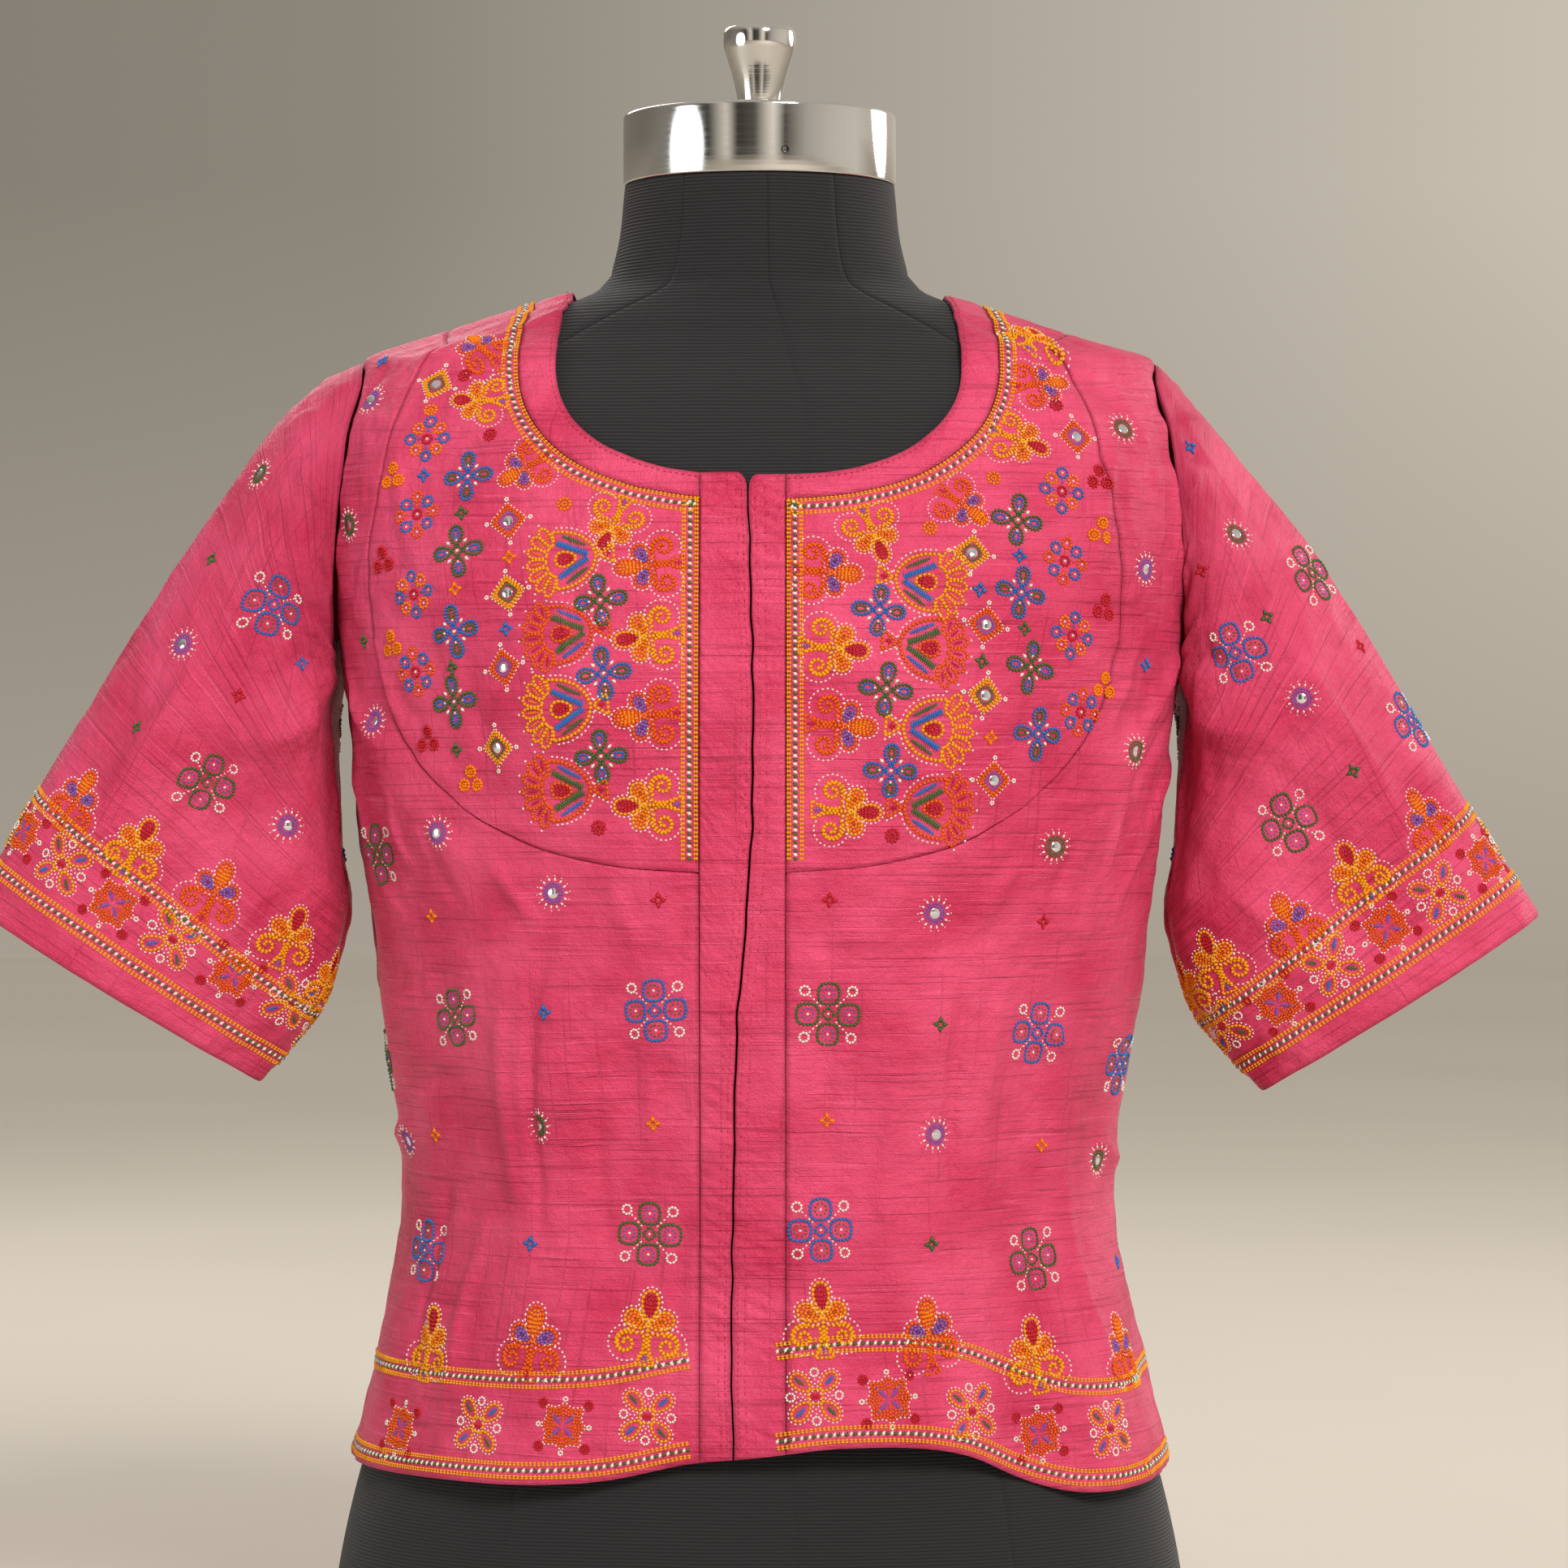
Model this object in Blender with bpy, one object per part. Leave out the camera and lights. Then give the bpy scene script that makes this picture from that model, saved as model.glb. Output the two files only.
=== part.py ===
"""Choli blouse worn by a limbless dress form.

Metres, +Z up. The form stands on its flat base at the origin and the blouse's front faces -Y.
Left and right are as seen from the front. Sizes below are in millimetres.

The form and the cloth are sections stacked up the body. A place on either is an angle round the
body (0 at +X, 90 degrees at the front, 180 at -X) and a station, the length up the side profile.
Every cloth piece is a thin wall on the cloth surface, between seams that its neighbours share.
"""

import math

import bmesh
import bpy
import numpy as np

MM = 0.001

WALL = 1.6
SEAM_GAP = 0.3
SLEEVE_GAP = 0.6
OPENING_GAP = 1.0

# Sections of the form from its base to the top of its neck, and how far the cloth's outer face
# stands off it. Squareness 2 is an ellipse, and more is boxier.
BODY_COLUMNS = (
    "height", "half_width", "front", "back", "squareness", "ease_side", "ease_front", "ease_back", "lift",
)
BODY_ROWS = (
    (0.0, 188.0, 120.0, 126.0, 2.3, 4.0, 6.0, 6.0, 0.0),
    (70.0, 184.0, 118.0, 125.0, 2.3, 4.0, 8.0, 6.0, 0.0),
    (110.0, 175.5, 114.0, 120.0, 2.3, 4.5, 9.0, 7.0, 0.0),
    (150.0, 163.0, 107.0, 111.0, 2.3, 7.5, 13.0, 10.0, 0.0),
    (190.0, 146.0, 99.0, 99.0, 2.25, 16.0, 18.0, 16.0, 0.0),
    (225.0, 133.0, 94.0, 89.0, 2.2, 22.0, 22.0, 21.0, 0.0),
    (258.0, 127.0, 92.0, 83.0, 2.2, 28.5, 25.0, 25.0, 0.0),
    (290.0, 130.0, 96.0, 82.0, 2.2, 30.5, 24.0, 25.0, 0.0),
    (325.0, 137.0, 104.0, 85.0, 2.2, 29.5, 19.0, 22.0, 0.0),
    (360.0, 144.0, 112.0, 89.0, 2.2, 26.5, 13.0, 17.0, 0.0),
    (400.0, 151.0, 119.0, 93.0, 2.25, 24.0, 7.0, 11.0, 0.0),
    (440.0, 157.0, 123.0, 97.0, 2.3, 22.5, 4.2, 7.0, 0.0),
    (475.0, 161.5, 120.0, 99.0, 2.4, 22.5, 3.6, 5.0, 0.0),
    (510.0, 165.0, 112.0, 98.0, 2.5, 23.0, 3.4, 3.8, 0.0),
    (545.0, 167.0, 100.0, 95.0, 2.6, 21.0, 3.2, 4.0, 0.0),
    (570.0, 167.0, 88.0, 89.0, 2.6, 16.5, 3.0, 6.0, 0.8),
    (584.0, 165.5, 80.0, 83.5, 2.4, 11.5, 3.0, 8.0, 2.4),
    (592.6, 161.5, 74.5, 78.5, 2.25, 10.0, 3.0, 8.4, 4.9),
    (598.2, 155.0, 71.5, 76.0, 2.2, 3.0, 3.0, 8.4, 4.0),
    (604.0, 140.8, 68.5, 73.5, 2.15, 1.2, 3.0, 7.8, 2.9),
    (612.1, 117.2, 65.5, 71.0, 2.15, 0.8, 3.0, 5.8, 2.5),
    (619.1, 95.2, 63.0, 68.5, 2.1, 0.8, 2.8, 3.4, 2.5),
    (624.0, 79.7, 62.0, 67.0, 2.05, 0.8, 2.8, 2.8, 2.5),
    (628.5, 70.5, 61.0, 65.0, 2.0, 0.8, 2.8, 2.8, 2.5),
    (634.5, 65.8, 60.5, 63.5, 2.0, 0.8, 2.8, 2.8, 2.5),
    (645.0, 62.5, 60.0, 61.5, 2.0, 0.8, 2.8, 2.8, 2.5),
    (674.0, 58.8, 58.8, 58.8, 2.0, 0.8, 2.8, 2.8, 2.5),
)

# A soft, general bust on the front of the form and the cloth
BUST_OUT = 5.0
BUST_HEIGHT = 448.0
BUST_APART = 78.0
BUST_SPREAD = 46.0

# Neck cap and knob of polished metal, turned about Z: radius, height
CAP_PROFILE = ((58.2, 674.3), (59.5, 675.3), (59.5, 703.4), (58.3, 704.9), (9.0, 705.0))
KNOB_PROFILE = (
    (9.6, 705.3), (9.4, 708.0), (10.2, 716.0), (12.4, 725.0), (15.3, 733.0), (15.7, 735.0), (15.7, 742.0),
    (14.7, 743.2),
)

# Seams and edges, as heights and distances across the front
NECK_POINT = 80.5
BAND_POINT = 96.8
YOKE_POINT = 126.0
SHOULDER_POINT = 171.5
SHOULDER_ROWS = (17, 24)
NECK_WIDEST = 594.0
NECK_EDGE_HALF = 86.0
NECK_EDGE_BOTTOM = 543.3
BAND_EDGE_HALF = 102.0
BAND_EDGE_BOTTOM = 533.0
NECK_SQUARENESS = 2.35
BACK_NECK_EDGE = 609.0
BACK_BAND_EDGE = 594.5
UNDERARM = 475.0
ARMHOLE_FRONT = 47.0
ARMHOLE_BACK = 50.0
PLACKET_LEFT = -24.5
PLACKET_RIGHT = 11.4
YOKE_BOTTOM = 377.5
BESIDE_YOKE = (405.0, 350.0)
GARMENT_CENTRE = -6.5

# Where the front edges meet: height, distance across
OPENING_LINE = ((600.0, -6.0), (372.0, -4.0), (320.0, -8.5), (240.0, -10.5), (90.0, -10.5))

# Yoke seam from the shoulder to the placket: distance out from the garment's centre, height
YOKE_SEAM = (
    (133.0, 598.5), (139.5, 589.0), (146.0, 573.5), (151.5, 554.0), (156.5, 532.0), (160.0, 508.0),
    (159.0, 483.0), (154.0, 458.0), (144.0, 434.0), (122.0, 408.5), (91.0, 389.5), (55.0, 380.5),
)
YOKE_SEAM_TURN = 0.72

# Hem height across the front, and behind: distance across, height
HEM_FRONT = (
    (-178.0, 121.0), (-150.0, 121.5), (-60.0, 125.5), (-30.0, 132.0), (0.0, 135.0), (35.0, 139.0),
    (88.0, 134.0), (112.0, 124.0), (140.0, 115.5), (165.0, 116.5), (178.0, 120.0),
)
HEM_HALF = 180.0
HEM_BACK = ((-178.0, 120.0), (-95.0, 114.0), (-30.0, 121.0), (40.0, 116.0), (110.0, 121.0), (178.0, 120.0))

# Flares at the hem: angle round the body, half spread in degrees, how far out
HEM_FLARES = (
    (30.0, 14.0, 5.0), (52.0, 10.0, -5.0), (75.0, 14.0, 7.0), (101.0, 9.0, -4.5), (124.0, 14.0, 6.0),
    (150.0, 11.0, -4.0), (205.0, 14.0, 5.0), (232.0, 11.0, -5.0), (258.0, 13.0, 6.5), (284.0, 11.0, -5.0),
    (308.0, 12.0, 6.0), (334.0, 11.0, -3.5),
)
FLARE_LOW = 100.0
FLARE_TOP = 300.0
FLARE_FADE = 1.5

# Folds in the body of the cloth: angle and height where one starts and ends, half width, how far out
BODY_FOLDS = (
    (122.0, 345.0, 124.0, 190.0, 19.0, 5.0),
    (106.0, 330.0, 105.0, 200.0, 18.0, -3.5),
    (66.0, 340.0, 68.0, 200.0, 20.0, 4.5),
    (46.0, 335.0, 45.0, 210.0, 18.0, -3.5),
    (158.0, 452.0, 134.0, 372.0, 18.0, 4.0),
    (22.0, 452.0, 46.0, 372.0, 18.0, 4.0),
    (230.0, 400.0, 236.0, 200.0, 22.0, 5.0),
    (272.0, 380.0, 268.0, 190.0, 24.0, 5.0),
    (312.0, 400.0, 306.0, 200.0, 22.0, 5.0),
    (204.0, 440.0, 228.0, 360.0, 19.0, 4.0),
    (336.0, 440.0, 314.0, 360.0, 19.0, 4.0),
)
# The body's mean radius as a share of its half width, for the width of a fold
MEAN_RADIUS = 0.8

# Sleeve sections after the armhole, measured out from the middle of the body: outer point, inner
# point, half depth, centre in Y
SLEEVE_COLUMNS = ("outer_x", "outer_z", "inner_x", "inner_z", "half_depth", "centre_y", "squareness")
SLEEVE_ROWS = {
    "left": (
        (189.0, 590.0, 185.2, 458.0, 49.0, 0.5, 2.1),
        (213.0, 568.0, 186.0, 437.0, 49.0, 0.0, 2.1),
        (251.0, 513.0, 182.0, 390.0, 45.0, -2.0, 2.1),
        (281.0, 461.5, 178.0, 355.0, 41.0, -4.0, 2.1),
        (311.0, 415.0, 191.0, 317.0, 36.0, -6.0, 2.15),
        (342.5, 361.0, 217.5, 284.0, 29.0, -8.0, 2.2),
    ),
    "right": (
        (182.0, 587.5, 185.2, 458.0, 49.0, 0.5, 2.1),
        (200.0, 566.5, 185.6, 438.0, 49.0, 0.0, 2.1),
        (239.0, 518.0, 181.0, 391.0, 45.0, -2.0, 2.1),
        (273.0, 460.5, 176.5, 352.0, 41.0, -4.0, 2.1),
        (305.5, 408.0, 190.0, 313.5, 36.0, -6.0, 2.15),
        (339.5, 356.5, 219.0, 280.0, 29.0, -8.0, 2.2),
    ),
}

# Soft folds on a sleeve: turn from its upper edge (90 degrees at the front) and share of its length
# where one starts and ends, half width, how far out
SLEEVE_FOLDS = (
    (150.0, 0.14, 96.0, 0.50, 12.0, 5.0),
    (126.0, 0.10, 62.0, 0.34, 11.0, 4.0),
    (112.0, 0.40, 84.0, 0.86, 13.0, -4.0),
    (66.0, 0.46, 52.0, 0.90, 13.0, 4.0),
    (210.0, 0.14, 262.0, 0.52, 12.0, 5.0),
    (240.0, 0.42, 282.0, 0.86, 14.0, -4.0),
)

SLEEVE_RADIUS = 60.0

# Places along a seam and around a section while a shape is worked out
SEAM_SAMPLES = 120
LOOKUP_STEPS = 3000
SHARP_DEGREES = 40

# Faces along the seams
NECK_STEPS = 10
YOKE_PLACKET_STEPS = 8
YOKE_WIDE = 7
LOWER_STEPS = 10
BAND_WIDE = 2
FRONT_WIDE = 8
ARMHOLE_STEPS = 12
UNDERARM_STEPS = 6
BACK_NECK_STEPS = 12
BACK_SHOULDER_STEPS = 4
BACK_SIDE_STEPS = 14
SLEEVE_STEPS = 13
FORM_SIDES = 36
CAP_SIDES = 40
KNOB_SIDES = 24

SILK = dict(colour=(0.72, 0.055, 0.13, 1.0), roughness=0.45, metallic=0.0)
FORM_KNIT = dict(colour=(0.018, 0.018, 0.022, 1.0), roughness=0.9, metallic=0.0)
CHROME = dict(colour=(0.62, 0.60, 0.57, 1.0), roughness=0.12, metallic=1.0)


def column(columns, rows, name):
    return np.array([row[columns.index(name)] for row in rows])


def smooth(knots, values, at):
    """Values of a smooth curve through the knots, whose slopes come from the neighbours."""
    knots = np.asarray(knots, float)
    values = np.asarray(values, float)
    at = np.clip(np.asarray(at, float), knots[0], knots[-1])
    slopes = np.gradient(values, knots)
    i = np.clip(np.searchsorted(knots, at, side="right") - 1, 0, len(knots) - 2)
    span = knots[i + 1] - knots[i]
    t = (at - knots[i]) / span
    return (
        (2 * t**3 - 3 * t**2 + 1) * values[i]
        + (t**3 - 2 * t**2 + t) * span * slopes[i]
        + (3 * t**2 - 2 * t**3) * values[i + 1]
        + (t**3 - t**2) * span * slopes[i + 1]
    )


def bump(distance):
    """A soft hump that is 1 at its middle and fades to nothing."""
    return np.exp(-np.asarray(distance) ** 2)


def ramp(value, low, high):
    t = np.clip((value - low) / (high - low), 0.0, 1.0)
    return t * t * (3 - 2 * t)


ROW = {name: column(BODY_COLUMNS, BODY_ROWS, name) for name in BODY_COLUMNS}
STATIONS = np.concatenate(([0.0], np.cumsum(np.hypot(np.diff(ROW["height"]), np.diff(ROW["half_width"])))))


def body_size(name, station):
    return smooth(STATIONS, ROW[name], station)


def cloth_height(station):
    return body_size("height", station) + body_size("lift", station)


def cloth_half(station):
    return body_size("half_width", station) + body_size("ease_side", station)


def section_point(angle, station, dressed):
    """A point on the form, or on the cloth's outer face before its folds."""
    angle = np.asarray(angle, float)
    worn = 1.0 if dressed else 0.0
    ahead = np.sin(angle) >= 0
    power = 2.0 / body_size("squareness", station)
    half = body_size("half_width", station) + worn * body_size("ease_side", station)
    front = body_size("front", station) + worn * body_size("ease_front", station)
    back = body_size("back", station) + worn * body_size("ease_back", station)
    height = body_size("height", station) + worn * body_size("lift", station)
    across = half * np.sign(np.cos(angle)) * np.abs(np.cos(angle)) ** power
    depth = np.abs(np.sin(angle)) ** power
    swell = BUST_OUT * bump((np.abs(across) - BUST_APART) / BUST_SPREAD)
    swell = swell * bump((height - BUST_HEIGHT) / BUST_SPREAD) * ramp(np.sin(angle), 0.0, 0.5)
    y = np.where(ahead, -front * depth - swell, back * depth)
    return np.stack(np.broadcast_arrays(across, y, height), axis=-1)


def facing(surface, angle, station):
    """Outward unit normal of a surface that is given as a function of angle and station."""
    turn = 0.004
    step = 0.6
    across = surface(angle + turn, station) - surface(angle - turn, station)
    low = np.clip(station - step, STATIONS[0], STATIONS[-1])
    high = np.clip(station + step, STATIONS[0], STATIONS[-1])
    up = surface(angle, high) - surface(angle, low)
    normal = np.cross(up, across)
    return normal / np.linalg.norm(normal, axis=-1, keepdims=True)


def apart(angle, other):
    """Smallest turn between two angles, in degrees."""
    return (np.degrees(angle) - other + 180.0) % 360.0 - 180.0


def fold_height(angle, station):
    """How far folds push the cloth out at a place."""
    height = cloth_height(station)
    girth = cloth_half(station)
    out = np.zeros(np.broadcast(angle, station).shape)
    fade = (1.0 - ramp(height, FLARE_LOW, FLARE_TOP)) ** FLARE_FADE
    for where, spread, rise in HEM_FLARES:
        out = out + rise * fade * bump(apart(angle, where) / spread)
    for a0, z0, a1, z1, half, rise in BODY_FOLDS:
        along = (z0 - height) / (z0 - z1)
        middle = a0 + (a1 - a0) * np.clip(along, 0.0, 1.0)
        side = np.radians(apart(angle, middle)) * girth * MEAN_RADIUS
        ends = ramp(along, -0.15, 0.3) * (1.0 - ramp(along, 0.7, 1.2))
        out = out + rise * bump(side / half) * ends
    return out


def dressed_section(angle, station):
    return section_point(angle, station, True)


def cloth_point(angle, station):
    """A point on the cloth's outer face."""
    angle = np.asarray(angle, float)
    station = np.asarray(station, float)
    push = fold_height(angle, station)[..., None]
    return dressed_section(angle, station) + push * facing(dressed_section, angle, station)


def station_at_height(height):
    dense = np.linspace(STATIONS[0], STATIONS[-1], LOOKUP_STEPS)
    return np.interp(height, cloth_height(dense), dense)


def station_at_shoulder(half):
    """Station on the shoulder slope where the cloth is this wide."""
    dense = np.linspace(STATIONS[SHOULDER_ROWS[0]], STATIONS[SHOULDER_ROWS[1]], LOOKUP_STEPS)
    return np.interp(-np.asarray(half), -cloth_half(dense), dense)


def place_across(x, height, front=True):
    """Angle and station of the cloth's place at a distance across and a height."""
    station = station_at_height(height)
    share = np.clip(np.abs(x) / cloth_half(station), 0.0, 1.0)
    cosine = np.sign(x) * share ** (body_size("squareness", station) / 2.0)
    angle = np.arccos(cosine)
    return np.stack([angle if front else -angle, station], axis=-1)


def place_beside(y, height, side):
    """Angle and station of the cloth's place at a depth and a height, near one side."""
    station = station_at_height(height)
    depth = np.where(
        y < 0,
        body_size("front", station) + body_size("ease_front", station),
        body_size("back", station) + body_size("ease_back", station),
    )
    turn = np.arcsin(np.clip((np.abs(y) / depth) ** (body_size("squareness", station) / 2.0), 0.0, 1.0))
    turn = np.where(y < 0, turn, -turn)
    return np.stack([turn if side > 0 else np.pi - turn, station], axis=-1)


def even(places, steps):
    """The places along a seam again, at equal lengths on the cloth."""
    places = np.asarray(places, float)
    points = cloth_point(places[:, 0], places[:, 1])
    length = np.concatenate(([0.0], np.cumsum(np.linalg.norm(np.diff(points, axis=0), axis=1))))
    at = np.linspace(0.0, length[-1], steps + 1)
    return np.stack([np.interp(at, length, places[:, k]) for k in (0, 1)], axis=-1)


def joined(*runs):
    """Runs of places end to end, each starting where the last one stops."""
    return np.concatenate([runs[0]] + [run[1:] for run in runs[1:]])


def round_edge(half, top, bottom):
    """Quarter of a rounded edge, from its widest place down to its middle."""
    turn = np.linspace(0.0, math.pi / 2, SEAM_SAMPLES)
    x = half * np.cos(turn) ** (2 / NECK_SQUARENESS)
    return x, top - (top - bottom) * np.sin(turn) ** (2 / NECK_SQUARENESS)


def neck_curve(half, bottom, point, side, end_x):
    """Round front neckline from the shoulder seam down to the placket."""
    top = float(cloth_height(station_at_shoulder(point)))
    start = math.acos(point / half)
    upper = np.linspace(-start, 0.0, SEAM_SAMPLES)[:-1]
    x, z = round_edge(half, NECK_WIDEST, bottom)
    end_z = np.interp(end_x, x[::-1], z[::-1])
    x = np.concatenate([half * np.cos(upper), x])
    z = np.concatenate([NECK_WIDEST - (top - NECK_WIDEST) / math.sin(start) * np.sin(upper), z])
    keep = x > end_x
    places = place_across(side * np.append(x[keep], end_x), np.append(z[keep], end_z))
    places[0] = (0.0 if side > 0 else math.pi, float(station_at_shoulder(point)))
    return places


def placket_edge(x, low, high):
    heights = np.linspace(high, low, SEAM_SAMPLES)
    return place_across(np.full(SEAM_SAMPLES, x), heights)


def opening_x(height):
    rows = np.array(OPENING_LINE)[::-1]
    return smooth(rows[:, 0], rows[:, 1], height)


def hem_height(x, front=True):
    rows = np.array(HEM_FRONT if front else HEM_BACK)
    return smooth(rows[:, 0], rows[:, 1], x)


def hem_run(start, end, front=True):
    """Places along the hem between two distances across."""
    ends = [math.asin(np.clip(x / HEM_HALF, -1.0, 1.0)) for x in (start, end)]
    x = HEM_HALF * np.sin(np.linspace(ends[0], ends[1], SEAM_SAMPLES))
    return place_across(x, hem_height(x, front), front)


def shoulder_run(start, end, side):
    """Places along the shoulder seam between two distances out."""
    half = np.linspace(start, end, SEAM_SAMPLES)
    angle = np.full(SEAM_SAMPLES, 0.0 if side > 0 else math.pi)
    return np.stack([angle, station_at_shoulder(half)], axis=-1)


def side_seam(side, heights):
    angle = np.full(len(heights), 0.0 if side > 0 else math.pi)
    return np.stack([angle, station_at_height(np.asarray(heights))], axis=-1)


def armhole_run(side, behind, steps):
    """Half of the armhole, from the shoulder point down to the underarm."""
    turn = np.linspace(0.0, math.pi, steps + 1)
    top = cloth_height(station_at_shoulder(SHOULDER_POINT))
    middle = (top + UNDERARM) / 2
    height = middle + (top - middle) * np.cos(turn)
    depth = (ARMHOLE_BACK if behind else -ARMHOLE_FRONT) * np.sin(turn)
    return place_beside(depth, height, side)


def yoke_seam(side):
    """The curved seam under the yoke, from the shoulder to the placket."""
    out = np.array([row[0] for row in YOKE_SEAM])
    height = np.array([row[1] for row in YOKE_SEAM])
    placket = PLACKET_RIGHT if side > 0 else PLACKET_LEFT
    out = np.append(GARMENT_CENTRE + side * out, placket)
    height = np.append(height, YOKE_BOTTOM)
    start = shoulder_run(YOKE_POINT, YOKE_POINT, side)[:1]
    knots = np.concatenate([start, place_across(out, height)])
    points = cloth_point(knots[:, 0], knots[:, 1])
    length = np.concatenate(([0.0], np.cumsum(np.linalg.norm(np.diff(points, axis=0), axis=1))))
    at = np.linspace(0.0, length[-1], SEAM_SAMPLES)
    return np.stack([smooth(length, knots[:, k], at) for k in (0, 1)], axis=-1)


def patch(first, last, top, bottom):
    """Grid of places between four edges. first and last run down, top and bottom run across."""
    rows = len(first) - 1
    cols = len(top) - 1
    s = np.linspace(0.0, 1.0, rows + 1)[:, None, None]
    t = np.linspace(0.0, 1.0, cols + 1)[None, :, None]
    ruled = (1 - t) * first[:, None] + t * last[:, None] + (1 - s) * top[None] + s * bottom[None]
    corners = (
        (1 - s) * (1 - t) * first[0] + (1 - s) * t * last[0] + s * (1 - t) * first[-1] + s * t * last[-1]
    )
    return ruled - corners


def wide_patch(first, last, top, bottom):
    """A patch from one armhole to the other, whose rows bend to the armholes only near them."""
    s = np.linspace(0.0, 1.0, len(first))[:, None]
    t = np.linspace(0.0, 1.0, len(top))[None, :, None]
    settle = ramp(s, 0.0, 0.3)
    angle = (1 - settle) * top[None, :, 0] + settle * bottom[None, :, 0]
    station = (1 - s) * top[None, :, 1] + s * bottom[None, :, 1]
    loft = np.stack([angle, station], axis=-1)
    return loft + (first[:, None] - loft[:, :1]) * (1 - t) ** 3 + (last[:, None] - loft[:, -1:]) * t**3


def trimmed(grid):
    """Draw a grid's four edges in by half a seam gap, square to each edge."""
    grid = grid.copy()
    for _ in range(2):
        for end, inside in ((0, 1), (-1, -2)):
            along = np.gradient(grid[end], axis=0)
            along /= np.linalg.norm(along, axis=-1, keepdims=True)
            inward = grid[inside] - grid[end]
            inward -= np.sum(inward * along, axis=-1, keepdims=True) * along
            inward /= np.linalg.norm(inward, axis=-1, keepdims=True)
            grid[end] += inward * SEAM_GAP / 2
        grid = np.swapaxes(grid, 0, 1)
    return grid


def solid(name, points, faces, material):
    """One closed object from points in millimetres and faces."""
    mesh = bpy.data.meshes.new(name)
    mesh.from_pydata([tuple(point) for point in np.asarray(points) * MM], [], faces)
    shaping = bmesh.new()
    shaping.from_mesh(mesh)
    bmesh.ops.recalc_face_normals(shaping, faces=shaping.faces)
    shaping.to_mesh(mesh)
    shaping.free()
    mesh.shade_smooth()
    mesh.set_sharp_from_angle(angle=math.radians(SHARP_DEGREES))
    made = bpy.data.objects.new(name, mesh)
    bpy.context.collection.objects.link(made)
    finish = bpy.data.materials.new(name + "_finish")
    finish.use_nodes = True
    shader = finish.node_tree.nodes["Principled BSDF"]
    shader.inputs["Base Color"].default_value = material["colour"]
    shader.inputs["Roughness"].default_value = material["roughness"]
    shader.inputs["Metallic"].default_value = material["metallic"]
    mesh.materials.append(finish)
    return made


def wall(name, outer, inner, material, tube=False):
    """Closed wall between an outer and an inner grid. A tube's last column meets its first."""
    rows, cols = outer.shape[:2]
    count = rows * cols
    faces = []
    last = cols if tube else cols - 1

    def pair(a, b, c, d):
        faces.append((a, b, c))
        faces.append((a, c, d))

    for i in range(rows - 1):
        for j in range(last):
            k = (j + 1) % cols
            a, b, c, d = i * cols + j, i * cols + k, (i + 1) * cols + k, (i + 1) * cols + j
            pair(a, b, c, d)
            pair(count + d, count + c, count + b, count + a)
    for i, flip in ((0, True), (rows - 1, False)):
        for j in range(last):
            a, b = i * cols + j, i * cols + (j + 1) % cols
            if flip:
                a, b = b, a
            pair(a, b, count + b, count + a)
    if not tube:
        for j, flip in ((0, False), (cols - 1, True)):
            for i in range(rows - 1):
                a, b = i * cols + j, (i + 1) * cols + j
                if flip:
                    a, b = b, a
                pair(a, b, count + b, count + a)
    points = np.concatenate([outer.reshape(-1, 3), inner.reshape(-1, 3)])
    return solid(name, points, faces, material)


def cloth_piece(name, grid):
    normal = facing(cloth_point, grid[..., 0], grid[..., 1])
    outer = trimmed(cloth_point(grid[..., 0], grid[..., 1]))
    return wall(name, outer, outer - normal * WALL, SILK)


def turned(name, profile, sides, material):
    """A piece turned about Z, closed by a flat top and bottom."""
    angles = np.arange(sides) * 2 * math.pi / sides
    points = [(radius * math.cos(a), radius * math.sin(a), z) for radius, z in profile for a in angles]
    return solid(name, points, ring_faces(len(profile), sides), material)


def ring_faces(rings, sides):
    faces = [tuple(range(sides)), tuple(range((rings - 1) * sides, rings * sides))]
    for i in range(rings - 1):
        for j in range(sides):
            k = (j + 1) % sides
            faces.append((i * sides + j, i * sides + k, (i + 1) * sides + k))
            faces.append((i * sides + j, (i + 1) * sides + k, (i + 1) * sides + j))
    return faces


def make_form():
    stations = np.unique(np.concatenate([STATIONS[2:], np.linspace(0.0, STATIONS[2], 4)]))
    angles = np.arange(FORM_SIDES) * 2 * math.pi / FORM_SIDES
    grid = section_point(angles[None, :], stations[:, None], False)
    solid("form_body", grid.reshape(-1, 3), ring_faces(len(stations), FORM_SIDES), FORM_KNIT)
    turned("neck_cap", CAP_PROFILE, CAP_SIDES, CHROME)
    turned("neck_knob", KNOB_PROFILE, KNOB_SIDES, CHROME)


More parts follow.
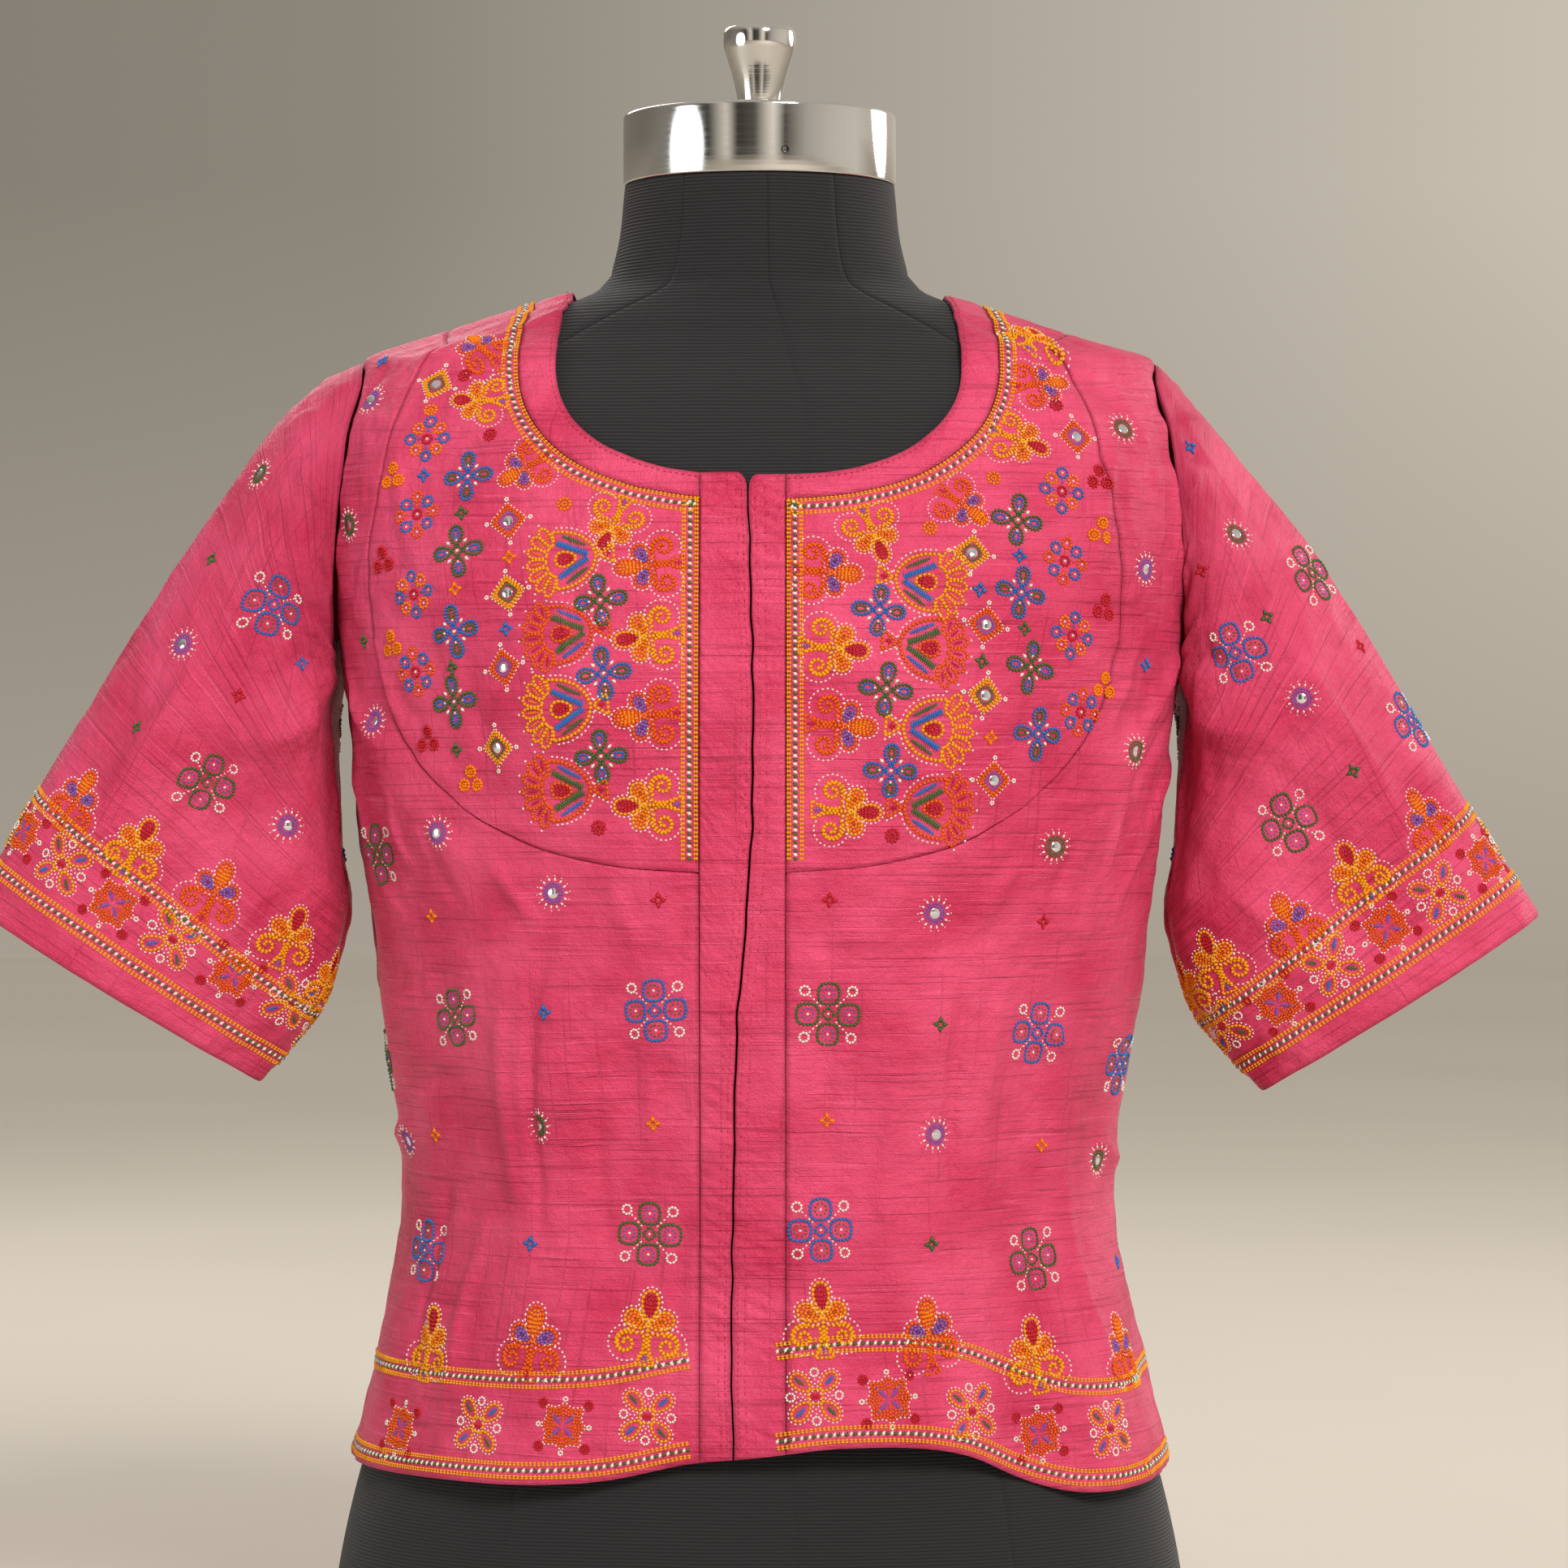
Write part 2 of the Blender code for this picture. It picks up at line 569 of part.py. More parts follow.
def make_front(side, word):
    """Placket, neck band, yoke and front of one side."""
    placket = PLACKET_RIGHT if side > 0 else PLACKET_LEFT
    neck = even(neck_curve(NECK_EDGE_HALF, NECK_EDGE_BOTTOM, NECK_POINT, side, side * placket), NECK_STEPS)
    band = even(neck_curve(BAND_EDGE_HALF, BAND_EDGE_BOTTOM, BAND_POINT, side, side * placket), NECK_STEPS)
    neck_height = float(cloth_height(neck[-1, 1]))
    band_height = float(cloth_height(band[-1, 1]))
    hem_at_placket = float(hem_height(placket))

    band_side = even(placket_edge(placket, band_height, neck_height), BAND_WIDE)
    yoke_side = even(placket_edge(placket, YOKE_BOTTOM, band_height), YOKE_PLACKET_STEPS)
    lower_side = even(placket_edge(placket, hem_at_placket, YOKE_BOTTOM), LOWER_STEPS)

    seam = yoke_seam(side)
    turn = int(len(seam) * YOKE_SEAM_TURN)
    seam_side = even(seam[: turn + 1], NECK_STEPS + YOKE_PLACKET_STEPS)
    seam_under = even(seam[turn:], YOKE_WIDE)
    seam_side[-1] = seam_under[0]
    seam_under[-1] = yoke_side[-1]

    heights = np.linspace(neck_height, hem_at_placket, SEAM_SAMPLES)
    middle = opening_x(heights) + side * OPENING_GAP / 2
    opening = place_across(middle, heights)
    opening[-1] = place_across(middle[-1], hem_height(middle[-1]))
    opening_top = place_across(np.array([middle[0], placket]), np.array([neck_height, neck_height]))
    opening_low = hem_run(middle[-1], placket)
    rows = BAND_WIDE + YOKE_PLACKET_STEPS + LOWER_STEPS
    placket_line = joined(band_side, yoke_side, lower_side)
    across_top = even(opening_top, BAND_WIDE)
    across_low = even(opening_low, BAND_WIDE)
    cloth_piece("placket_" + word, patch(even(opening, rows), placket_line, across_top, across_low))

    band_end = even(shoulder_run(NECK_POINT, BAND_POINT, side), BAND_WIDE)
    cloth_piece("neck_band_" + word, patch(band_end, band_side, neck, band))

    yoke_top = even(shoulder_run(BAND_POINT, YOKE_POINT, side), YOKE_WIDE)
    cloth_piece("yoke_" + word, patch(joined(band, yoke_side), seam_side, yoke_top, seam_under[::-1]))

    under = np.linspace(UNDERARM, BESIDE_YOKE[0], UNDERARM_STEPS + 1)
    beside = np.linspace(BESIDE_YOKE[0], BESIDE_YOKE[1], YOKE_WIDE + 1)
    low = np.linspace(BESIDE_YOKE[1], float(hem_height(side * HEM_HALF)), LOWER_STEPS + 1)
    armhole = armhole_run(side, False, ARMHOLE_STEPS)
    outer = joined(armhole, side_seam(side, under), side_seam(side, beside), side_seam(side, low))
    inner = joined(seam_side, seam_under, lower_side)
    front_top = even(shoulder_run(YOKE_POINT, SHOULDER_POINT, side), FRONT_WIDE)
    front_hem = even(hem_run(placket, side * HEM_HALF), FRONT_WIDE)
    cloth_piece("front_" + word, patch(inner, outer, front_top, front_hem))


def back_curve(height, point, steps):
    """Back neckline from the left shoulder seam to the right one."""
    top = float(cloth_height(station_at_shoulder(point)))
    x, z = round_edge(point, top, height)
    places = place_across(np.concatenate([-x[:-1], x[::-1]]), np.concatenate([z[:-1], z[::-1]]), False)
    places[0] = (-math.pi, float(station_at_shoulder(point)))
    places[-1] = (0.0, float(station_at_shoulder(point)))
    return even(places, steps)


def make_back():
    """Back and its neck band, from the left side seam round to the right one."""
    neck = back_curve(BACK_NECK_EDGE, NECK_POINT, BACK_NECK_STEPS)
    band = back_curve(BACK_BAND_EDGE, BAND_POINT, BACK_NECK_STEPS)
    left_top = even(shoulder_run(BAND_POINT, SHOULDER_POINT, 1), BACK_SHOULDER_STEPS)
    right_top = left_top.copy()
    left_top[:, 0] = -math.pi
    ends = even(shoulder_run(NECK_POINT, BAND_POINT, 1), BAND_WIDE)
    left_end = ends.copy()
    left_end[:, 0] = -math.pi
    cloth_piece("neck_band_back", patch(left_end, ends, neck, band))
    down = side_seam(1, np.linspace(UNDERARM, float(hem_height(HEM_HALF)), BACK_SIDE_STEPS + 1))
    right = joined(armhole_run(1, True, ARMHOLE_STEPS), down)
    left = right.copy()
    left[:, 0] = -math.pi - right[:, 0]
    across = joined(left_top[::-1], band, right_top)
    hem = even(hem_run(-HEM_HALF, HEM_HALF, front=False), len(across) - 1)
    hem[0] = left[-1]
    hem[-1] = right[-1]
    cloth_piece("back", wide_patch(left, right, across, hem))


def sleeve_sections(turn, word):
    """Rings of a sleeve's outer face, from the armhole to the cuff, as for the right side."""
    front = armhole_run(1, False, SEAM_SAMPLES)
    back = armhole_run(1, True, SEAM_SAMPLES)
    places = np.concatenate([front, back[::-1][1:]])
    rim = dressed_section(places[:, 0], places[:, 1])
    around = np.linspace(0.0, 2 * math.pi, len(rim))
    rings = [np.stack([np.interp(turn, around, rim[:, k]) for k in range(3)], axis=-1)]
    rings[0][..., 0] += SLEEVE_GAP
    for row in SLEEVE_ROWS[word]:
        size = dict(zip(SLEEVE_COLUMNS, row))
        outer = np.array([size["outer_x"], size["centre_y"], size["outer_z"]])
        inner = np.array([size["inner_x"], size["centre_y"], size["inner_z"]])
        power = 2.0 / size["squareness"]
        reach = np.sign(np.cos(turn)) * np.abs(np.cos(turn)) ** power
        depth = np.sign(np.sin(turn)) * np.abs(np.sin(turn)) ** power
        ring = (outer + inner) / 2 + reach[..., None] * (outer - inner) / 2
        ring[..., 1] -= size["half_depth"] * depth
        rings.append(ring)
    return np.array(rings)


def sleeve_point(turn, share, word):
    """A point on a sleeve's outer face, from its turn and its share of the length."""
    turn = np.asarray(turn, float)
    rings = sleeve_sections(turn % (2 * math.pi), word)
    knots = np.linspace(0.0, 1.0, len(rings)) ** 1.25
    slopes = np.gradient(rings, knots, axis=0)
    i = int(np.clip(np.searchsorted(knots, share, side="right") - 1, 0, len(knots) - 2))
    span = knots[i + 1] - knots[i]
    t = (share - knots[i]) / span
    return (
        (2 * t**3 - 3 * t**2 + 1) * rings[i]
        + (t**3 - 2 * t**2 + t) * span * slopes[i]
        + (3 * t**2 - 2 * t**3) * rings[i + 1]
        + (t**3 - t**2) * span * slopes[i + 1]
    )


def sleeve_facing(surface, turn, share, word):
    step = 0.004
    around = surface(turn + step, share, word) - surface(turn - step, share, word)
    down = surface(turn, min(share + step, 1.0), word) - surface(turn, max(share - step, 0.0), word)
    normal = np.cross(around, down)
    return normal / np.linalg.norm(normal, axis=-1, keepdims=True)


def folded_sleeve(turn, share, word):
    out = np.zeros(np.shape(turn))
    for a0, s0, a1, s1, half, rise in SLEEVE_FOLDS:
        along = (share - s0) / (s1 - s0)
        middle = a0 + (a1 - a0) * np.clip(along, 0.0, 1.0)
        side = np.radians(apart(turn, middle)) * SLEEVE_RADIUS
        ends = ramp(along, -0.2, 0.3) * (1.0 - ramp(along, 0.7, 1.3))
        out = out + rise * bump(side / half) * ends
    return sleeve_point(turn, share, word) + out[..., None] * sleeve_facing(sleeve_point, turn, share, word)


def make_sleeve(side, word):
    turn = np.arange(2 * ARMHOLE_STEPS) * math.pi / ARMHOLE_STEPS
    shares = np.linspace(0.0, 1.0, SLEEVE_STEPS + 1)
    outer = np.array([folded_sleeve(turn, share, word) for share in shares])
    inward = -np.array([sleeve_facing(folded_sleeve, turn, share, word) for share in shares])
    inward[0, :, 0] = np.maximum(inward[0, :, 0], 0.0)
    inward[0] /= np.linalg.norm(inward[0], axis=-1, keepdims=True)
    facing_side = np.array([side, 1.0, 1.0])
    wall("sleeve_" + word, outer * facing_side, (outer + inward * WALL) * facing_side, SILK, tube=True)


def main():
    for thing in list(bpy.data.objects):
        bpy.data.objects.remove(thing, do_unlink=True)
    make_form()
    make_back()
    for side, word in ((-1, "left"), (1, "right")):
        make_front(side, word)
        make_sleeve(side, word)


main()
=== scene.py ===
"""Choli blouse on a dress form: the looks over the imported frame.

Metres in Blender, millimetres in the shape tables. Left and right are as seen from the front,
and the front faces -Y. A place on the body's cloth is an angle round the body (0 at +X, 90
degrees at the front) and a station, the length up the side profile. A place on a sleeve is a turn
round it (0 on its upper edge, 90 degrees at the front) and a share of its length.
"""

import math

import bmesh
import bpy
import numpy as np
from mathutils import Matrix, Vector


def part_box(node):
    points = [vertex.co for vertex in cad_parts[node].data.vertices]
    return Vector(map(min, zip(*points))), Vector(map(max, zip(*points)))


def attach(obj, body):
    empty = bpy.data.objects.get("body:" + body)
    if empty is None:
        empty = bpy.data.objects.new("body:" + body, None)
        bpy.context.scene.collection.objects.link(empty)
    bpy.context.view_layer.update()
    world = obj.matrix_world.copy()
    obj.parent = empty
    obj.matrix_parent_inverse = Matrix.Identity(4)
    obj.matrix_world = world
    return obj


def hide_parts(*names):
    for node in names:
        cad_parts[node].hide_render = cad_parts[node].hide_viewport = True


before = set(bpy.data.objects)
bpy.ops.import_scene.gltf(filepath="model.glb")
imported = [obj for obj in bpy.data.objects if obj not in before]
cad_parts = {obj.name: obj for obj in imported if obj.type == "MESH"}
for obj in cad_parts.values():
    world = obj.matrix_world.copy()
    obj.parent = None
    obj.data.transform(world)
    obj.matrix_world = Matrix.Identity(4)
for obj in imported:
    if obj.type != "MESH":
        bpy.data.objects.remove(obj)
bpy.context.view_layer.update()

bl_info = {
    "name": "Choli blouse on a dress form", "version": (1, 0, 0), "blender": (4, 5, 0),
    "location": "View3D > Sidebar > Choli",
    "description": "Dresses the packed form in its slubbed silk, seams, stitches and embroidery",
    "category": "Object",
}

MM = 0.001

SEAM_GAP = 0.3
SLEEVE_GAP = 0.25
OPENING_GAP = 0.5

# Sections of the form from its base to the top of its neck, and how far the cloth's outer face
# stands off it. Squareness 2 is an ellipse, and more is boxier.
BODY_COLUMNS = (
    "height", "half_width", "front", "back", "squareness", "ease_side", "ease_front", "ease_back", "lift",
)
BODY_ROWS = (
    (0.0, 188.0, 120.0, 126.0, 2.3, 4.0, 6.0, 6.0, 0.0),
    (70.0, 184.0, 118.0, 125.0, 2.3, 4.0, 8.0, 6.0, 0.0),
    (110.0, 175.5, 114.0, 120.0, 2.3, 4.5, 9.0, 7.0, 0.0),
    (150.0, 163.0, 107.0, 111.0, 2.3, 7.5, 13.0, 10.0, 0.0),
    (190.0, 146.0, 99.0, 99.0, 2.25, 16.0, 18.0, 16.0, 0.0),
    (225.0, 133.0, 94.0, 89.0, 2.2, 22.0, 22.0, 21.0, 0.0),
    (258.0, 127.0, 92.0, 83.0, 2.2, 28.5, 25.0, 25.0, 0.0),
    (290.0, 130.0, 96.0, 82.0, 2.2, 30.5, 24.0, 25.0, 0.0),
    (325.0, 137.0, 104.0, 85.0, 2.2, 29.5, 19.0, 22.0, 0.0),
    (360.0, 144.0, 112.0, 89.0, 2.2, 26.5, 13.0, 17.0, 0.0),
    (400.0, 151.0, 119.0, 93.0, 2.25, 24.0, 7.0, 11.0, 0.0),
    (440.0, 157.0, 123.0, 97.0, 2.3, 22.5, 4.2, 7.0, 0.0),
    (475.0, 161.5, 120.0, 99.0, 2.4, 22.5, 3.6, 5.0, 0.0),
    (510.0, 165.0, 112.0, 98.0, 2.5, 23.0, 3.4, 3.8, 0.0),
    (545.0, 167.0, 100.0, 95.0, 2.6, 21.0, 3.2, 4.0, 0.0),
    (570.0, 167.0, 88.0, 89.0, 2.6, 16.5, 3.0, 6.0, 0.8),
    (584.0, 165.5, 80.0, 83.5, 2.4, 11.5, 3.0, 8.0, 2.4),
    (592.6, 161.5, 74.5, 78.5, 2.25, 10.0, 3.0, 8.4, 4.9),
    (598.2, 155.0, 71.5, 76.0, 2.2, 3.0, 3.0, 8.4, 4.0),
    (604.0, 140.8, 68.5, 73.5, 2.15, 1.2, 3.0, 7.8, 2.9),
    (612.1, 117.2, 65.5, 71.0, 2.15, 0.8, 3.0, 5.8, 2.5),
    (619.1, 95.2, 63.0, 68.5, 2.1, 0.8, 2.8, 3.4, 2.5),
    (624.0, 79.7, 62.0, 67.0, 2.05, 0.8, 2.8, 2.8, 2.5),
    (628.5, 70.5, 61.0, 65.0, 2.0, 0.8, 2.8, 2.8, 2.5),
    (634.5, 65.8, 60.5, 63.5, 2.0, 0.8, 2.8, 2.8, 2.5),
    (645.0, 62.5, 60.0, 61.5, 2.0, 0.8, 2.8, 2.8, 2.5),
    (674.0, 58.8, 58.8, 58.8, 2.0, 0.8, 2.8, 2.8, 2.5),
)

# A soft, general bust on the front of the form and the cloth
BUST_OUT = 5.0
BUST_HEIGHT = 448.0
BUST_APART = 78.0
BUST_SPREAD = 46.0

# Seams and edges, as heights and distances across the front
NECK_POINT = 80.5
BAND_POINT = 96.8
YOKE_POINT = 126.0
SHOULDER_POINT = 171.5
SHOULDER_ROWS = (17, 24)
NECK_WIDEST = 594.0
NECK_EDGE_HALF = 86.0
NECK_EDGE_BOTTOM = 543.3
BAND_EDGE_HALF = 102.0
BAND_EDGE_BOTTOM = 533.0
NECK_SQUARENESS = 2.35
BACK_NECK_EDGE = 609.0
BACK_BAND_EDGE = 594.5
UNDERARM = 475.0
ARMHOLE_FRONT = 47.0
ARMHOLE_BACK = 50.0
PLACKET_LEFT = -24.5
PLACKET_RIGHT = 11.4
YOKE_BOTTOM = 377.5
BESIDE_YOKE = (405.0, 350.0)
GARMENT_CENTRE = -6.5

# Where the front edges meet: height, distance across
OPENING_LINE = ((600.0, -6.0), (372.0, -4.0), (320.0, -8.5), (240.0, -10.5), (90.0, -10.5))

# Yoke seam from the shoulder to the placket: distance out from the garment's centre, height
YOKE_SEAM = (
    (133.0, 598.5), (139.5, 589.0), (146.0, 573.5), (151.5, 554.0), (156.5, 532.0), (160.0, 508.0),
    (159.0, 483.0), (154.0, 458.0), (144.0, 434.0), (122.0, 408.5), (91.0, 389.5), (55.0, 380.5),
)
YOKE_SEAM_TURN = 0.72

# Hem height across the front, and behind: distance across, height
HEM_FRONT = (
    (-178.0, 121.0), (-150.0, 121.5), (-60.0, 125.5), (-30.0, 132.0), (0.0, 135.0), (35.0, 139.0),
    (88.0, 134.0), (112.0, 124.0), (140.0, 115.5), (165.0, 116.5), (178.0, 120.0),
)
HEM_HALF = 180.0
HEM_BACK = ((-178.0, 120.0), (-95.0, 114.0), (-30.0, 121.0), (40.0, 116.0), (110.0, 121.0), (178.0, 120.0))

# Flares at the hem: angle round the body, half spread in degrees, how far out
HEM_FLARES = (
    (30.0, 14.0, 5.0), (52.0, 10.0, -5.0), (75.0, 14.0, 7.0), (101.0, 9.0, -4.5), (124.0, 14.0, 6.0),
    (150.0, 11.0, -4.0), (205.0, 14.0, 5.0), (232.0, 11.0, -5.0), (258.0, 13.0, 6.5), (284.0, 11.0, -5.0),
    (308.0, 12.0, 6.0), (334.0, 11.0, -3.5),
)
FLARE_LOW = 100.0
FLARE_TOP = 300.0
FLARE_FADE = 1.5

# Folds in the body of the cloth: angle and height where one starts and ends, half width, how far out
BODY_FOLDS = (
    (122.0, 345.0, 124.0, 190.0, 19.0, 5.0), (106.0, 330.0, 105.0, 200.0, 18.0, -3.5),
    (66.0, 340.0, 68.0, 200.0, 20.0, 4.5), (46.0, 335.0, 45.0, 210.0, 18.0, -3.5),
    (158.0, 452.0, 134.0, 372.0, 18.0, 4.0), (22.0, 452.0, 46.0, 372.0, 18.0, 4.0),
    (230.0, 400.0, 236.0, 200.0, 22.0, 5.0), (272.0, 380.0, 268.0, 190.0, 24.0, 5.0),
    (312.0, 400.0, 306.0, 200.0, 22.0, 5.0), (204.0, 440.0, 228.0, 360.0, 19.0, 4.0),
    (336.0, 440.0, 314.0, 360.0, 19.0, 4.0),
)
# The body's mean radius as a share of its half width, for the width of a fold
MEAN_RADIUS = 0.8

# Sleeve sections after the armhole, measured out from the middle of the body: outer point, inner
# point, half depth, centre in Y
SLEEVE_COLUMNS = ("outer_x", "outer_z", "inner_x", "inner_z", "half_depth", "centre_y", "squareness")
SLEEVE_ROWS = {
    "left": (
        (189.0, 590.0, 185.2, 458.0, 49.0, 0.5, 2.1),
        (213.0, 568.0, 186.0, 437.0, 49.0, 0.0, 2.1),
        (251.0, 513.0, 182.0, 390.0, 45.0, -2.0, 2.1),
        (281.0, 461.5, 178.0, 355.0, 41.0, -4.0, 2.1),
        (311.0, 415.0, 191.0, 317.0, 36.0, -6.0, 2.15),
        (342.5, 361.0, 217.5, 284.0, 29.0, -8.0, 2.2),
    ),
    "right": (
        (182.0, 587.5, 185.2, 458.0, 49.0, 0.5, 2.1),
        (200.0, 566.5, 185.6, 438.0, 49.0, 0.0, 2.1),
        (239.0, 518.0, 181.0, 391.0, 45.0, -2.0, 2.1),
        (273.0, 460.5, 176.5, 352.0, 41.0, -4.0, 2.1),
        (305.5, 408.0, 190.0, 313.5, 36.0, -6.0, 2.15),
        (339.5, 356.5, 219.0, 280.0, 29.0, -8.0, 2.2),
    ),
}

# Soft folds on a sleeve: turn from its upper edge (90 degrees at the front) and share of its length
# where one starts and ends, half width, how far out
SLEEVE_FOLDS = (
    (150.0, 0.14, 96.0, 0.50, 12.0, 5.0), (126.0, 0.10, 62.0, 0.34, 11.0, 4.0),
    (112.0, 0.40, 84.0, 0.86, 13.0, -4.0), (66.0, 0.46, 52.0, 0.90, 13.0, 4.0),
    (210.0, 0.14, 262.0, 0.52, 12.0, 5.0), (240.0, 0.42, 282.0, 0.86, 14.0, -4.0),
)

SLEEVE_RADIUS = 60.0

# Places along a seam and around a section while a shape is worked out
SEAM_SAMPLES = 240
LOOKUP_STEPS = 3000


# Cells beside a seam, in millimetres from it, and the radius that turns an angle into a length
BESIDE_SEAM = (0.6, 1.4, 2.6)
ROUND_RADIUS = 150.0
SLEEVE_LENGTH = 310.0

# Small sharp creases of the body's silk: angle and height where one starts and ends, half width, rise
CREASES = (
    (119.0, 352.0, 121.5, 212.0, 3.2, -1.6), (126.5, 340.0, 127.0, 225.0, 4.0, 1.1),
    (112.0, 300.0, 110.0, 205.0, 3.5, -0.9), (101.0, 352.0, 103.0, 240.0, 4.5, 0.9),
    (97.0, 262.0, 99.0, 175.0, 3.0, -0.8), (150.0, 322.0, 168.0, 304.0, 4.0, 1.3),
    (140.0, 290.0, 166.0, 276.0, 4.0, -1.1), (155.0, 268.0, 176.0, 256.0, 4.5, 1.2),
    (133.0, 318.0, 146.0, 300.0, 3.0, 0.8), (135.0, 235.0, 139.0, 150.0, 4.0, 1.0),
    (146.0, 250.0, 152.0, 150.0, 4.0, -1.2), (114.0, 200.0, 115.0, 140.0, 3.2, 0.9),
    (128.0, 385.0, 118.0, 352.0, 4.0, 1.2), (141.0, 398.0, 134.0, 360.0, 4.0, -1.0),
    (109.0, 376.0, 104.0, 345.0, 3.2, 0.9), (98.0, 372.0, 99.0, 335.0, 2.8, -0.7),
    (150.0, 415.0, 146.0, 375.0, 4.0, 1.2), (168.0, 468.0, 150.0, 430.0, 4.5, 1.5),
    (172.0, 450.0, 148.0, 402.0, 4.0, -1.2), (176.0, 428.0, 156.0, 385.0, 4.5, 1.3),
    (165.0, 400.0, 150.0, 352.0, 4.0, 0.9), (158.0, 560.0, 163.0, 500.0, 3.5, 1.0),
    (155.0, 590.0, 160.0, 560.0, 3.0, -0.7), (140.0, 560.0, 135.0, 500.0, 4.0, 0.8),
    (128.0, 470.0, 125.0, 410.0, 4.0, -0.7), (112.0, 515.0, 110.0, 450.0, 3.2, 0.6),
    (150.0, 480.0, 143.0, 430.0, 3.6, 0.8), (60.0, 352.0, 57.5, 215.0, 3.4, -1.3),
    (53.0, 345.0, 52.0, 230.0, 4.0, 1.0), (70.0, 300.0, 71.0, 200.0, 3.5, 0.9),
    (80.0, 350.0, 78.5, 240.0, 4.0, -0.9), (83.0, 250.0, 82.0, 175.0, 3.0, 0.8),
    (30.0, 320.0, 12.0, 303.0, 4.0, 1.2), (38.0, 288.0, 14.0, 274.0, 4.0, -1.0),
    (24.0, 262.0, 4.0, 252.0, 4.5, 1.1), (46.0, 316.0, 35.0, 300.0, 3.0, 0.8),
    (44.0, 235.0, 41.0, 150.0, 4.0, -1.0), (33.0, 250.0, 28.0, 150.0, 4.0, 1.2),
    (66.0, 200.0, 65.0, 140.0, 3.2, -0.9), (52.0, 384.0, 60.0, 350.0, 4.0, 1.2),
    (40.0, 398.0, 46.0, 362.0, 4.0, -1.0), (71.0, 376.0, 75.0, 344.0, 3.2, 0.9),
    (82.0, 372.0, 81.0, 333.0, 2.8, -0.7), (30.0, 414.0, 33.0, 372.0, 4.0, 1.1),
    (12.0, 468.0, 30.0, 430.0, 4.5, 1.5), (8.0, 450.0, 32.0, 402.0, 4.0, -1.2),
    (4.0, 428.0, 24.0, 385.0, 4.5, 1.3), (15.0, 400.0, 30.0, 352.0, 4.0, 0.9),
    (22.0, 560.0, 17.0, 500.0, 3.5, 1.0), (40.0, 560.0, 45.0, 500.0, 4.0, 0.8),
    (52.0, 470.0, 55.0, 410.0, 4.0, -0.7), (68.0, 515.0, 70.0, 450.0, 3.2, 0.6),
    (30.0, 480.0, 37.0, 430.0, 3.6, 0.8), (268.0, 560.0, 270.0, 470.0, 5.0, 1.2),
    (255.0, 540.0, 250.0, 440.0, 5.0, -1.1), (284.0, 545.0, 290.0, 450.0, 5.0, 1.1),
    (236.0, 500.0, 228.0, 410.0, 4.5, 1.2), (305.0, 500.0, 313.0, 410.0, 4.5, 1.2),
    (200.0, 468.0, 222.0, 428.0, 4.5, 1.5), (196.0, 445.0, 224.0, 398.0, 4.0, -1.2),
    (340.0, 468.0, 318.0, 428.0, 4.5, 1.5), (344.0, 445.0, 316.0, 398.0, 4.0, -1.2),
    (215.0, 322.0, 238.0, 300.0, 4.5, 1.3), (222.0, 290.0, 250.0, 276.0, 4.0, -1.1),
    (246.0, 318.0, 266.0, 304.0, 4.0, 1.2), (325.0, 322.0, 302.0, 300.0, 4.5, 1.3),
    (318.0, 288.0, 292.0, 274.0, 4.0, -1.1), (280.0, 300.0, 262.0, 286.0, 4.0, 1.0),
    (262.0, 262.0, 261.0, 160.0, 4.0, 1.1), (276.0, 270.0, 279.0, 165.0, 4.0, -1.0),
    (243.0, 250.0, 240.0, 150.0, 4.0, 1.1), (298.0, 250.0, 302.0, 150.0, 4.0, 1.1),
    (224.0, 240.0, 219.0, 150.0, 4.0, -1.0), (318.0, 240.0, 322.0, 150.0, 4.0, -1.0),
    (205.0, 250.0, 203.0, 155.0, 4.0, 1.0), (337.0, 250.0, 340.0, 155.0, 4.0, 1.0),
)
CREASES_MM = [
    (math.radians(a0) * ROUND_RADIUS, z0, math.radians(a1) * ROUND_RADIUS, z1, half, rise)
    for a0, z0, a1, z1, half, rise in CREASES
]

# The same on a sleeve: turn and share of the length where one starts and ends, half width, rise
SLEEVE_CREASES = (
    (150.0, 0.10, 100.0, 0.30, 3.5, 1.4), (146.0, 0.18, 92.0, 0.40, 3.2, -1.1),
    (138.0, 0.30, 86.0, 0.55, 3.6, 1.2), (120.0, 0.05, 88.0, 0.16, 2.8, 0.9),
    (100.0, 0.45, 80.0, 0.80, 3.0, -0.9), (70.0, 0.40, 60.0, 0.85, 3.6, 0.9),
    (50.0, 0.08, 30.0, 0.22, 3.0, 0.8), (86.0, 0.10, 60.0, 0.20, 2.4, 0.9),
    (64.0, 0.12, 48.0, 0.24, 2.2, -0.8), (125.0, 0.60, 110.0, 0.90, 3.0, 0.9),
    (205.0, 0.10, 262.0, 0.30, 3.5, 1.4), (212.0, 0.20, 268.0, 0.42, 3.2, -1.1),
    (222.0, 0.32, 276.0, 0.58, 3.6, 1.2), (262.0, 0.48, 282.0, 0.82, 3.0, -0.9),
    (292.0, 0.40, 300.0, 0.85, 3.6, 0.9), (310.0, 0.08, 330.0, 0.22, 3.0, 0.8),
    (236.0, 0.62, 250.0, 0.90, 3.0, 0.9), (168.0, 0.20, 172.0, 0.60, 4.0, 1.0),
    (186.0, 0.30, 190.0, 0.80, 4.0, -1.0), (20.0, 0.30, 14.0, 0.70, 4.0, 0.7),
    (345.0, 0.35, 350.0, 0.80, 4.0, -0.7),
)
SLEEVE_CREASES_MM = [
    (math.radians(a0) * SLEEVE_RADIUS, s0 * SLEEVE_LENGTH,
     math.radians(a1) * SLEEVE_RADIUS, s1 * SLEEVE_LENGTH, half, rise)
    for a0, s0, a1, s1, half, rise in SLEEVE_CREASES
]

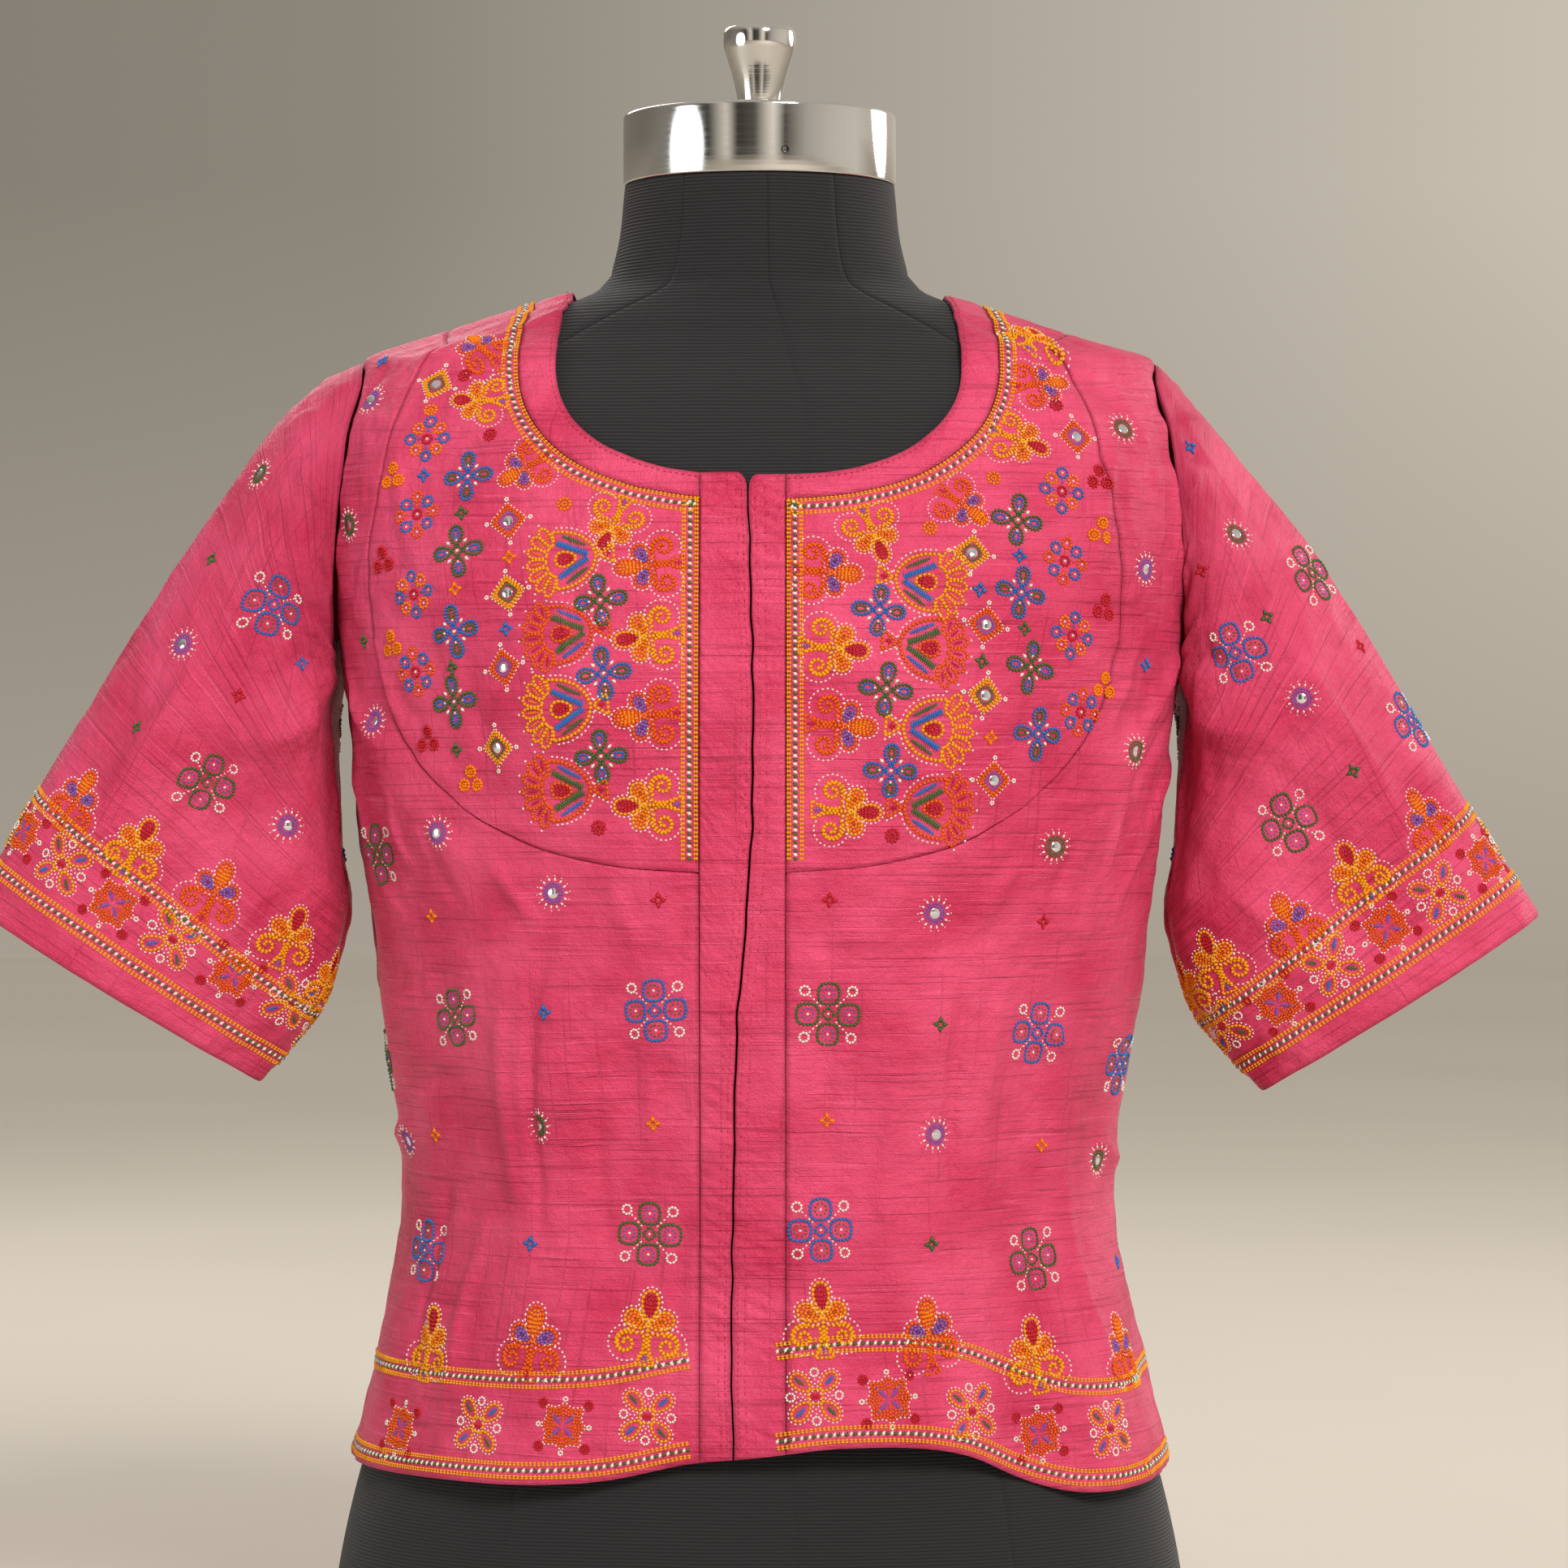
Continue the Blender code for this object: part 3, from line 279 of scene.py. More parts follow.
# Seams of the form's knitted cover, as angles round the body
COVER_SEAMS = (86.5, 57.0, 123.0, 0.0, 180.0, 237.0, 270.0, 303.0)

# Cells of the pieces that don't take the chosen size, in millimetres
YOKE_CELL = 1.9
PLACKET_CELL = 1.5
BAND_CELL = 1.4

# Machine stitching: out from the opening's edge and from the neck's, distance from one stitch to the
# next, and its length and width
OPENING_STITCHES = (2.4, 5.2)
NECK_STITCHES = 2.2
MACHINE_STITCH = (2.6, 2.0, 0.5)

# Chain lines of a braid, across its middle
BRAID_CHAINS = (-3.2, -2.3, 2.3, 3.2)

# A mirror's turned edge from behind: radius and height. Its sides and its colour, and the screw's colour
MIRROR_RINGS = ((2.2, -0.2), (2.2, 0.32), (1.95, 0.45))
MIRROR_SIDES = 16
MIRROR_COLOUR = (0.78, 0.80, 0.84)
STEEL_COLOUR = (0.05, 0.05, 0.05)

# The cap's small screw, in metres: how far across and high it sits, its radius and its depth
SCREW_PLACE = (0.0112, 0.6838)
SCREW_SIZE = (0.0017, 0.0016)

# Rings of the knob from its foot: radius and height in millimetres
KNOB_RINGS = (
    (9.6, 705.3), (9.2, 706.6), (9.3, 709.0), (10.0, 714.5), (11.2, 720.0), (12.7, 725.5), (14.3, 730.5),
    (15.2, 733.4), (15.7, 735.0), (15.8, 738.5), (15.7, 741.0), (15.2, 742.6), (14.4, 743.2),
)

# Half width and depth of the rounded notch at the top of the opening
NOTCH = (3.3, 7.0)

CAMERA_PLACE = (0.01065, -2.2, 0.430)
CAMERA_AIM = (0.01065, 0.0, 0.4132)
CAMERA_LENS = 115.47

# The photo's view of the model, in the upright plane through its middle: millimetres to a pixel, the
# pixel column of the frame's middle and the pixel row of the floor
PIXEL_SIZE = 0.355
MIDDLE_COLUMN = 966.0
FLOOR_ROW = 2130.0

# Nets of places in which a mark's place is looked up: steps round, steps along, and the body's lowest height
BODY_NET = (721, 701)
BODY_NET_LOW = 100.0
SLEEVE_NET = (361, 401)

# Braids: out from the band seam, lowest height beside the placket, heights above the hem, where the
# front ones start and end, and shares of the sleeve
BRAID_OUT = 4.0
BRAID_END = 381.0
HEM_BRAIDS = (6.0, 43.0)
FRONT_BRAIDS = ((-179.9, -28.5), (7.0, 179.9))
SLEEVE_LOW_BRAID = 0.935
SLEEVE_HIGH_BRAID = 0.82

# Lamps: name, place, size, the choice that sets the power, the share of it, colour
LAMPS = (
    ("key", (2.5, -5.8, 4.5), 2.3, "key_power", 1.0, (1.0, 0.965, 0.92)),
    ("fill", (-2.4, -1.2, 0.7), 1.6, "fill_power", 1.0, (0.93, 0.96, 1.0)),
    ("rim", (-0.9, 2.1, 1.9), 1.2, "fill_power", 1.0, (1.0, 0.98, 0.95)),
    ("rim_right", (1.9, 1.2, 1.1), 1.0, "fill_power", 0.7, (1.0, 0.98, 0.95)),
)
LAMP_AIM = (0.0, 0.0, 0.42)

# Colours of the room: above, where the floor ends, then from left to right behind the object, and
# in front of it
CEILING = (1.15, 1.08, 0.98)
SKIRTING = (0.78, 0.69, 0.57)
WALL_STOPS = (
    (0.0, (0.46, 0.41, 0.34)), (1.0, (1.28, 1.15, 0.97)), (0.3, (0.52, 0.47, 0.39)),
    (0.55, (0.80, 0.72, 0.61)),
)
FRONT_STOPS = (
    (0.0, (0.60, 0.56, 0.50)), (1.0, (1.60, 1.50, 1.32)), (0.16, (0.10, 0.09, 0.08)),
    (0.27, (1.90, 1.78, 1.56)), (0.34, (0.10, 0.09, 0.08)), (0.47, (0.24, 0.22, 0.19)),
    (0.6, (2.20, 2.05, 1.82)), (0.68, (0.16, 0.14, 0.12)), (0.82, (1.10, 1.03, 0.92)),
)


THREADS = ("marigold", "amber", "orange", "red", "blue", "green", "purple", "white", "silk_thread")

# How much larger each motif is worked than its chart
MOTIF_SCALES = {
    "palmette": 1.06, "pomegranate": 1.12, "square": 0.98, "diamond": 0.94, "cross": 1.1, "flower": 1.24,
    "sunburst": 0.95, "clover": 1.12, "star": 0.95, "rings": 1.3, "ring": 1.25,
}

# Marks of the motifs on the yokes, read from the photo, by kind and colouring: pixel column and
# row of each middle in its 1932 frame, then its turn where it isn't upright, its own scale, and how far it
# is moved along its turn, clear of the neck braid
YOKE_MARKS = {
    ("palmette", "o"): ((600, 425, 180, 0.97, 3.2), (663, 568, 208, 0.9, 6.8), (797, 698, 180),
        (797, 882, 180), (1275, 472, -8, 0.97, 3.2), (1172, 612, -32, 0.9, 6.8), (1022, 705, 0),
        (1038, 895, 0),),
    ("palmette", "y"): ((597, 490, 190, 0.97, 3.2), (758, 640, 240, 0.97, 3.2), (797, 785, 180),
        (797, 992, 180), (1262, 415, 0, 0.97, 3.2), (1250, 540, -22, 0.97, 3.2),
        (1073, 648, -62, 0.97, 3.2), (1032, 800, 0), (1045, 1000, 0),),
    ("pomegranate", "y"): ((695, 690, 180), (690, 875, 180), (1143, 716, 0), (1153, 900, 0),),
    ("pomegranate", "o"): ((690, 782, 180), (690, 975, 180), (1148, 800, 0), (1152, 997, 0),),
    ("diamond", "g"): ((537, 473), (625, 730), (612, 922), (1198, 683), (1215, 858),),
    ("diamond", "p"): ((626, 640), (620, 822), (1325, 540), (1215, 770), (1225, 962),),
    ("cross", "g"): ((740, 738), (740, 932), (563, 678), (557, 865), (1092, 848), (1253, 640),
        (1270, 822),),
    ("cross", "b"): ((742, 828), (575, 585), (560, 777), (1083, 752), (1097, 950), (1257, 730),
        (1280, 905),),
    ("flower", "y"): ((525, 540), (508, 733), (1308, 605), (1322, 782),),
    ("flower", "o"): ((513, 633), (510, 828), (1312, 692), (1330, 878),),
    ("rings", "y"): ((485, 587), (483, 795), (578, 962), (1355, 655), (1358, 845),),
    ("rings", "r"): ((470, 690), (525, 912), (1355, 590), (1360, 748),),
    ("ring", "r"): ((572, 462), (603, 535), (738, 1020), (1098, 1030), (1300, 500),),
    ("ring", "y"): ((530, 505), (694, 620), (1145, 650), (1225, 590),),
    ("star", "b"): ((520, 584), (622, 775), (1207, 726), (1255, 686),),
    ("star", "g"): ((568, 632), (555, 822), (560, 925), (1212, 815), (1262, 775),),
    ("star", "o"): ((625, 686), (560, 727), (1210, 640), (1222, 910),),
}

# The same on the fronts
FRONT_MARKS = {
    ("star", "b"): ((675, 1246), (660, 1532), (470, 444), (1373, 1555), (1410, 820),),
    ("star", "o"): ((803, 1385), (537, 1398), (530, 1130), (1019, 1382), (1287, 1412),),
    ("star", "r"): ((812, 1110), (1287, 1135), (1023, 1110),),
    ("star", "g"): ((445, 790), (1157, 1262), (1143, 1532),),
    ("sunburst", "p"): ((457, 492), (466, 888), (545, 1025), (681, 1101), (507, 1405), (1153, 1125),
        (1151, 1398), (1413, 702),),
    ("sunburst", "g"): ((428, 648), (671, 1385), (1387, 527), (1388, 925), (1298, 1042), (1352, 1430),),
    ("clover", "b"): ((808, 1246), (525, 1540), (1285, 1275), (1010, 1515), (1380, 1312),),
    ("clover", "g"): ((560, 1255), (797, 1523), (470, 1052), (1022, 1250), (1275, 1553), (482, 1305),),
    ("square", "b"): ((487, 1760), (697, 1757), (1093, 1725), (1287, 1768),),
    ("square", "a"): ((592, 1757), (795, 1747), (1003, 1720), (1197, 1740), (1360, 1762),),
    ("palmette", "y"): ((525, 1655, 90, 1.16), (797, 1635, 90, 1.16), (1013, 1625, 90, 1.16),
        (1277, 1670, 90, 1.16),),
    ("palmette", "o"): ((660, 1655, 90, 1.16), (1143, 1645, 90, 1.16), (1375, 1665, 90, 1.16),),
}

# Motifs of the back, which the photo doesn't show: distance across and height. Squares and palmettes
# give no height, because they follow the hem
BACK_MOTIFS = {
    ("sunburst", "p"): ((-128, 566), (44, 562), (0, 442), (-130, 316), (44, 314),),
    ("sunburst", "g"): ((-44, 560), (126, 566), (-90, 446), (92, 446), (-44, 312), (130, 316),),
    ("clover", "b"): ((-86, 528), (86, 528), (-46, 400), (136, 404), (-86, 268), (88, 268),),
    ("clover", "g"): ((0, 522), (-134, 404), (46, 402), (2, 264),),
    ("star", "g"): ((-132, 488), (90, 360), (46, 230),),
    ("star", "b"): ((-44, 484), (0, 356), (-44, 228),),
    ("star", "r"): ((44, 486), (-90, 360), (134, 232),), ("star", "o"): ((132, 488), (-132, 232),),
    ("square", "a"): ((-156, 0), (-84, 0), (0, 0), (84, 0), (156, 0),),
    ("square", "b"): ((-122, 0), (-43, 0), (43, 0), (122, 0),),
    ("palmette", "y"): ((-146, 0, 90, 1.12), (-49, 0, 90, 1.12), (49, 0, 90, 1.12), (146, 0, 90, 1.12),),
    ("palmette", "o"): ((-98, 0, 90, 1.12), (0, 0, 90, 1.12), (98, 0, 90, 1.12),),
}

# The same on the left sleeve
SLEEVE_LEFT_MARKS = {
    ("star", "g"): ((260, 688), (175, 898),), ("star", "b"): ((374, 818),), ("star", "r"): ((295, 857),),
    ("sunburst", "g"): ((319, 583),), ("sunburst", "p"): ((226, 795), (355, 1018),),
    ("clover", "b"): ((337, 745),), ("clover", "g"): ((253, 963),),
    ("palmette", "o"): ((97, 985), (265, 1100),), ("palmette", "y"): ((170, 1045), (357, 1155),),
    ("square", "b"): ((30, 1025), (138, 1113), (287, 1200),),
    ("square", "a"): ((78, 1065), (212, 1157), (360, 1235),),
}

# The same on the right sleeve
SLEEVE_RIGHT_MARKS = {
    ("star", "b"): ((1467, 551),), ("star", "r"): ((1480, 702), (1675, 797),),
    ("star", "g"): ((1560, 760), (1663, 951),), ("sunburst", "p"): ((1602, 860),),
    ("sunburst", "g"): ((1522, 658),), ("clover", "g"): ((1618, 705), (1587, 1015),),
    ("clover", "b"): ((1522, 805), (1735, 890),), ("palmette", "o"): ((1755, 1010), (1590, 1140),),
    ("palmette", "y"): ((1673, 1075), (1497, 1185),),
    ("square", "b"): ((1830, 1060), (1710, 1143), (1573, 1238),),
    ("square", "a"): ((1773, 1100), (1642, 1190), (1505, 1265),),
}

# Motifs behind both sleeves, hidden in the photo: turn round it and hundredths of its length
SLEEVE_BACK_MOTIFS = {
    ("clover", "g"): ((215, 30), (284, 50),), ("sunburst", "g"): ((262, 36), (306, 64),),
    ("clover", "b"): ((305, 28), (255, 63),), ("star", "r"): ((240, 47),), ("star", "g"): ((330, 46),),
    ("sunburst", "p"): ((215, 58),), ("star", "b"): ((345, 62), (190, 46),),
    ("palmette", "y"): ((168, 74.5), (240, 76.2), (300, 76.2),),
    ("palmette", "o"): ((206, 76.2), (270, 76.2), (332, 76.2),),
    ("square", "a"): ((186, 85.5), (242, 87.2), (294, 87.2), (355, 87.2),),
    ("square", "b"): ((216, 87.2), (268, 87.2), (322, 87.2),),
}


def placed(name, data):
    """A new object at the origin, in the scene."""
    made = bpy.data.objects.new(name, data)
    bpy.context.scene.collection.objects.link(made)
    return made


def column(columns, rows, name):
    return np.array([row[columns.index(name)] for row in rows])


def smooth(knots, values, at):
    """Values of a smooth curve through the knots, whose slopes come from the neighbours."""
    knots = np.asarray(knots, float)
    values = np.asarray(values, float)
    at = np.clip(np.asarray(at, float), knots[0], knots[-1])
    slopes = np.gradient(values, knots)
    i = np.clip(np.searchsorted(knots, at, side="right") - 1, 0, len(knots) - 2)
    span = knots[i + 1] - knots[i]
    t = (at - knots[i]) / span
    return (
        (2 * t**3 - 3 * t**2 + 1) * values[i]
        + (t**3 - 2 * t**2 + t) * span * slopes[i]
        + (3 * t**2 - 2 * t**3) * values[i + 1]
        + (t**3 - t**2) * span * slopes[i + 1]
    )


def bump(distance):
    """A soft hump that is 1 at its middle and fades to nothing."""
    return np.exp(-np.asarray(distance) ** 2)


def ramp(value, low, high):
    t = np.clip((value - low) / (high - low), 0.0, 1.0)
    return t * t * (3 - 2 * t)


ROW = {name: column(BODY_COLUMNS, BODY_ROWS, name) for name in BODY_COLUMNS}
STATIONS = np.concatenate(([0.0], np.cumsum(np.hypot(np.diff(ROW["height"]), np.diff(ROW["half_width"])))))


def body_size(name, station):
    return smooth(STATIONS, ROW[name], station)


def cloth_height(station):
    return body_size("height", station) + body_size("lift", station)


def cloth_half(station):
    return body_size("half_width", station) + body_size("ease_side", station)


def section_point(angle, station, dressed):
    """A point on the form, or on the cloth's outer face before its folds."""
    angle = np.asarray(angle, float)
    worn = 1.0 if dressed else 0.0
    ahead = np.sin(angle) >= 0
    power = 2.0 / body_size("squareness", station)
    half = body_size("half_width", station) + worn * body_size("ease_side", station)
    front = body_size("front", station) + worn * body_size("ease_front", station)
    back = body_size("back", station) + worn * body_size("ease_back", station)
    height = body_size("height", station) + worn * body_size("lift", station)
    across = half * np.sign(np.cos(angle)) * np.abs(np.cos(angle)) ** power
    depth = np.abs(np.sin(angle)) ** power
    swell = BUST_OUT * bump((np.abs(across) - BUST_APART) / BUST_SPREAD)
    swell = swell * bump((height - BUST_HEIGHT) / BUST_SPREAD) * ramp(np.sin(angle), 0.0, 0.5)
    y = np.where(ahead, -front * depth - swell, back * depth)
    return np.stack(np.broadcast_arrays(across, y, height), axis=-1)


def facing(surface, angle, station):
    """Outward unit normal of a surface that is given as a function of angle and station."""
    turn = 0.004
    step = 0.6
    across = surface(angle + turn, station) - surface(angle - turn, station)
    low = np.clip(station - step, STATIONS[0], STATIONS[-1])
    high = np.clip(station + step, STATIONS[0], STATIONS[-1])
    up = surface(angle, high) - surface(angle, low)
    normal = np.cross(up, across)
    return normal / np.linalg.norm(normal, axis=-1, keepdims=True)


def apart(angle, other):
    """Smallest turn between two angles, in degrees."""
    return (np.degrees(angle) - other + 180.0) % 360.0 - 180.0


def fold_height(angle, station):
    """How far folds push the cloth out at a place."""
    height = cloth_height(station)
    girth = cloth_half(station)
    out = np.zeros(np.broadcast(angle, station).shape)
    fade = (1.0 - ramp(height, FLARE_LOW, FLARE_TOP)) ** FLARE_FADE
    for where, spread, rise in HEM_FLARES:
        out = out + rise * fade * bump(apart(angle, where) / spread)
    for a0, z0, a1, z1, half, rise in BODY_FOLDS:
        along = (z0 - height) / (z0 - z1)
        middle = a0 + (a1 - a0) * np.clip(along, 0.0, 1.0)
        side = np.radians(apart(angle, middle)) * girth * MEAN_RADIUS
        ends = ramp(along, -0.15, 0.3) * (1.0 - ramp(along, 0.7, 1.2))
        out = out + rise * bump(side / half) * ends
    return out


def dressed_section(angle, station):
    return section_point(angle, station, True)


def cloth_point(angle, station):
    """A point on the cloth's outer face."""
    angle = np.asarray(angle, float)
    station = np.asarray(station, float)
    push = fold_height(angle, station)[..., None]
    return dressed_section(angle, station) + push * facing(dressed_section, angle, station)


def station_at_height(height):
    dense = np.linspace(STATIONS[0], STATIONS[-1], LOOKUP_STEPS)
    return np.interp(height, cloth_height(dense), dense)


def station_at_shoulder(half):
    """Station on the shoulder slope where the cloth is this wide."""
    dense = np.linspace(STATIONS[SHOULDER_ROWS[0]], STATIONS[SHOULDER_ROWS[1]], LOOKUP_STEPS)
    return np.interp(-np.asarray(half), -cloth_half(dense), dense)


def place_across(x, height, front=True):
    """Angle and station of the cloth's place at a distance across and a height."""
    station = station_at_height(height)
    share = np.clip(np.abs(x) / cloth_half(station), 0.0, 1.0)
    cosine = np.sign(x) * share ** (body_size("squareness", station) / 2.0)
    angle = np.arccos(cosine)
    return np.stack([angle if front else -angle, station], axis=-1)


def place_beside(y, height, side):
    """Angle and station of the cloth's place at a depth and a height, near one side."""
    station = station_at_height(height)
    depth = np.where(
        y < 0, body_size("front", station) + body_size("ease_front", station),
        body_size("back", station) + body_size("ease_back", station),
    )
    turn = np.arcsin(np.clip((np.abs(y) / depth) ** (body_size("squareness", station) / 2.0), 0.0, 1.0))
    turn = np.where(y < 0, turn, -turn)
    return np.stack([turn if side > 0 else np.pi - turn, station], axis=-1)


def even(places, steps):
    """The places along a seam again, at equal lengths on the cloth."""
    places = np.asarray(places, float)
    points = cloth_point(places[:, 0], places[:, 1])
    length = np.concatenate(([0.0], np.cumsum(np.linalg.norm(np.diff(points, axis=0), axis=1))))
    at = np.linspace(0.0, length[-1], steps + 1)
    return np.stack([np.interp(at, length, places[:, k]) for k in (0, 1)], axis=-1)


def joined(*runs):
    """Runs of places end to end, each starting where the last one stops."""
    return np.concatenate([runs[0]] + [run[1:] for run in runs[1:]])


def round_edge(half, top, bottom):
    """Quarter of a rounded edge, from its widest place down to its middle."""
    turn = np.linspace(0.0, math.pi / 2, SEAM_SAMPLES)
    x = half * np.cos(turn) ** (2 / NECK_SQUARENESS)
    return x, top - (top - bottom) * np.sin(turn) ** (2 / NECK_SQUARENESS)


def neck_curve(half, bottom, point, side, end_x):
    """Round front neckline from the shoulder seam down to the placket."""
    top = float(cloth_height(station_at_shoulder(point)))
    start = math.acos(point / half)
    upper = np.linspace(-start, 0.0, SEAM_SAMPLES)[:-1]
    x, z = round_edge(half, NECK_WIDEST, bottom)
    end_z = np.interp(end_x, x[::-1], z[::-1])
    x = np.concatenate([half * np.cos(upper), x])
    z = np.concatenate([NECK_WIDEST - (top - NECK_WIDEST) / math.sin(start) * np.sin(upper), z])
    keep = x > end_x
    places = place_across(side * np.append(x[keep], end_x), np.append(z[keep], end_z))
    places[0] = (0.0 if side > 0 else math.pi, float(station_at_shoulder(point)))
    return places


def placket_edge(x, low, high):
    heights = np.linspace(high, low, SEAM_SAMPLES)
    return place_across(np.full(SEAM_SAMPLES, x), heights)


def opening_x(height):
    rows = np.array(OPENING_LINE)[::-1]
    return smooth(rows[:, 0], rows[:, 1], height)


def hem_height(x, front=True):
    rows = np.array(HEM_FRONT if front else HEM_BACK)
    return smooth(rows[:, 0], rows[:, 1], x)


def hem_run(start, end, front=True):
    """Places along the hem between two distances across."""
    ends = [math.asin(np.clip(x / HEM_HALF, -1.0, 1.0)) for x in (start, end)]
    x = HEM_HALF * np.sin(np.linspace(ends[0], ends[1], SEAM_SAMPLES))
    return place_across(x, hem_height(x, front), front)


def shoulder_run(start, end, side):
    """Places along the shoulder seam between two distances out."""
    half = np.linspace(start, end, SEAM_SAMPLES)
    angle = np.full(SEAM_SAMPLES, 0.0 if side > 0 else math.pi)
    return np.stack([angle, station_at_shoulder(half)], axis=-1)


def side_seam(side, heights):
    angle = np.full(len(heights), 0.0 if side > 0 else math.pi)
    return np.stack([angle, station_at_height(np.asarray(heights))], axis=-1)


def armhole_run(side, behind, steps):
    """Half of the armhole, from the shoulder point down to the underarm."""
    turn = np.linspace(0.0, math.pi, steps + 1)
    top = cloth_height(station_at_shoulder(SHOULDER_POINT))
    middle = (top + UNDERARM) / 2
    height = middle + (top - middle) * np.cos(turn)
    depth = (ARMHOLE_BACK if behind else -ARMHOLE_FRONT) * np.sin(turn)
    return place_beside(depth, height, side)


def yoke_seam(side):
    """The curved seam under the yoke, from the shoulder to the placket."""
    out = np.array([row[0] for row in YOKE_SEAM])
    height = np.array([row[1] for row in YOKE_SEAM])
    placket = PLACKET_RIGHT if side > 0 else PLACKET_LEFT
    out = np.append(GARMENT_CENTRE + side * out, placket)
    height = np.append(height, YOKE_BOTTOM)
    start = shoulder_run(YOKE_POINT, YOKE_POINT, side)[:1]
    knots = np.concatenate([start, place_across(out, height)])
    points = cloth_point(knots[:, 0], knots[:, 1])
    length = np.concatenate(([0.0], np.cumsum(np.linalg.norm(np.diff(points, axis=0), axis=1))))
    at = np.linspace(0.0, length[-1], SEAM_SAMPLES)
    return np.stack([smooth(length, knots[:, k], at) for k in (0, 1)], axis=-1)


def taken(edge, shares):
    """Places of a seam again, at shares of its run."""
    at = np.linspace(0.0, 1.0, len(edge))
    return np.stack([np.interp(shares, at, edge[:, k]) for k in (0, 1)], axis=-1)


def close_shares(length, cell):
    """Shares of a length, one cell apart and closer beside its two ends, where the seams are."""
    inner = np.linspace(0.0, 1.0, max(int(length / cell), 4) + 1)
    near = np.array(BESIDE_SEAM) / length
    inner = inner[(inner > near[-1] + 0.5 * cell / length) & (inner < 1.0 - near[-1] - 0.5 * cell / length)]
    return np.concatenate([[0.0], near, inner, 1.0 - near[::-1], [1.0]])


def run_length(edge):
    points = cloth_point(edge[:, 0], edge[:, 1])
    return float(np.linalg.norm(np.diff(points, axis=0), axis=1).sum())


def patch(first, last, top, bottom, cell):
    """Grid of places between four edges. first and last run down, top and bottom run across."""
    s = close_shares(max(run_length(first), run_length(last)), cell)
    t = close_shares(max(run_length(top), run_length(bottom)), cell)
    first, last = taken(first, s)[:, None], taken(last, s)[:, None]
    top, bottom = taken(top, t)[None], taken(bottom, t)[None]
    s, t = s[:, None, None], t[None, :, None]
    ruled = (1 - t) * first + t * last + (1 - s) * top + s * bottom
    corners = (
        (1 - s) * (1 - t) * first[:1] + (1 - s) * t * last[:1] + s * (1 - t) * first[-1:] + s * t * last[-1:]
    )
    return ruled - corners


def wide_patch(first, last, top, bottom, cell):
    """A patch from one armhole to the other, whose rows bend to the armholes only near them."""
    s = close_shares(run_length(first), cell)
    t = close_shares(run_length(bottom), cell)
    first, last = taken(first, s), taken(last, s)
    top, bottom = taken(top, t), taken(bottom, t)
    s, t = s[:, None], t[None, :, None]
    settle = ramp(s, 0.0, 0.3)
    angle = (1 - settle) * top[None, :, 0] + settle * bottom[None, :, 0]
    station = (1 - s) * top[None, :, 1] + s * bottom[None, :, 1]
    loft = np.stack([angle, station], axis=-1)
    return loft + (first[:, None] - loft[:, :1]) * (1 - t) ** 3 + (last[:, None] - loft[:, -1:]) * t**3


def back_curve(height, point, steps):
    """Back neckline from the left shoulder seam to the right one."""
    top = float(cloth_height(station_at_shoulder(point)))
    x, z = round_edge(point, top, height)
    places = place_across(np.concatenate([-x[:-1], x[::-1]]), np.concatenate([z[:-1], z[::-1]]), False)
    places[0] = (-math.pi, float(station_at_shoulder(point)))
    places[-1] = (0.0, float(station_at_shoulder(point)))
    return even(places, steps)


def sleeve_sections(turn, word):
    """Rings of a sleeve's outer face, from the armhole to the cuff, as for the right side."""
    front = armhole_run(1, False, SEAM_SAMPLES)
    back = armhole_run(1, True, SEAM_SAMPLES)
    places = np.concatenate([front, back[::-1][1:]])
    rim = dressed_section(places[:, 0], places[:, 1])
    around = np.linspace(0.0, 2 * math.pi, len(rim))
    rings = [np.stack([np.interp(turn, around, rim[:, k]) for k in range(3)], axis=-1)]
    rings[0][..., 0] += SLEEVE_GAP
    for row in SLEEVE_ROWS[word]:
        size = dict(zip(SLEEVE_COLUMNS, row))
        outer = np.array([size["outer_x"], size["centre_y"], size["outer_z"]])
        inner = np.array([size["inner_x"], size["centre_y"], size["inner_z"]])
        power = 2.0 / size["squareness"]
        reach = np.sign(np.cos(turn)) * np.abs(np.cos(turn)) ** power
        depth = np.sign(np.sin(turn)) * np.abs(np.sin(turn)) ** power
        ring = (outer + inner) / 2 + reach[..., None] * (outer - inner) / 2
        ring[..., 1] -= size["half_depth"] * depth
        rings.append(ring)
    return np.array(rings)


def sleeve_point(turn, share, word):
    """Points on a sleeve's smooth outer face, as for the right side."""
    turn, share = np.broadcast_arrays(np.asarray(turn, float), np.asarray(share, float))
    rings = sleeve_sections(turn % (2 * math.pi), word)
    knots = np.linspace(0.0, 1.0, len(rings)) ** 1.25
    slopes = np.gradient(rings, knots, axis=0)
    i = np.clip(np.searchsorted(knots, share, side="right") - 1, 0, len(knots) - 2)
    span = (knots[i + 1] - knots[i])[..., None]
    t = (share - knots[i])[..., None] / span
    low, high = (np.take_along_axis(rings, (i + k)[None, ..., None], axis=0)[0] for k in (0, 1))
    rise, fall = (np.take_along_axis(slopes, (i + k)[None, ..., None], axis=0)[0] for k in (0, 1))
    return (
        (2 * t**3 - 3 * t**2 + 1) * low
        + (t**3 - 2 * t**2 + t) * span * rise
        + (3 * t**2 - 2 * t**3) * high
        + (t**3 - t**2) * span * fall
    )


def sleeve_facing(surface, turn, share, word):
    step = 0.004
    around = surface(turn + step, share, word) - surface(turn - step, share, word)
    down = surface(turn, np.minimum(share + step, 1.0), word)
    down = down - surface(turn, np.maximum(share - step, 0.0), word)
    normal = np.cross(around, down)
    return normal / np.linalg.norm(normal, axis=-1, keepdims=True)


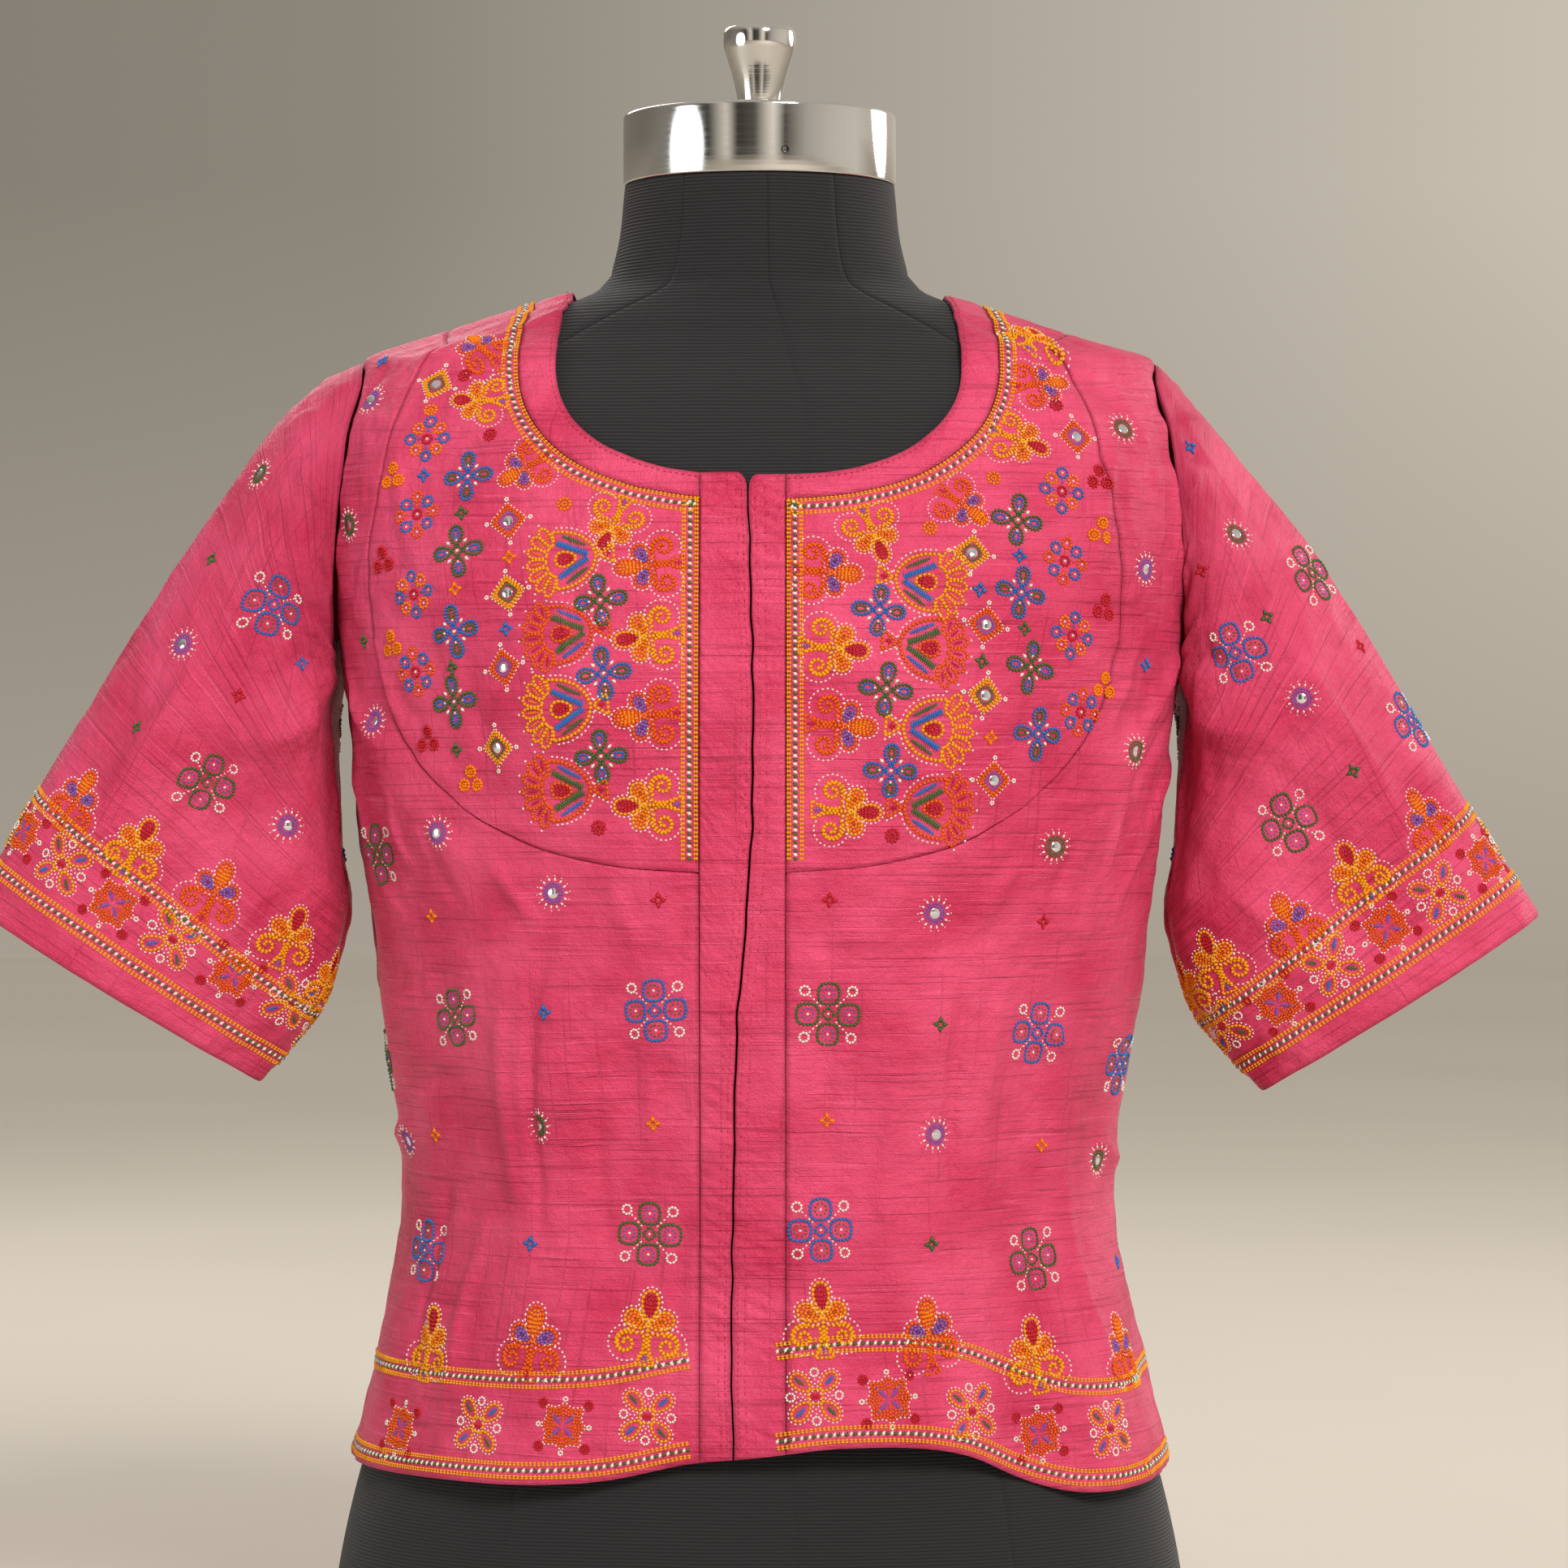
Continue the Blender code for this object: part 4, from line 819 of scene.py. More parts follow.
def sleeve_folds(turn, share):
    out = np.zeros(np.broadcast(turn, share).shape)
    for a0, s0, a1, s1, half, rise in SLEEVE_FOLDS:
        along = (share - s0) / (s1 - s0)
        middle = a0 + (a1 - a0) * np.clip(along, 0.0, 1.0)
        side = np.radians(apart(turn, middle)) * SLEEVE_RADIUS
        ends = ramp(along, -0.2, 0.3) * (1.0 - ramp(along, 0.7, 1.3))
        out = out + rise * bump(side / half) * ends
    return out


def rumple(across, up, size, seed):
    """Soft uneven bumps between -1 and 1, of about this size in millimetres."""
    heights = np.random.default_rng(seed).uniform(-1.0, 1.0, (64, 64))
    x, y = np.asarray(across) / size, np.asarray(up) / size
    i, j = np.floor(x).astype(int), np.floor(y).astype(int)
    u, v = x - i, y - j
    u, v = u * u * (3 - 2 * u), v * v * (3 - 2 * v)
    i0, i1, j0, j1 = i % 64, (i + 1) % 64, j % 64, (j + 1) % 64
    low = heights[i0, j0] * (1 - u) + heights[i1, j0] * u
    high = heights[i0, j1] * (1 - u) + heights[i1, j1] * u
    return low * (1 - v) + high * v


def crease_lift(across, up, turn_round, rows):
    """Sharp small creases laid along short lines: where one starts and ends, half width, rise."""
    out = np.zeros(np.broadcast(across, up).shape)
    for x0, z0, x1, z1, half, rise in rows:
        run_x, run_z = x1 - x0, z1 - z0
        length = math.hypot(run_x, run_z)
        dx = (across - x0 + turn_round / 2) % turn_round - turn_round / 2
        dz = up - z0
        along = (dx * run_x + dz * run_z) / length**2
        aside = (dx * run_z - dz * run_x) / length + 0.06 * length * np.sin(along * 3.0)
        ends = ramp(along, -0.1, 0.4) * (1.0 - ramp(along, 0.6, 1.1))
        out = out + rise * bump(aside / half) * ends
    return out


def silk_lift(angle, station):
    """How far folds, creases and puckers push the body's cloth out."""
    up = cloth_height(station)
    across = np.asarray(angle) * ROUND_RADIUS
    worked = ramp(up, 372.0, 395.0) * ramp(np.sin(angle), 0.15, 0.5)
    hem_work = 1.0 - ramp(up, 165.0, 205.0)
    pucker = 0.26 + 0.3 * worked + 0.2 * hem_work
    out = fold_height(angle, station)
    out = out + 2.3 * crease_lift(across, up, 2 * math.pi * ROUND_RADIUS, CREASES_MM)
    out = out + 1.8 * rumple(across, up * 0.6, 34.0, 3) + 0.75 * rumple(across, up * 1.5, 17.0, 9)
    out = out + pucker * rumple(across, up, 8.0, 4) + 0.5 * pucker * rumple(across + 3.0, up, 4.6, 5)
    return out


def silk_point(angle, station):
    """A point on the dressed outer face of the body's silk."""
    angle, station = np.broadcast_arrays(np.asarray(angle, float), np.asarray(station, float))
    lift = silk_lift(angle, station)[..., None]
    return dressed_section(angle, station) + lift * facing(dressed_section, angle, station)


def sleeve_lift(turn, share):
    up = share * SLEEVE_LENGTH
    around = np.asarray(turn) * SLEEVE_RADIUS
    out = sleeve_folds(turn, share)
    out = out + 2.3 * crease_lift(around, up, 2 * math.pi * SLEEVE_RADIUS, SLEEVE_CREASES_MM)
    settled = ramp(share, 0.0, 0.06)
    cuff_work = ramp(share, 0.72, 0.8)
    fine = 0.26 + 0.2 * cuff_work
    soft = 1.7 * rumple(around, up * 0.6, 30.0, 6) + 0.75 * rumple(around * 1.5, up, 17.0, 10)
    out = out + settled * soft
    crisp = fine * rumple(around, up, 8.0, 7) + 0.5 * fine * rumple(around, up + 2.0, 4.6, 8)
    return out + settled * crisp


def sleeve_silk(turn, share, word):
    """A point on the dressed outer face of a sleeve, on its own side of the body."""
    turn, share = np.broadcast_arrays(np.asarray(turn, float), np.asarray(share, float))
    lift = sleeve_lift(turn, share)[..., None]
    point = sleeve_point(turn, share, word) + lift * sleeve_facing(sleeve_point, turn, share, word)
    return point * np.array([-1.0 if word == "left" else 1.0, 1.0, 1.0])


def lengths_across(grid):
    """Distance of each point of a grid from its first column, along its row."""
    step = np.linalg.norm(np.diff(grid, axis=1), axis=-1)
    return np.concatenate([np.zeros((len(grid), 1)), np.cumsum(step, axis=1)], axis=1)


def seam_distance(grid, tube=False):
    """Distance of each point of a grid from the nearest of its edges."""
    down = lengths_across(np.swapaxes(grid, 0, 1)).T
    near = np.minimum(down, down[-1:] - down)
    if not tube:
        across = lengths_across(grid)
        near = np.minimum(near, np.minimum(across, across[:, -1:] - across))
    return near


def trimmed(grid, gap):
    """Draw a grid's four edges in by half a seam gap, square to each edge."""
    grid = grid.copy()
    for _ in range(2):
        for end, inside in ((0, 3), (-1, -4)):
            along = np.gradient(grid[end], axis=0)
            along /= np.linalg.norm(along, axis=-1, keepdims=True)
            inward = grid[inside] - grid[end]
            inward -= np.sum(inward * along, axis=-1, keepdims=True) * along
            inward /= np.linalg.norm(inward, axis=-1, keepdims=True)
            grid[end] += inward * gap / 2
        grid = np.swapaxes(grid, 0, 1)
    return grid


def closed_mesh(name, outer, inner, cloth_uv, near, tube=False):
    """One closed shell of quads between an outer and an inner grid, with a UV map and a seam mask."""
    rows, cols = outer.shape[:2]
    count = rows * cols
    at = np.arange(count).reshape(rows, cols)
    if tube:
        at = np.concatenate([at, at[:, :1]], axis=1)
    place = np.arange(rows * at.shape[1]).reshape(at.shape)

    def quads(grid):
        return np.stack([grid[:-1, :-1], grid[1:, :-1], grid[1:, 1:], grid[:-1, 1:]], axis=-1).reshape(-1, 4)

    def rim(line, other):
        return np.stack([line[:-1], line[1:], other[1:], other[:-1]], axis=-1)

    corners = [quads(at), quads(at + count)[:, ::-1], rim(at[0], at[0] + count)]
    spots = [quads(place), quads(place)[:, ::-1], rim(place[0], place[0])]
    corners.append(rim(at[-1] + count, at[-1]))
    spots.append(rim(place[-1], place[-1]))
    if not tube:
        corners += [rim(at[:, 0] + count, at[:, 0]), rim(at[:, -1], at[:, -1] + count)]
        spots += [rim(place[:, 0], place[:, 0]), rim(place[:, -1], place[:, -1])]
    corners, spots = np.concatenate(corners), np.concatenate(spots)

    mesh = bpy.data.meshes.new(name)
    points = np.concatenate([outer.reshape(-1, 3), inner.reshape(-1, 3)]) * MM
    mesh.vertices.add(len(points))
    mesh.vertices.foreach_set("co", points.astype(np.float32).ravel())
    mesh.loops.add(corners.size)
    mesh.loops.foreach_set("vertex_index", corners.astype(np.int32).ravel())
    mesh.polygons.add(len(corners))
    mesh.polygons.foreach_set("loop_start", np.arange(0, corners.size, 4, dtype=np.int32))
    mesh.update(calc_edges=True)
    layer = mesh.uv_layers.new(name="cloth")
    layer.data.foreach_set("uv", cloth_uv.reshape(-1, 2)[spots.ravel()].astype(np.float32).ravel())
    # The near_seam mask is 1 at the seams and fades off them; the silk's finish paints shade there
    mask = mesh.attributes.new("near_seam", "FLOAT", "POINT")
    mask.data.foreach_set("value", np.tile(np.exp(-((near.ravel() / 2.2) ** 2)), 2).astype(np.float32))
    mesh.validate()
    middle = len(quads(at)) // 2
    face = mesh.polygons[middle]
    step = Vector(((outer - inner).reshape(-1, 3)[face.vertices[0]]).tolist())
    if face.normal.dot(step) < 0:
        mesh.flip_normals()
    mesh.shade_smooth()
    mesh.set_sharp_from_angle(angle=math.radians(62))
    made = placed(name, mesh)
    return made


def finish_cloth(made, node, material):
    """A cloth piece takes its silk and its place on the body, and hides the imported part."""
    made.data.materials.append(material)
    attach(made, "root")
    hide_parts(node)
    return made


def sew_body_piece(node, places, sizes, material, lift=None):
    """A piece of the body: the silk over its places, rolled in at its seams."""
    angle, station = places[..., 0], places[..., 1]
    outer = trimmed(silk_point(angle, station), SEAM_GAP)
    near = seam_distance(outer)
    normal = facing(dressed_section, angle, station)
    roll = -sizes.seam_depth / MM * bump(near / 1.3)
    if lift is not None:
        roll = roll + lift(outer, near)
    outer = outer + normal * roll[..., None]
    inner = outer - normal * sizes.cloth_wall / MM
    cloth_uv = np.stack([angle * ROUND_RADIUS, station], axis=-1) * MM
    made = closed_mesh("silk_" + node, outer, inner, cloth_uv, near)
    return finish_cloth(made, node, material)


def placket_puckers(outer, near):
    """Short slanted puckers across a placket, with the ridge of its turned edge."""
    slant = outer[..., 2] + 0.45 * outer[..., 0] + 2.5 * rumple(outer[..., 0], outer[..., 2], 18.0, 11)
    ripple = np.sin(slant * 2 * math.pi / 6.2) * (0.6 + 0.5 * rumple(outer[..., 0], outer[..., 2], 24.0, 12))
    return 0.55 * ripple * ramp(near, 0.5, 3.0) - 0.35 * bump((near - 2.6) / 0.7)


def band_ridges(outer, near):
    """Fine puckers round the neck band and the dip of its edge stitching."""
    around = np.arctan2(outer[..., 0], -outer[..., 1] - 20.0) * 95.0
    ripple = rumple(around, outer[..., 2] * 0.3, 5.0, 13)
    return 0.22 * ripple * ramp(near, 0.5, 3.0) - 0.3 * bump((near - 2.2) / 0.7)


def front_edges(side):
    """The seams of one side's front pieces, as runs of places."""
    placket = PLACKET_RIGHT if side > 0 else PLACKET_LEFT
    fine = 12
    neck = even(neck_curve(NECK_EDGE_HALF, NECK_EDGE_BOTTOM, NECK_POINT, side, side * placket), 10 * fine)
    band = even(neck_curve(BAND_EDGE_HALF, BAND_EDGE_BOTTOM, BAND_POINT, side, side * placket), 10 * fine)
    neck_height = float(cloth_height(neck[-1, 1]))
    band_height = float(cloth_height(band[-1, 1]))
    hem_at_placket = float(hem_height(placket))
    band_side = even(placket_edge(placket, band_height, neck_height), 2 * fine)
    yoke_side = even(placket_edge(placket, YOKE_BOTTOM, band_height), 8 * fine)
    lower_side = even(placket_edge(placket, hem_at_placket, YOKE_BOTTOM), 10 * fine)
    seam = yoke_seam(side)
    turn = int(len(seam) * YOKE_SEAM_TURN)
    seam_side = even(seam[: turn + 1], 18 * fine)
    seam_under = even(seam[turn:], 7 * fine)
    seam_side[-1] = seam_under[0]
    seam_under[-1] = yoke_side[-1]
    heights = np.linspace(neck_height, hem_at_placket, SEAM_SAMPLES)
    below = np.clip((neck_height - heights) / NOTCH[1], 0.0, 1.0)
    rounded = NOTCH[0] * (1.0 - np.sqrt(1.0 - (1.0 - below) ** 2))
    middle = opening_x(heights) + side * (OPENING_GAP / 2 + rounded) + 0.5 * rumple(heights, 0.0, 11.0, 21)
    opening = place_across(middle, heights)
    opening[-1] = place_across(middle[-1], hem_height(middle[-1]))
    under = np.linspace(UNDERARM, BESIDE_YOKE[0], 6 * fine + 1)
    beside = np.linspace(BESIDE_YOKE[0], BESIDE_YOKE[1], 7 * fine + 1)
    low = np.linspace(BESIDE_YOKE[1], float(hem_height(side * HEM_HALF)), 10 * fine + 1)
    return {
        "neck": neck,
        "band": band,
        "band_side": band_side,
        "yoke_side": yoke_side,
        "seam_side": seam_side,
        "seam_under": seam_under,
        "opening": even(opening, 20 * fine),
        "opening_top": even(place_across(np.array([middle[0], placket]), np.full(2, neck_height)), fine),
        "opening_low": even(hem_run(middle[-1], placket), fine),
        "placket_line": joined(band_side, yoke_side, lower_side),
        "band_end": even(shoulder_run(NECK_POINT, BAND_POINT, side), fine),
        "yoke_top": even(shoulder_run(BAND_POINT, YOKE_POINT, side), 7 * fine),
        "outer": joined(
            armhole_run(side, False, 12 * fine),
            side_seam(side, under),
            side_seam(side, beside),
            side_seam(side, low),
        ),
        "inner": joined(seam_side, seam_under, lower_side),
        "front_top": even(shoulder_run(YOKE_POINT, SHOULDER_POINT, side), 8 * fine),
        "front_hem": even(hem_run(placket, side * HEM_HALF), 8 * fine),
    }


def back_edges():
    """The seams of the back and its neck band, from the left side seam round to the right one."""
    fine = 12
    neck = back_curve(BACK_NECK_EDGE, NECK_POINT, 12 * fine)
    band = back_curve(BACK_BAND_EDGE, BAND_POINT, 12 * fine)
    right_top = even(shoulder_run(BAND_POINT, SHOULDER_POINT, 1), 4 * fine)
    left_top = right_top.copy()
    left_top[:, 0] = -math.pi
    ends = even(shoulder_run(NECK_POINT, BAND_POINT, 1), fine)
    left_end = ends.copy()
    left_end[:, 0] = -math.pi
    down = side_seam(1, np.linspace(UNDERARM, float(hem_height(HEM_HALF)), 14 * fine + 1))
    right = joined(armhole_run(1, True, 12 * fine), down)
    left = right.copy()
    left[:, 0] = -math.pi - right[:, 0]
    across = joined(left_top[::-1], band, right_top)
    hem = even(hem_run(-HEM_HALF, HEM_HALF, front=False), len(across) - 1)
    hem[0], hem[-1] = left[-1], right[-1]
    return {"neck": neck, "band": band, "left_end": left_end, "ends": ends, "left": left, "right": right,
            "across": across, "hem": hem}


def sew_sleeve(word, sizes, material):
    """A sleeve as one closed tube from the armhole seam to the cuff."""
    around = np.linspace(0.0, 2 * math.pi, 168, endpoint=False)
    share = close_shares(SLEEVE_LENGTH, 2.4)
    turn, down = np.meshgrid(around, share)
    flip = np.array([-1.0 if word == "left" else 1.0, 1.0, 1.0])
    normal = sleeve_facing(sleeve_point, turn, down, word) * flip
    outer = sleeve_silk(turn, down, word)
    near = seam_distance(outer, tube=True)
    outer = outer - normal * (sizes.seam_depth / MM * bump(near / 1.3))[..., None]
    inward = normal.copy()
    inward[0] *= np.array([0.0, 1.0, 1.0])
    inward[0] /= np.maximum(np.linalg.norm(inward[0], axis=-1, keepdims=True), 0.3)
    inner = outer - inward * sizes.cloth_wall / MM
    whole = np.concatenate([around, [2 * math.pi]])
    wide, long = np.meshgrid(whole * SLEEVE_RADIUS, share * SLEEVE_LENGTH)
    cut = np.stack([wide, long], axis=-1) * MM
    made = closed_mesh("silk_sleeve_" + word, outer, inner, cut, near, tube=True)
    return finish_cloth(made, "sleeve_" + word, material)
def shader_group(name, inputs, outputs):
    """An empty shader node group with these sockets, and its input and output nodes."""
    tree = bpy.data.node_groups.new(name, "ShaderNodeTree")
    for label, kind, value in inputs:
        socket = tree.interface.new_socket(name=label, in_out="INPUT", socket_type="NodeSocket" + kind)
        if value is not None:
            socket.default_value = value
    for label, kind in outputs:
        tree.interface.new_socket(name=label, in_out="OUTPUT", socket_type="NodeSocket" + kind)
    return tree, tree.nodes.new("NodeGroupInput"), tree.nodes.new("NodeGroupOutput")


def stretched_noise(tree, source, scale, detail=2.0, rough=0.5):
    """Noise over a place that is stretched by this scale first."""
    mapping = tree.nodes.new("ShaderNodeMapping")
    mapping.inputs["Scale"].default_value = scale
    noise = tree.nodes.new("ShaderNodeTexNoise")
    noise.inputs["Scale"].default_value = 1.0
    noise.inputs["Detail"].default_value = detail
    noise.inputs["Roughness"].default_value = rough
    tree.links.new(source, mapping.inputs["Vector"])
    tree.links.new(mapping.outputs["Vector"], noise.inputs["Vector"])
    return noise.outputs["Fac"]


def ranged(tree, value, low, high, out_low=0.0, out_high=1.0):
    node = tree.nodes.new("ShaderNodeMapRange")
    node.inputs["From Min"].default_value = low
    node.inputs["From Max"].default_value = high
    node.inputs["To Min"].default_value = out_low
    node.inputs["To Max"].default_value = out_high
    tree.links.new(value, node.inputs["Value"])
    return node.outputs["Result"]


def feed(tree, socket, value):
    """Feeds a socket from another one, or sets its own number or colour."""
    if isinstance(value, (int, float, tuple)):
        socket.default_value = value
    else:
        tree.links.new(value, socket)


def worked_out(tree, operation, first, second):
    """A maths node between two values, each a socket or a number."""
    node = tree.nodes.new("ShaderNodeMath")
    node.operation = operation
    feed(tree, node.inputs[0], first)
    feed(tree, node.inputs[1], second)
    return node.outputs["Value"]


def weighed(tree, *parts):
    """The sum of values, each with its weight."""
    total = None
    for value, weight in parts:
        part = worked_out(tree, "MULTIPLY", value, weight)
        total = worked_out(tree, "ADD", total, part) if total else part
    return total


def tinted(tree, share, first, second, blend="MIX"):
    """Mixes two colours, each a socket or a colour, by a share."""
    node = tree.nodes.new("ShaderNodeMix")
    node.data_type = "RGBA"
    node.blend_type = blend
    for socket, value in (("Factor", share), ("A", first), ("B", second)):
        feed(tree, node.inputs[socket], value)
    return node.outputs["Result"]


def four(colour, strength=1.0):
    """A colour with its alpha, darker or lighter by a strength."""
    return (colour[0] * strength, colour[1] * strength, colour[2] * strength, 1.0)


def slub_weave():
    """Uneven slubbed yarns of raw silk: level streaks, with dark and light thick yarns, over a fine warp."""
    found = bpy.data.node_groups.get("slub_weave")
    if found:
        return found
    tree, start, end = shader_group(
        "slub_weave", [("Place", "Vector", None), ("Slubs", "Float", 1.0)],
        [("Streak", "Float"), ("Slub", "Float"), ("Gap", "Float"), ("Height", "Float")],
    )
    place = start.outputs["Place"]
    fine = stretched_noise(tree, place, (70.0, 1400.0, 1.0), 3.0, 0.6)
    broad = stretched_noise(tree, place, (7.0, 160.0, 1.0), 4.0, 0.6)
    grain = stretched_noise(tree, place, (1500.0, 1300.0, 1.0), 2.0, 0.6)
    thick = ranged(tree, stretched_noise(tree, place, (21.0, 620.0, 1.0), 2.0), 0.57, 0.68)
    slub = worked_out(tree, "MULTIPLY", thick, start.outputs["Slubs"])
    moved = tree.nodes.new("ShaderNodeVectorMath")
    moved.inputs[1].default_value = (0.37, 0.41, 0.0)
    tree.links.new(place, moved.inputs[0])
    aside = moved.outputs["Vector"]
    thin = ranged(tree, stretched_noise(tree, aside, (14.0, 700.0, 1.0), 2.0), 0.585, 0.68)
    upright = ranged(tree, stretched_noise(tree, aside, (420.0, 9.0, 1.0), 2.0), 0.62, 0.70)
    thin = worked_out(tree, "MAXIMUM", thin, worked_out(tree, "MULTIPLY", upright, 0.7))
    gap = worked_out(tree, "MULTIPLY", thin, start.outputs["Slubs"])
    streak = weighed(tree, (fine, 0.4), (broad, 0.35), (grain, 0.25))
    height = weighed(tree, (fine, 0.5), (slub, 0.35), (grain, 0.8), (gap, -0.45))
    tree.links.new(ranged(tree, streak, 0.36, 0.64), end.inputs["Streak"])
    tree.links.new(slub, end.inputs["Slub"])
    tree.links.new(gap, end.inputs["Gap"])
    tree.links.new(height, end.inputs["Height"])
    return tree


def crumpled():
    """Small soft crumples and patches, from a place in metres."""
    found = bpy.data.node_groups.get("crumpled")
    if found:
        return found
    tree, start, end = shader_group(
        "crumpled", [("Place", "Vector", None), ("Size", "Float", 90.0)],
        [("Patch", "Float"), ("Height", "Float")],
    )
    scaled = tree.nodes.new("ShaderNodeVectorMath")
    scaled.operation = "SCALE"
    tree.links.new(start.outputs["Place"], scaled.inputs[0])
    tree.links.new(start.outputs["Size"], scaled.inputs["Scale"])
    small = stretched_noise(tree, scaled.outputs["Vector"], (1.0, 1.0, 1.0), 4.0, 0.55)
    large = stretched_noise(tree, scaled.outputs["Vector"], (0.16, 0.16, 0.16), 2.0)
    tree.links.new(ranged(tree, large, 0.3, 0.7), end.inputs["Patch"])
    tree.links.new(small, end.inputs["Height"])
    return tree


def grouped(tree, group, place, **values):
    node = tree.nodes.new("ShaderNodeGroup")
    node.node_tree = group
    tree.links.new(place, node.inputs["Place"])
    for label, value in values.items():
        node.inputs[label].default_value = value
    return node


def bumped(tree, shader, height, strength, distance):
    node = tree.nodes.new("ShaderNodeBump")
    node.inputs["Strength"].default_value = strength
    node.inputs["Distance"].default_value = distance
    tree.links.new(height, node.inputs["Height"])
    tree.links.new(node.outputs["Normal"], shader.inputs["Normal"])


def new_finish(name):
    finish = bpy.data.materials.new(name)
    finish.use_nodes = True
    return finish, finish.node_tree, finish.node_tree.nodes["Principled BSDF"]


def silk_finish(name, colours, slubs):
    """Pink slubbed silk with crimson depths, painted shade in its seams and painted sheen in soft patches,
    for pieces with the cloth UV map.
    """
    finish, tree, shader = new_finish(name)
    place = tree.nodes.new("ShaderNodeUVMap")
    place.uv_map = "cloth"
    weave = grouped(tree, slub_weave(), place.outputs["UV"], Slubs=slubs)
    solid = tree.nodes.new("ShaderNodeTexCoord")
    crumple = grouped(tree, crumpled(), solid.outputs["Object"], Size=150.0)
    seam = tree.nodes.new("ShaderNodeAttribute")
    seam.attribute_name = "near_seam"
    deep, main, light = four(colours.silk_deep), four(colours.silk), four(colours.silk_light)
    streaked = tinted(tree, ranged(tree, weave.outputs["Streak"], 0.0, 1.0, 0.45, 1.0), deep, main)
    streaked = tinted(tree, ranged(tree, weave.outputs["Slub"], 0.0, 1.0, 0.0, 0.4), streaked, light)
    streaked = tinted(tree, ranged(tree, weave.outputs["Gap"], 0.0, 1.0, 0.0, 0.75), streaked, deep)
    # Painted sheen: soft large patches of the silk are mixed towards its light colour
    sheen_patched = tinted(tree, ranged(tree, crumple.outputs["Patch"], 0.0, 1.0, 0.0, 0.6), streaked, light)
    # Painted shade in the seams: where the near_seam mask is high, the silk is mixed towards half its deep
    # colour, and worn holds the silk with this painted shade
    painted_seam_shade = ranged(tree, seam.outputs["Fac"], 0.4, 1.0, 0.0, 0.42)
    worn = tinted(tree, painted_seam_shade, sheen_patched, four(colours.silk_deep, 0.5))
    tree.links.new(worn, shader.inputs["Base Color"])
    tree.links.new(ranged(tree, weave.outputs["Streak"], 0.0, 1.0, 0.56, 0.38), shader.inputs["Roughness"])
    shader.inputs["Sheen Weight"].default_value = 0.10
    shader.inputs["Sheen Roughness"].default_value = 0.4
    shader.inputs["Sheen Tint"].default_value = (1.0, 0.30, 0.45, 1.0)
    shader.inputs["Specular IOR Level"].default_value = 0.85
    shader.inputs["Specular Tint"].default_value = (1.0, 0.34, 0.50, 1.0)
    height = worked_out(tree, "ADD", weave.outputs["Height"],
                        worked_out(tree, "MULTIPLY", crumple.outputs["Height"], 3.2))
    bumped(tree, shader, height, 0.9, 0.0007)
    return finish


def knit_finish(name, colours):
    """Charcoal cover of the form, in fine level ribs."""
    finish, tree, shader = new_finish(name)
    solid = tree.nodes.new("ShaderNodeTexCoord")
    split = tree.nodes.new("ShaderNodeSeparateXYZ")
    tree.links.new(solid.outputs["Object"], split.inputs["Vector"])
    bend = stretched_noise(tree, solid.outputs["Object"], (14.0, 14.0, 40.0), 2.0)
    level = worked_out(tree, "ADD", split.outputs["Z"], worked_out(tree, "MULTIPLY", bend, 0.0022))
    rib = worked_out(tree, "SINE", worked_out(tree, "MULTIPLY", level, 2 * math.pi / 0.0015), 0.0)
    fuzz = stretched_noise(tree, solid.outputs["Object"], (900.0, 900.0, 2600.0), 2.0)
    # Painted shade of the ribs: the rib wave darkens the cover in its grooves and lightens it on its crowns,
    # and the fuzz adds uneven tone
    shade = ranged(tree, rib, -1.0, 1.0, 0.15, 0.85)
    shade = worked_out(tree, "ADD", shade, worked_out(tree, "MULTIPLY", fuzz, 0.5))
    colour = tinted(tree, shade, four(colours.knit, 0.4), four(colours.knit, 1.25))
    tree.links.new(colour, shader.inputs["Base Color"])
    tree.links.new(ranged(tree, fuzz, 0.3, 0.7, 0.82, 0.96), shader.inputs["Roughness"])
    shader.inputs["Sheen Weight"].default_value = 0.12
    shader.inputs["Specular IOR Level"].default_value = 0.25
    bumped(tree, shader, worked_out(tree, "ADD", rib, fuzz), 0.55, 0.0004)
    return finish


def thread_finish(name, colour):
    """Twisted embroidery thread with a soft shine."""
    finish, tree, shader = new_finish(name)
    solid = tree.nodes.new("ShaderNodeTexCoord")
    crumple = grouped(tree, crumpled(), solid.outputs["Object"], Size=1400.0)
    share = ranged(tree, crumple.outputs["Height"], 0.3, 0.7)
    dark, bright = four(colour, 0.72), four([min(c * 1.15, 1.0) for c in colour])
    tree.links.new(tinted(tree, share, dark, bright), shader.inputs["Base Color"])
    tree.links.new(ranged(tree, share, 0.0, 1.0, 0.62, 0.42), shader.inputs["Roughness"])
    shader.inputs["Specular IOR Level"].default_value = 0.22
    bumped(tree, shader, crumple.outputs["Height"], 0.5, 0.0003)
    return finish


def polished_finish(name, colour, rough):
    """Polished metal with faint turned marks and smudges."""
    finish, tree, shader = new_finish(name)
    solid = tree.nodes.new("ShaderNodeTexCoord")
    crumple = grouped(tree, crumpled(), solid.outputs["Object"], Size=60.0)
    turned = stretched_noise(tree, solid.outputs["Object"], (6.0, 6.0, 900.0), 2.0)
    share = worked_out(tree, "MULTIPLY", crumple.outputs["Patch"], turned)
    tree.links.new(ranged(tree, share, 0.1, 0.6, rough, rough + 0.12), shader.inputs["Roughness"])
    shade = ranged(tree, crumple.outputs["Patch"], 0.0, 1.0)
    tree.links.new(tinted(tree, shade, four(colour), four(colour, 0.88)), shader.inputs["Base Color"])
    shader.inputs["Metallic"].default_value = 1.0
    bumped(tree, shader, turned, 0.06, 0.0002)
    return finish


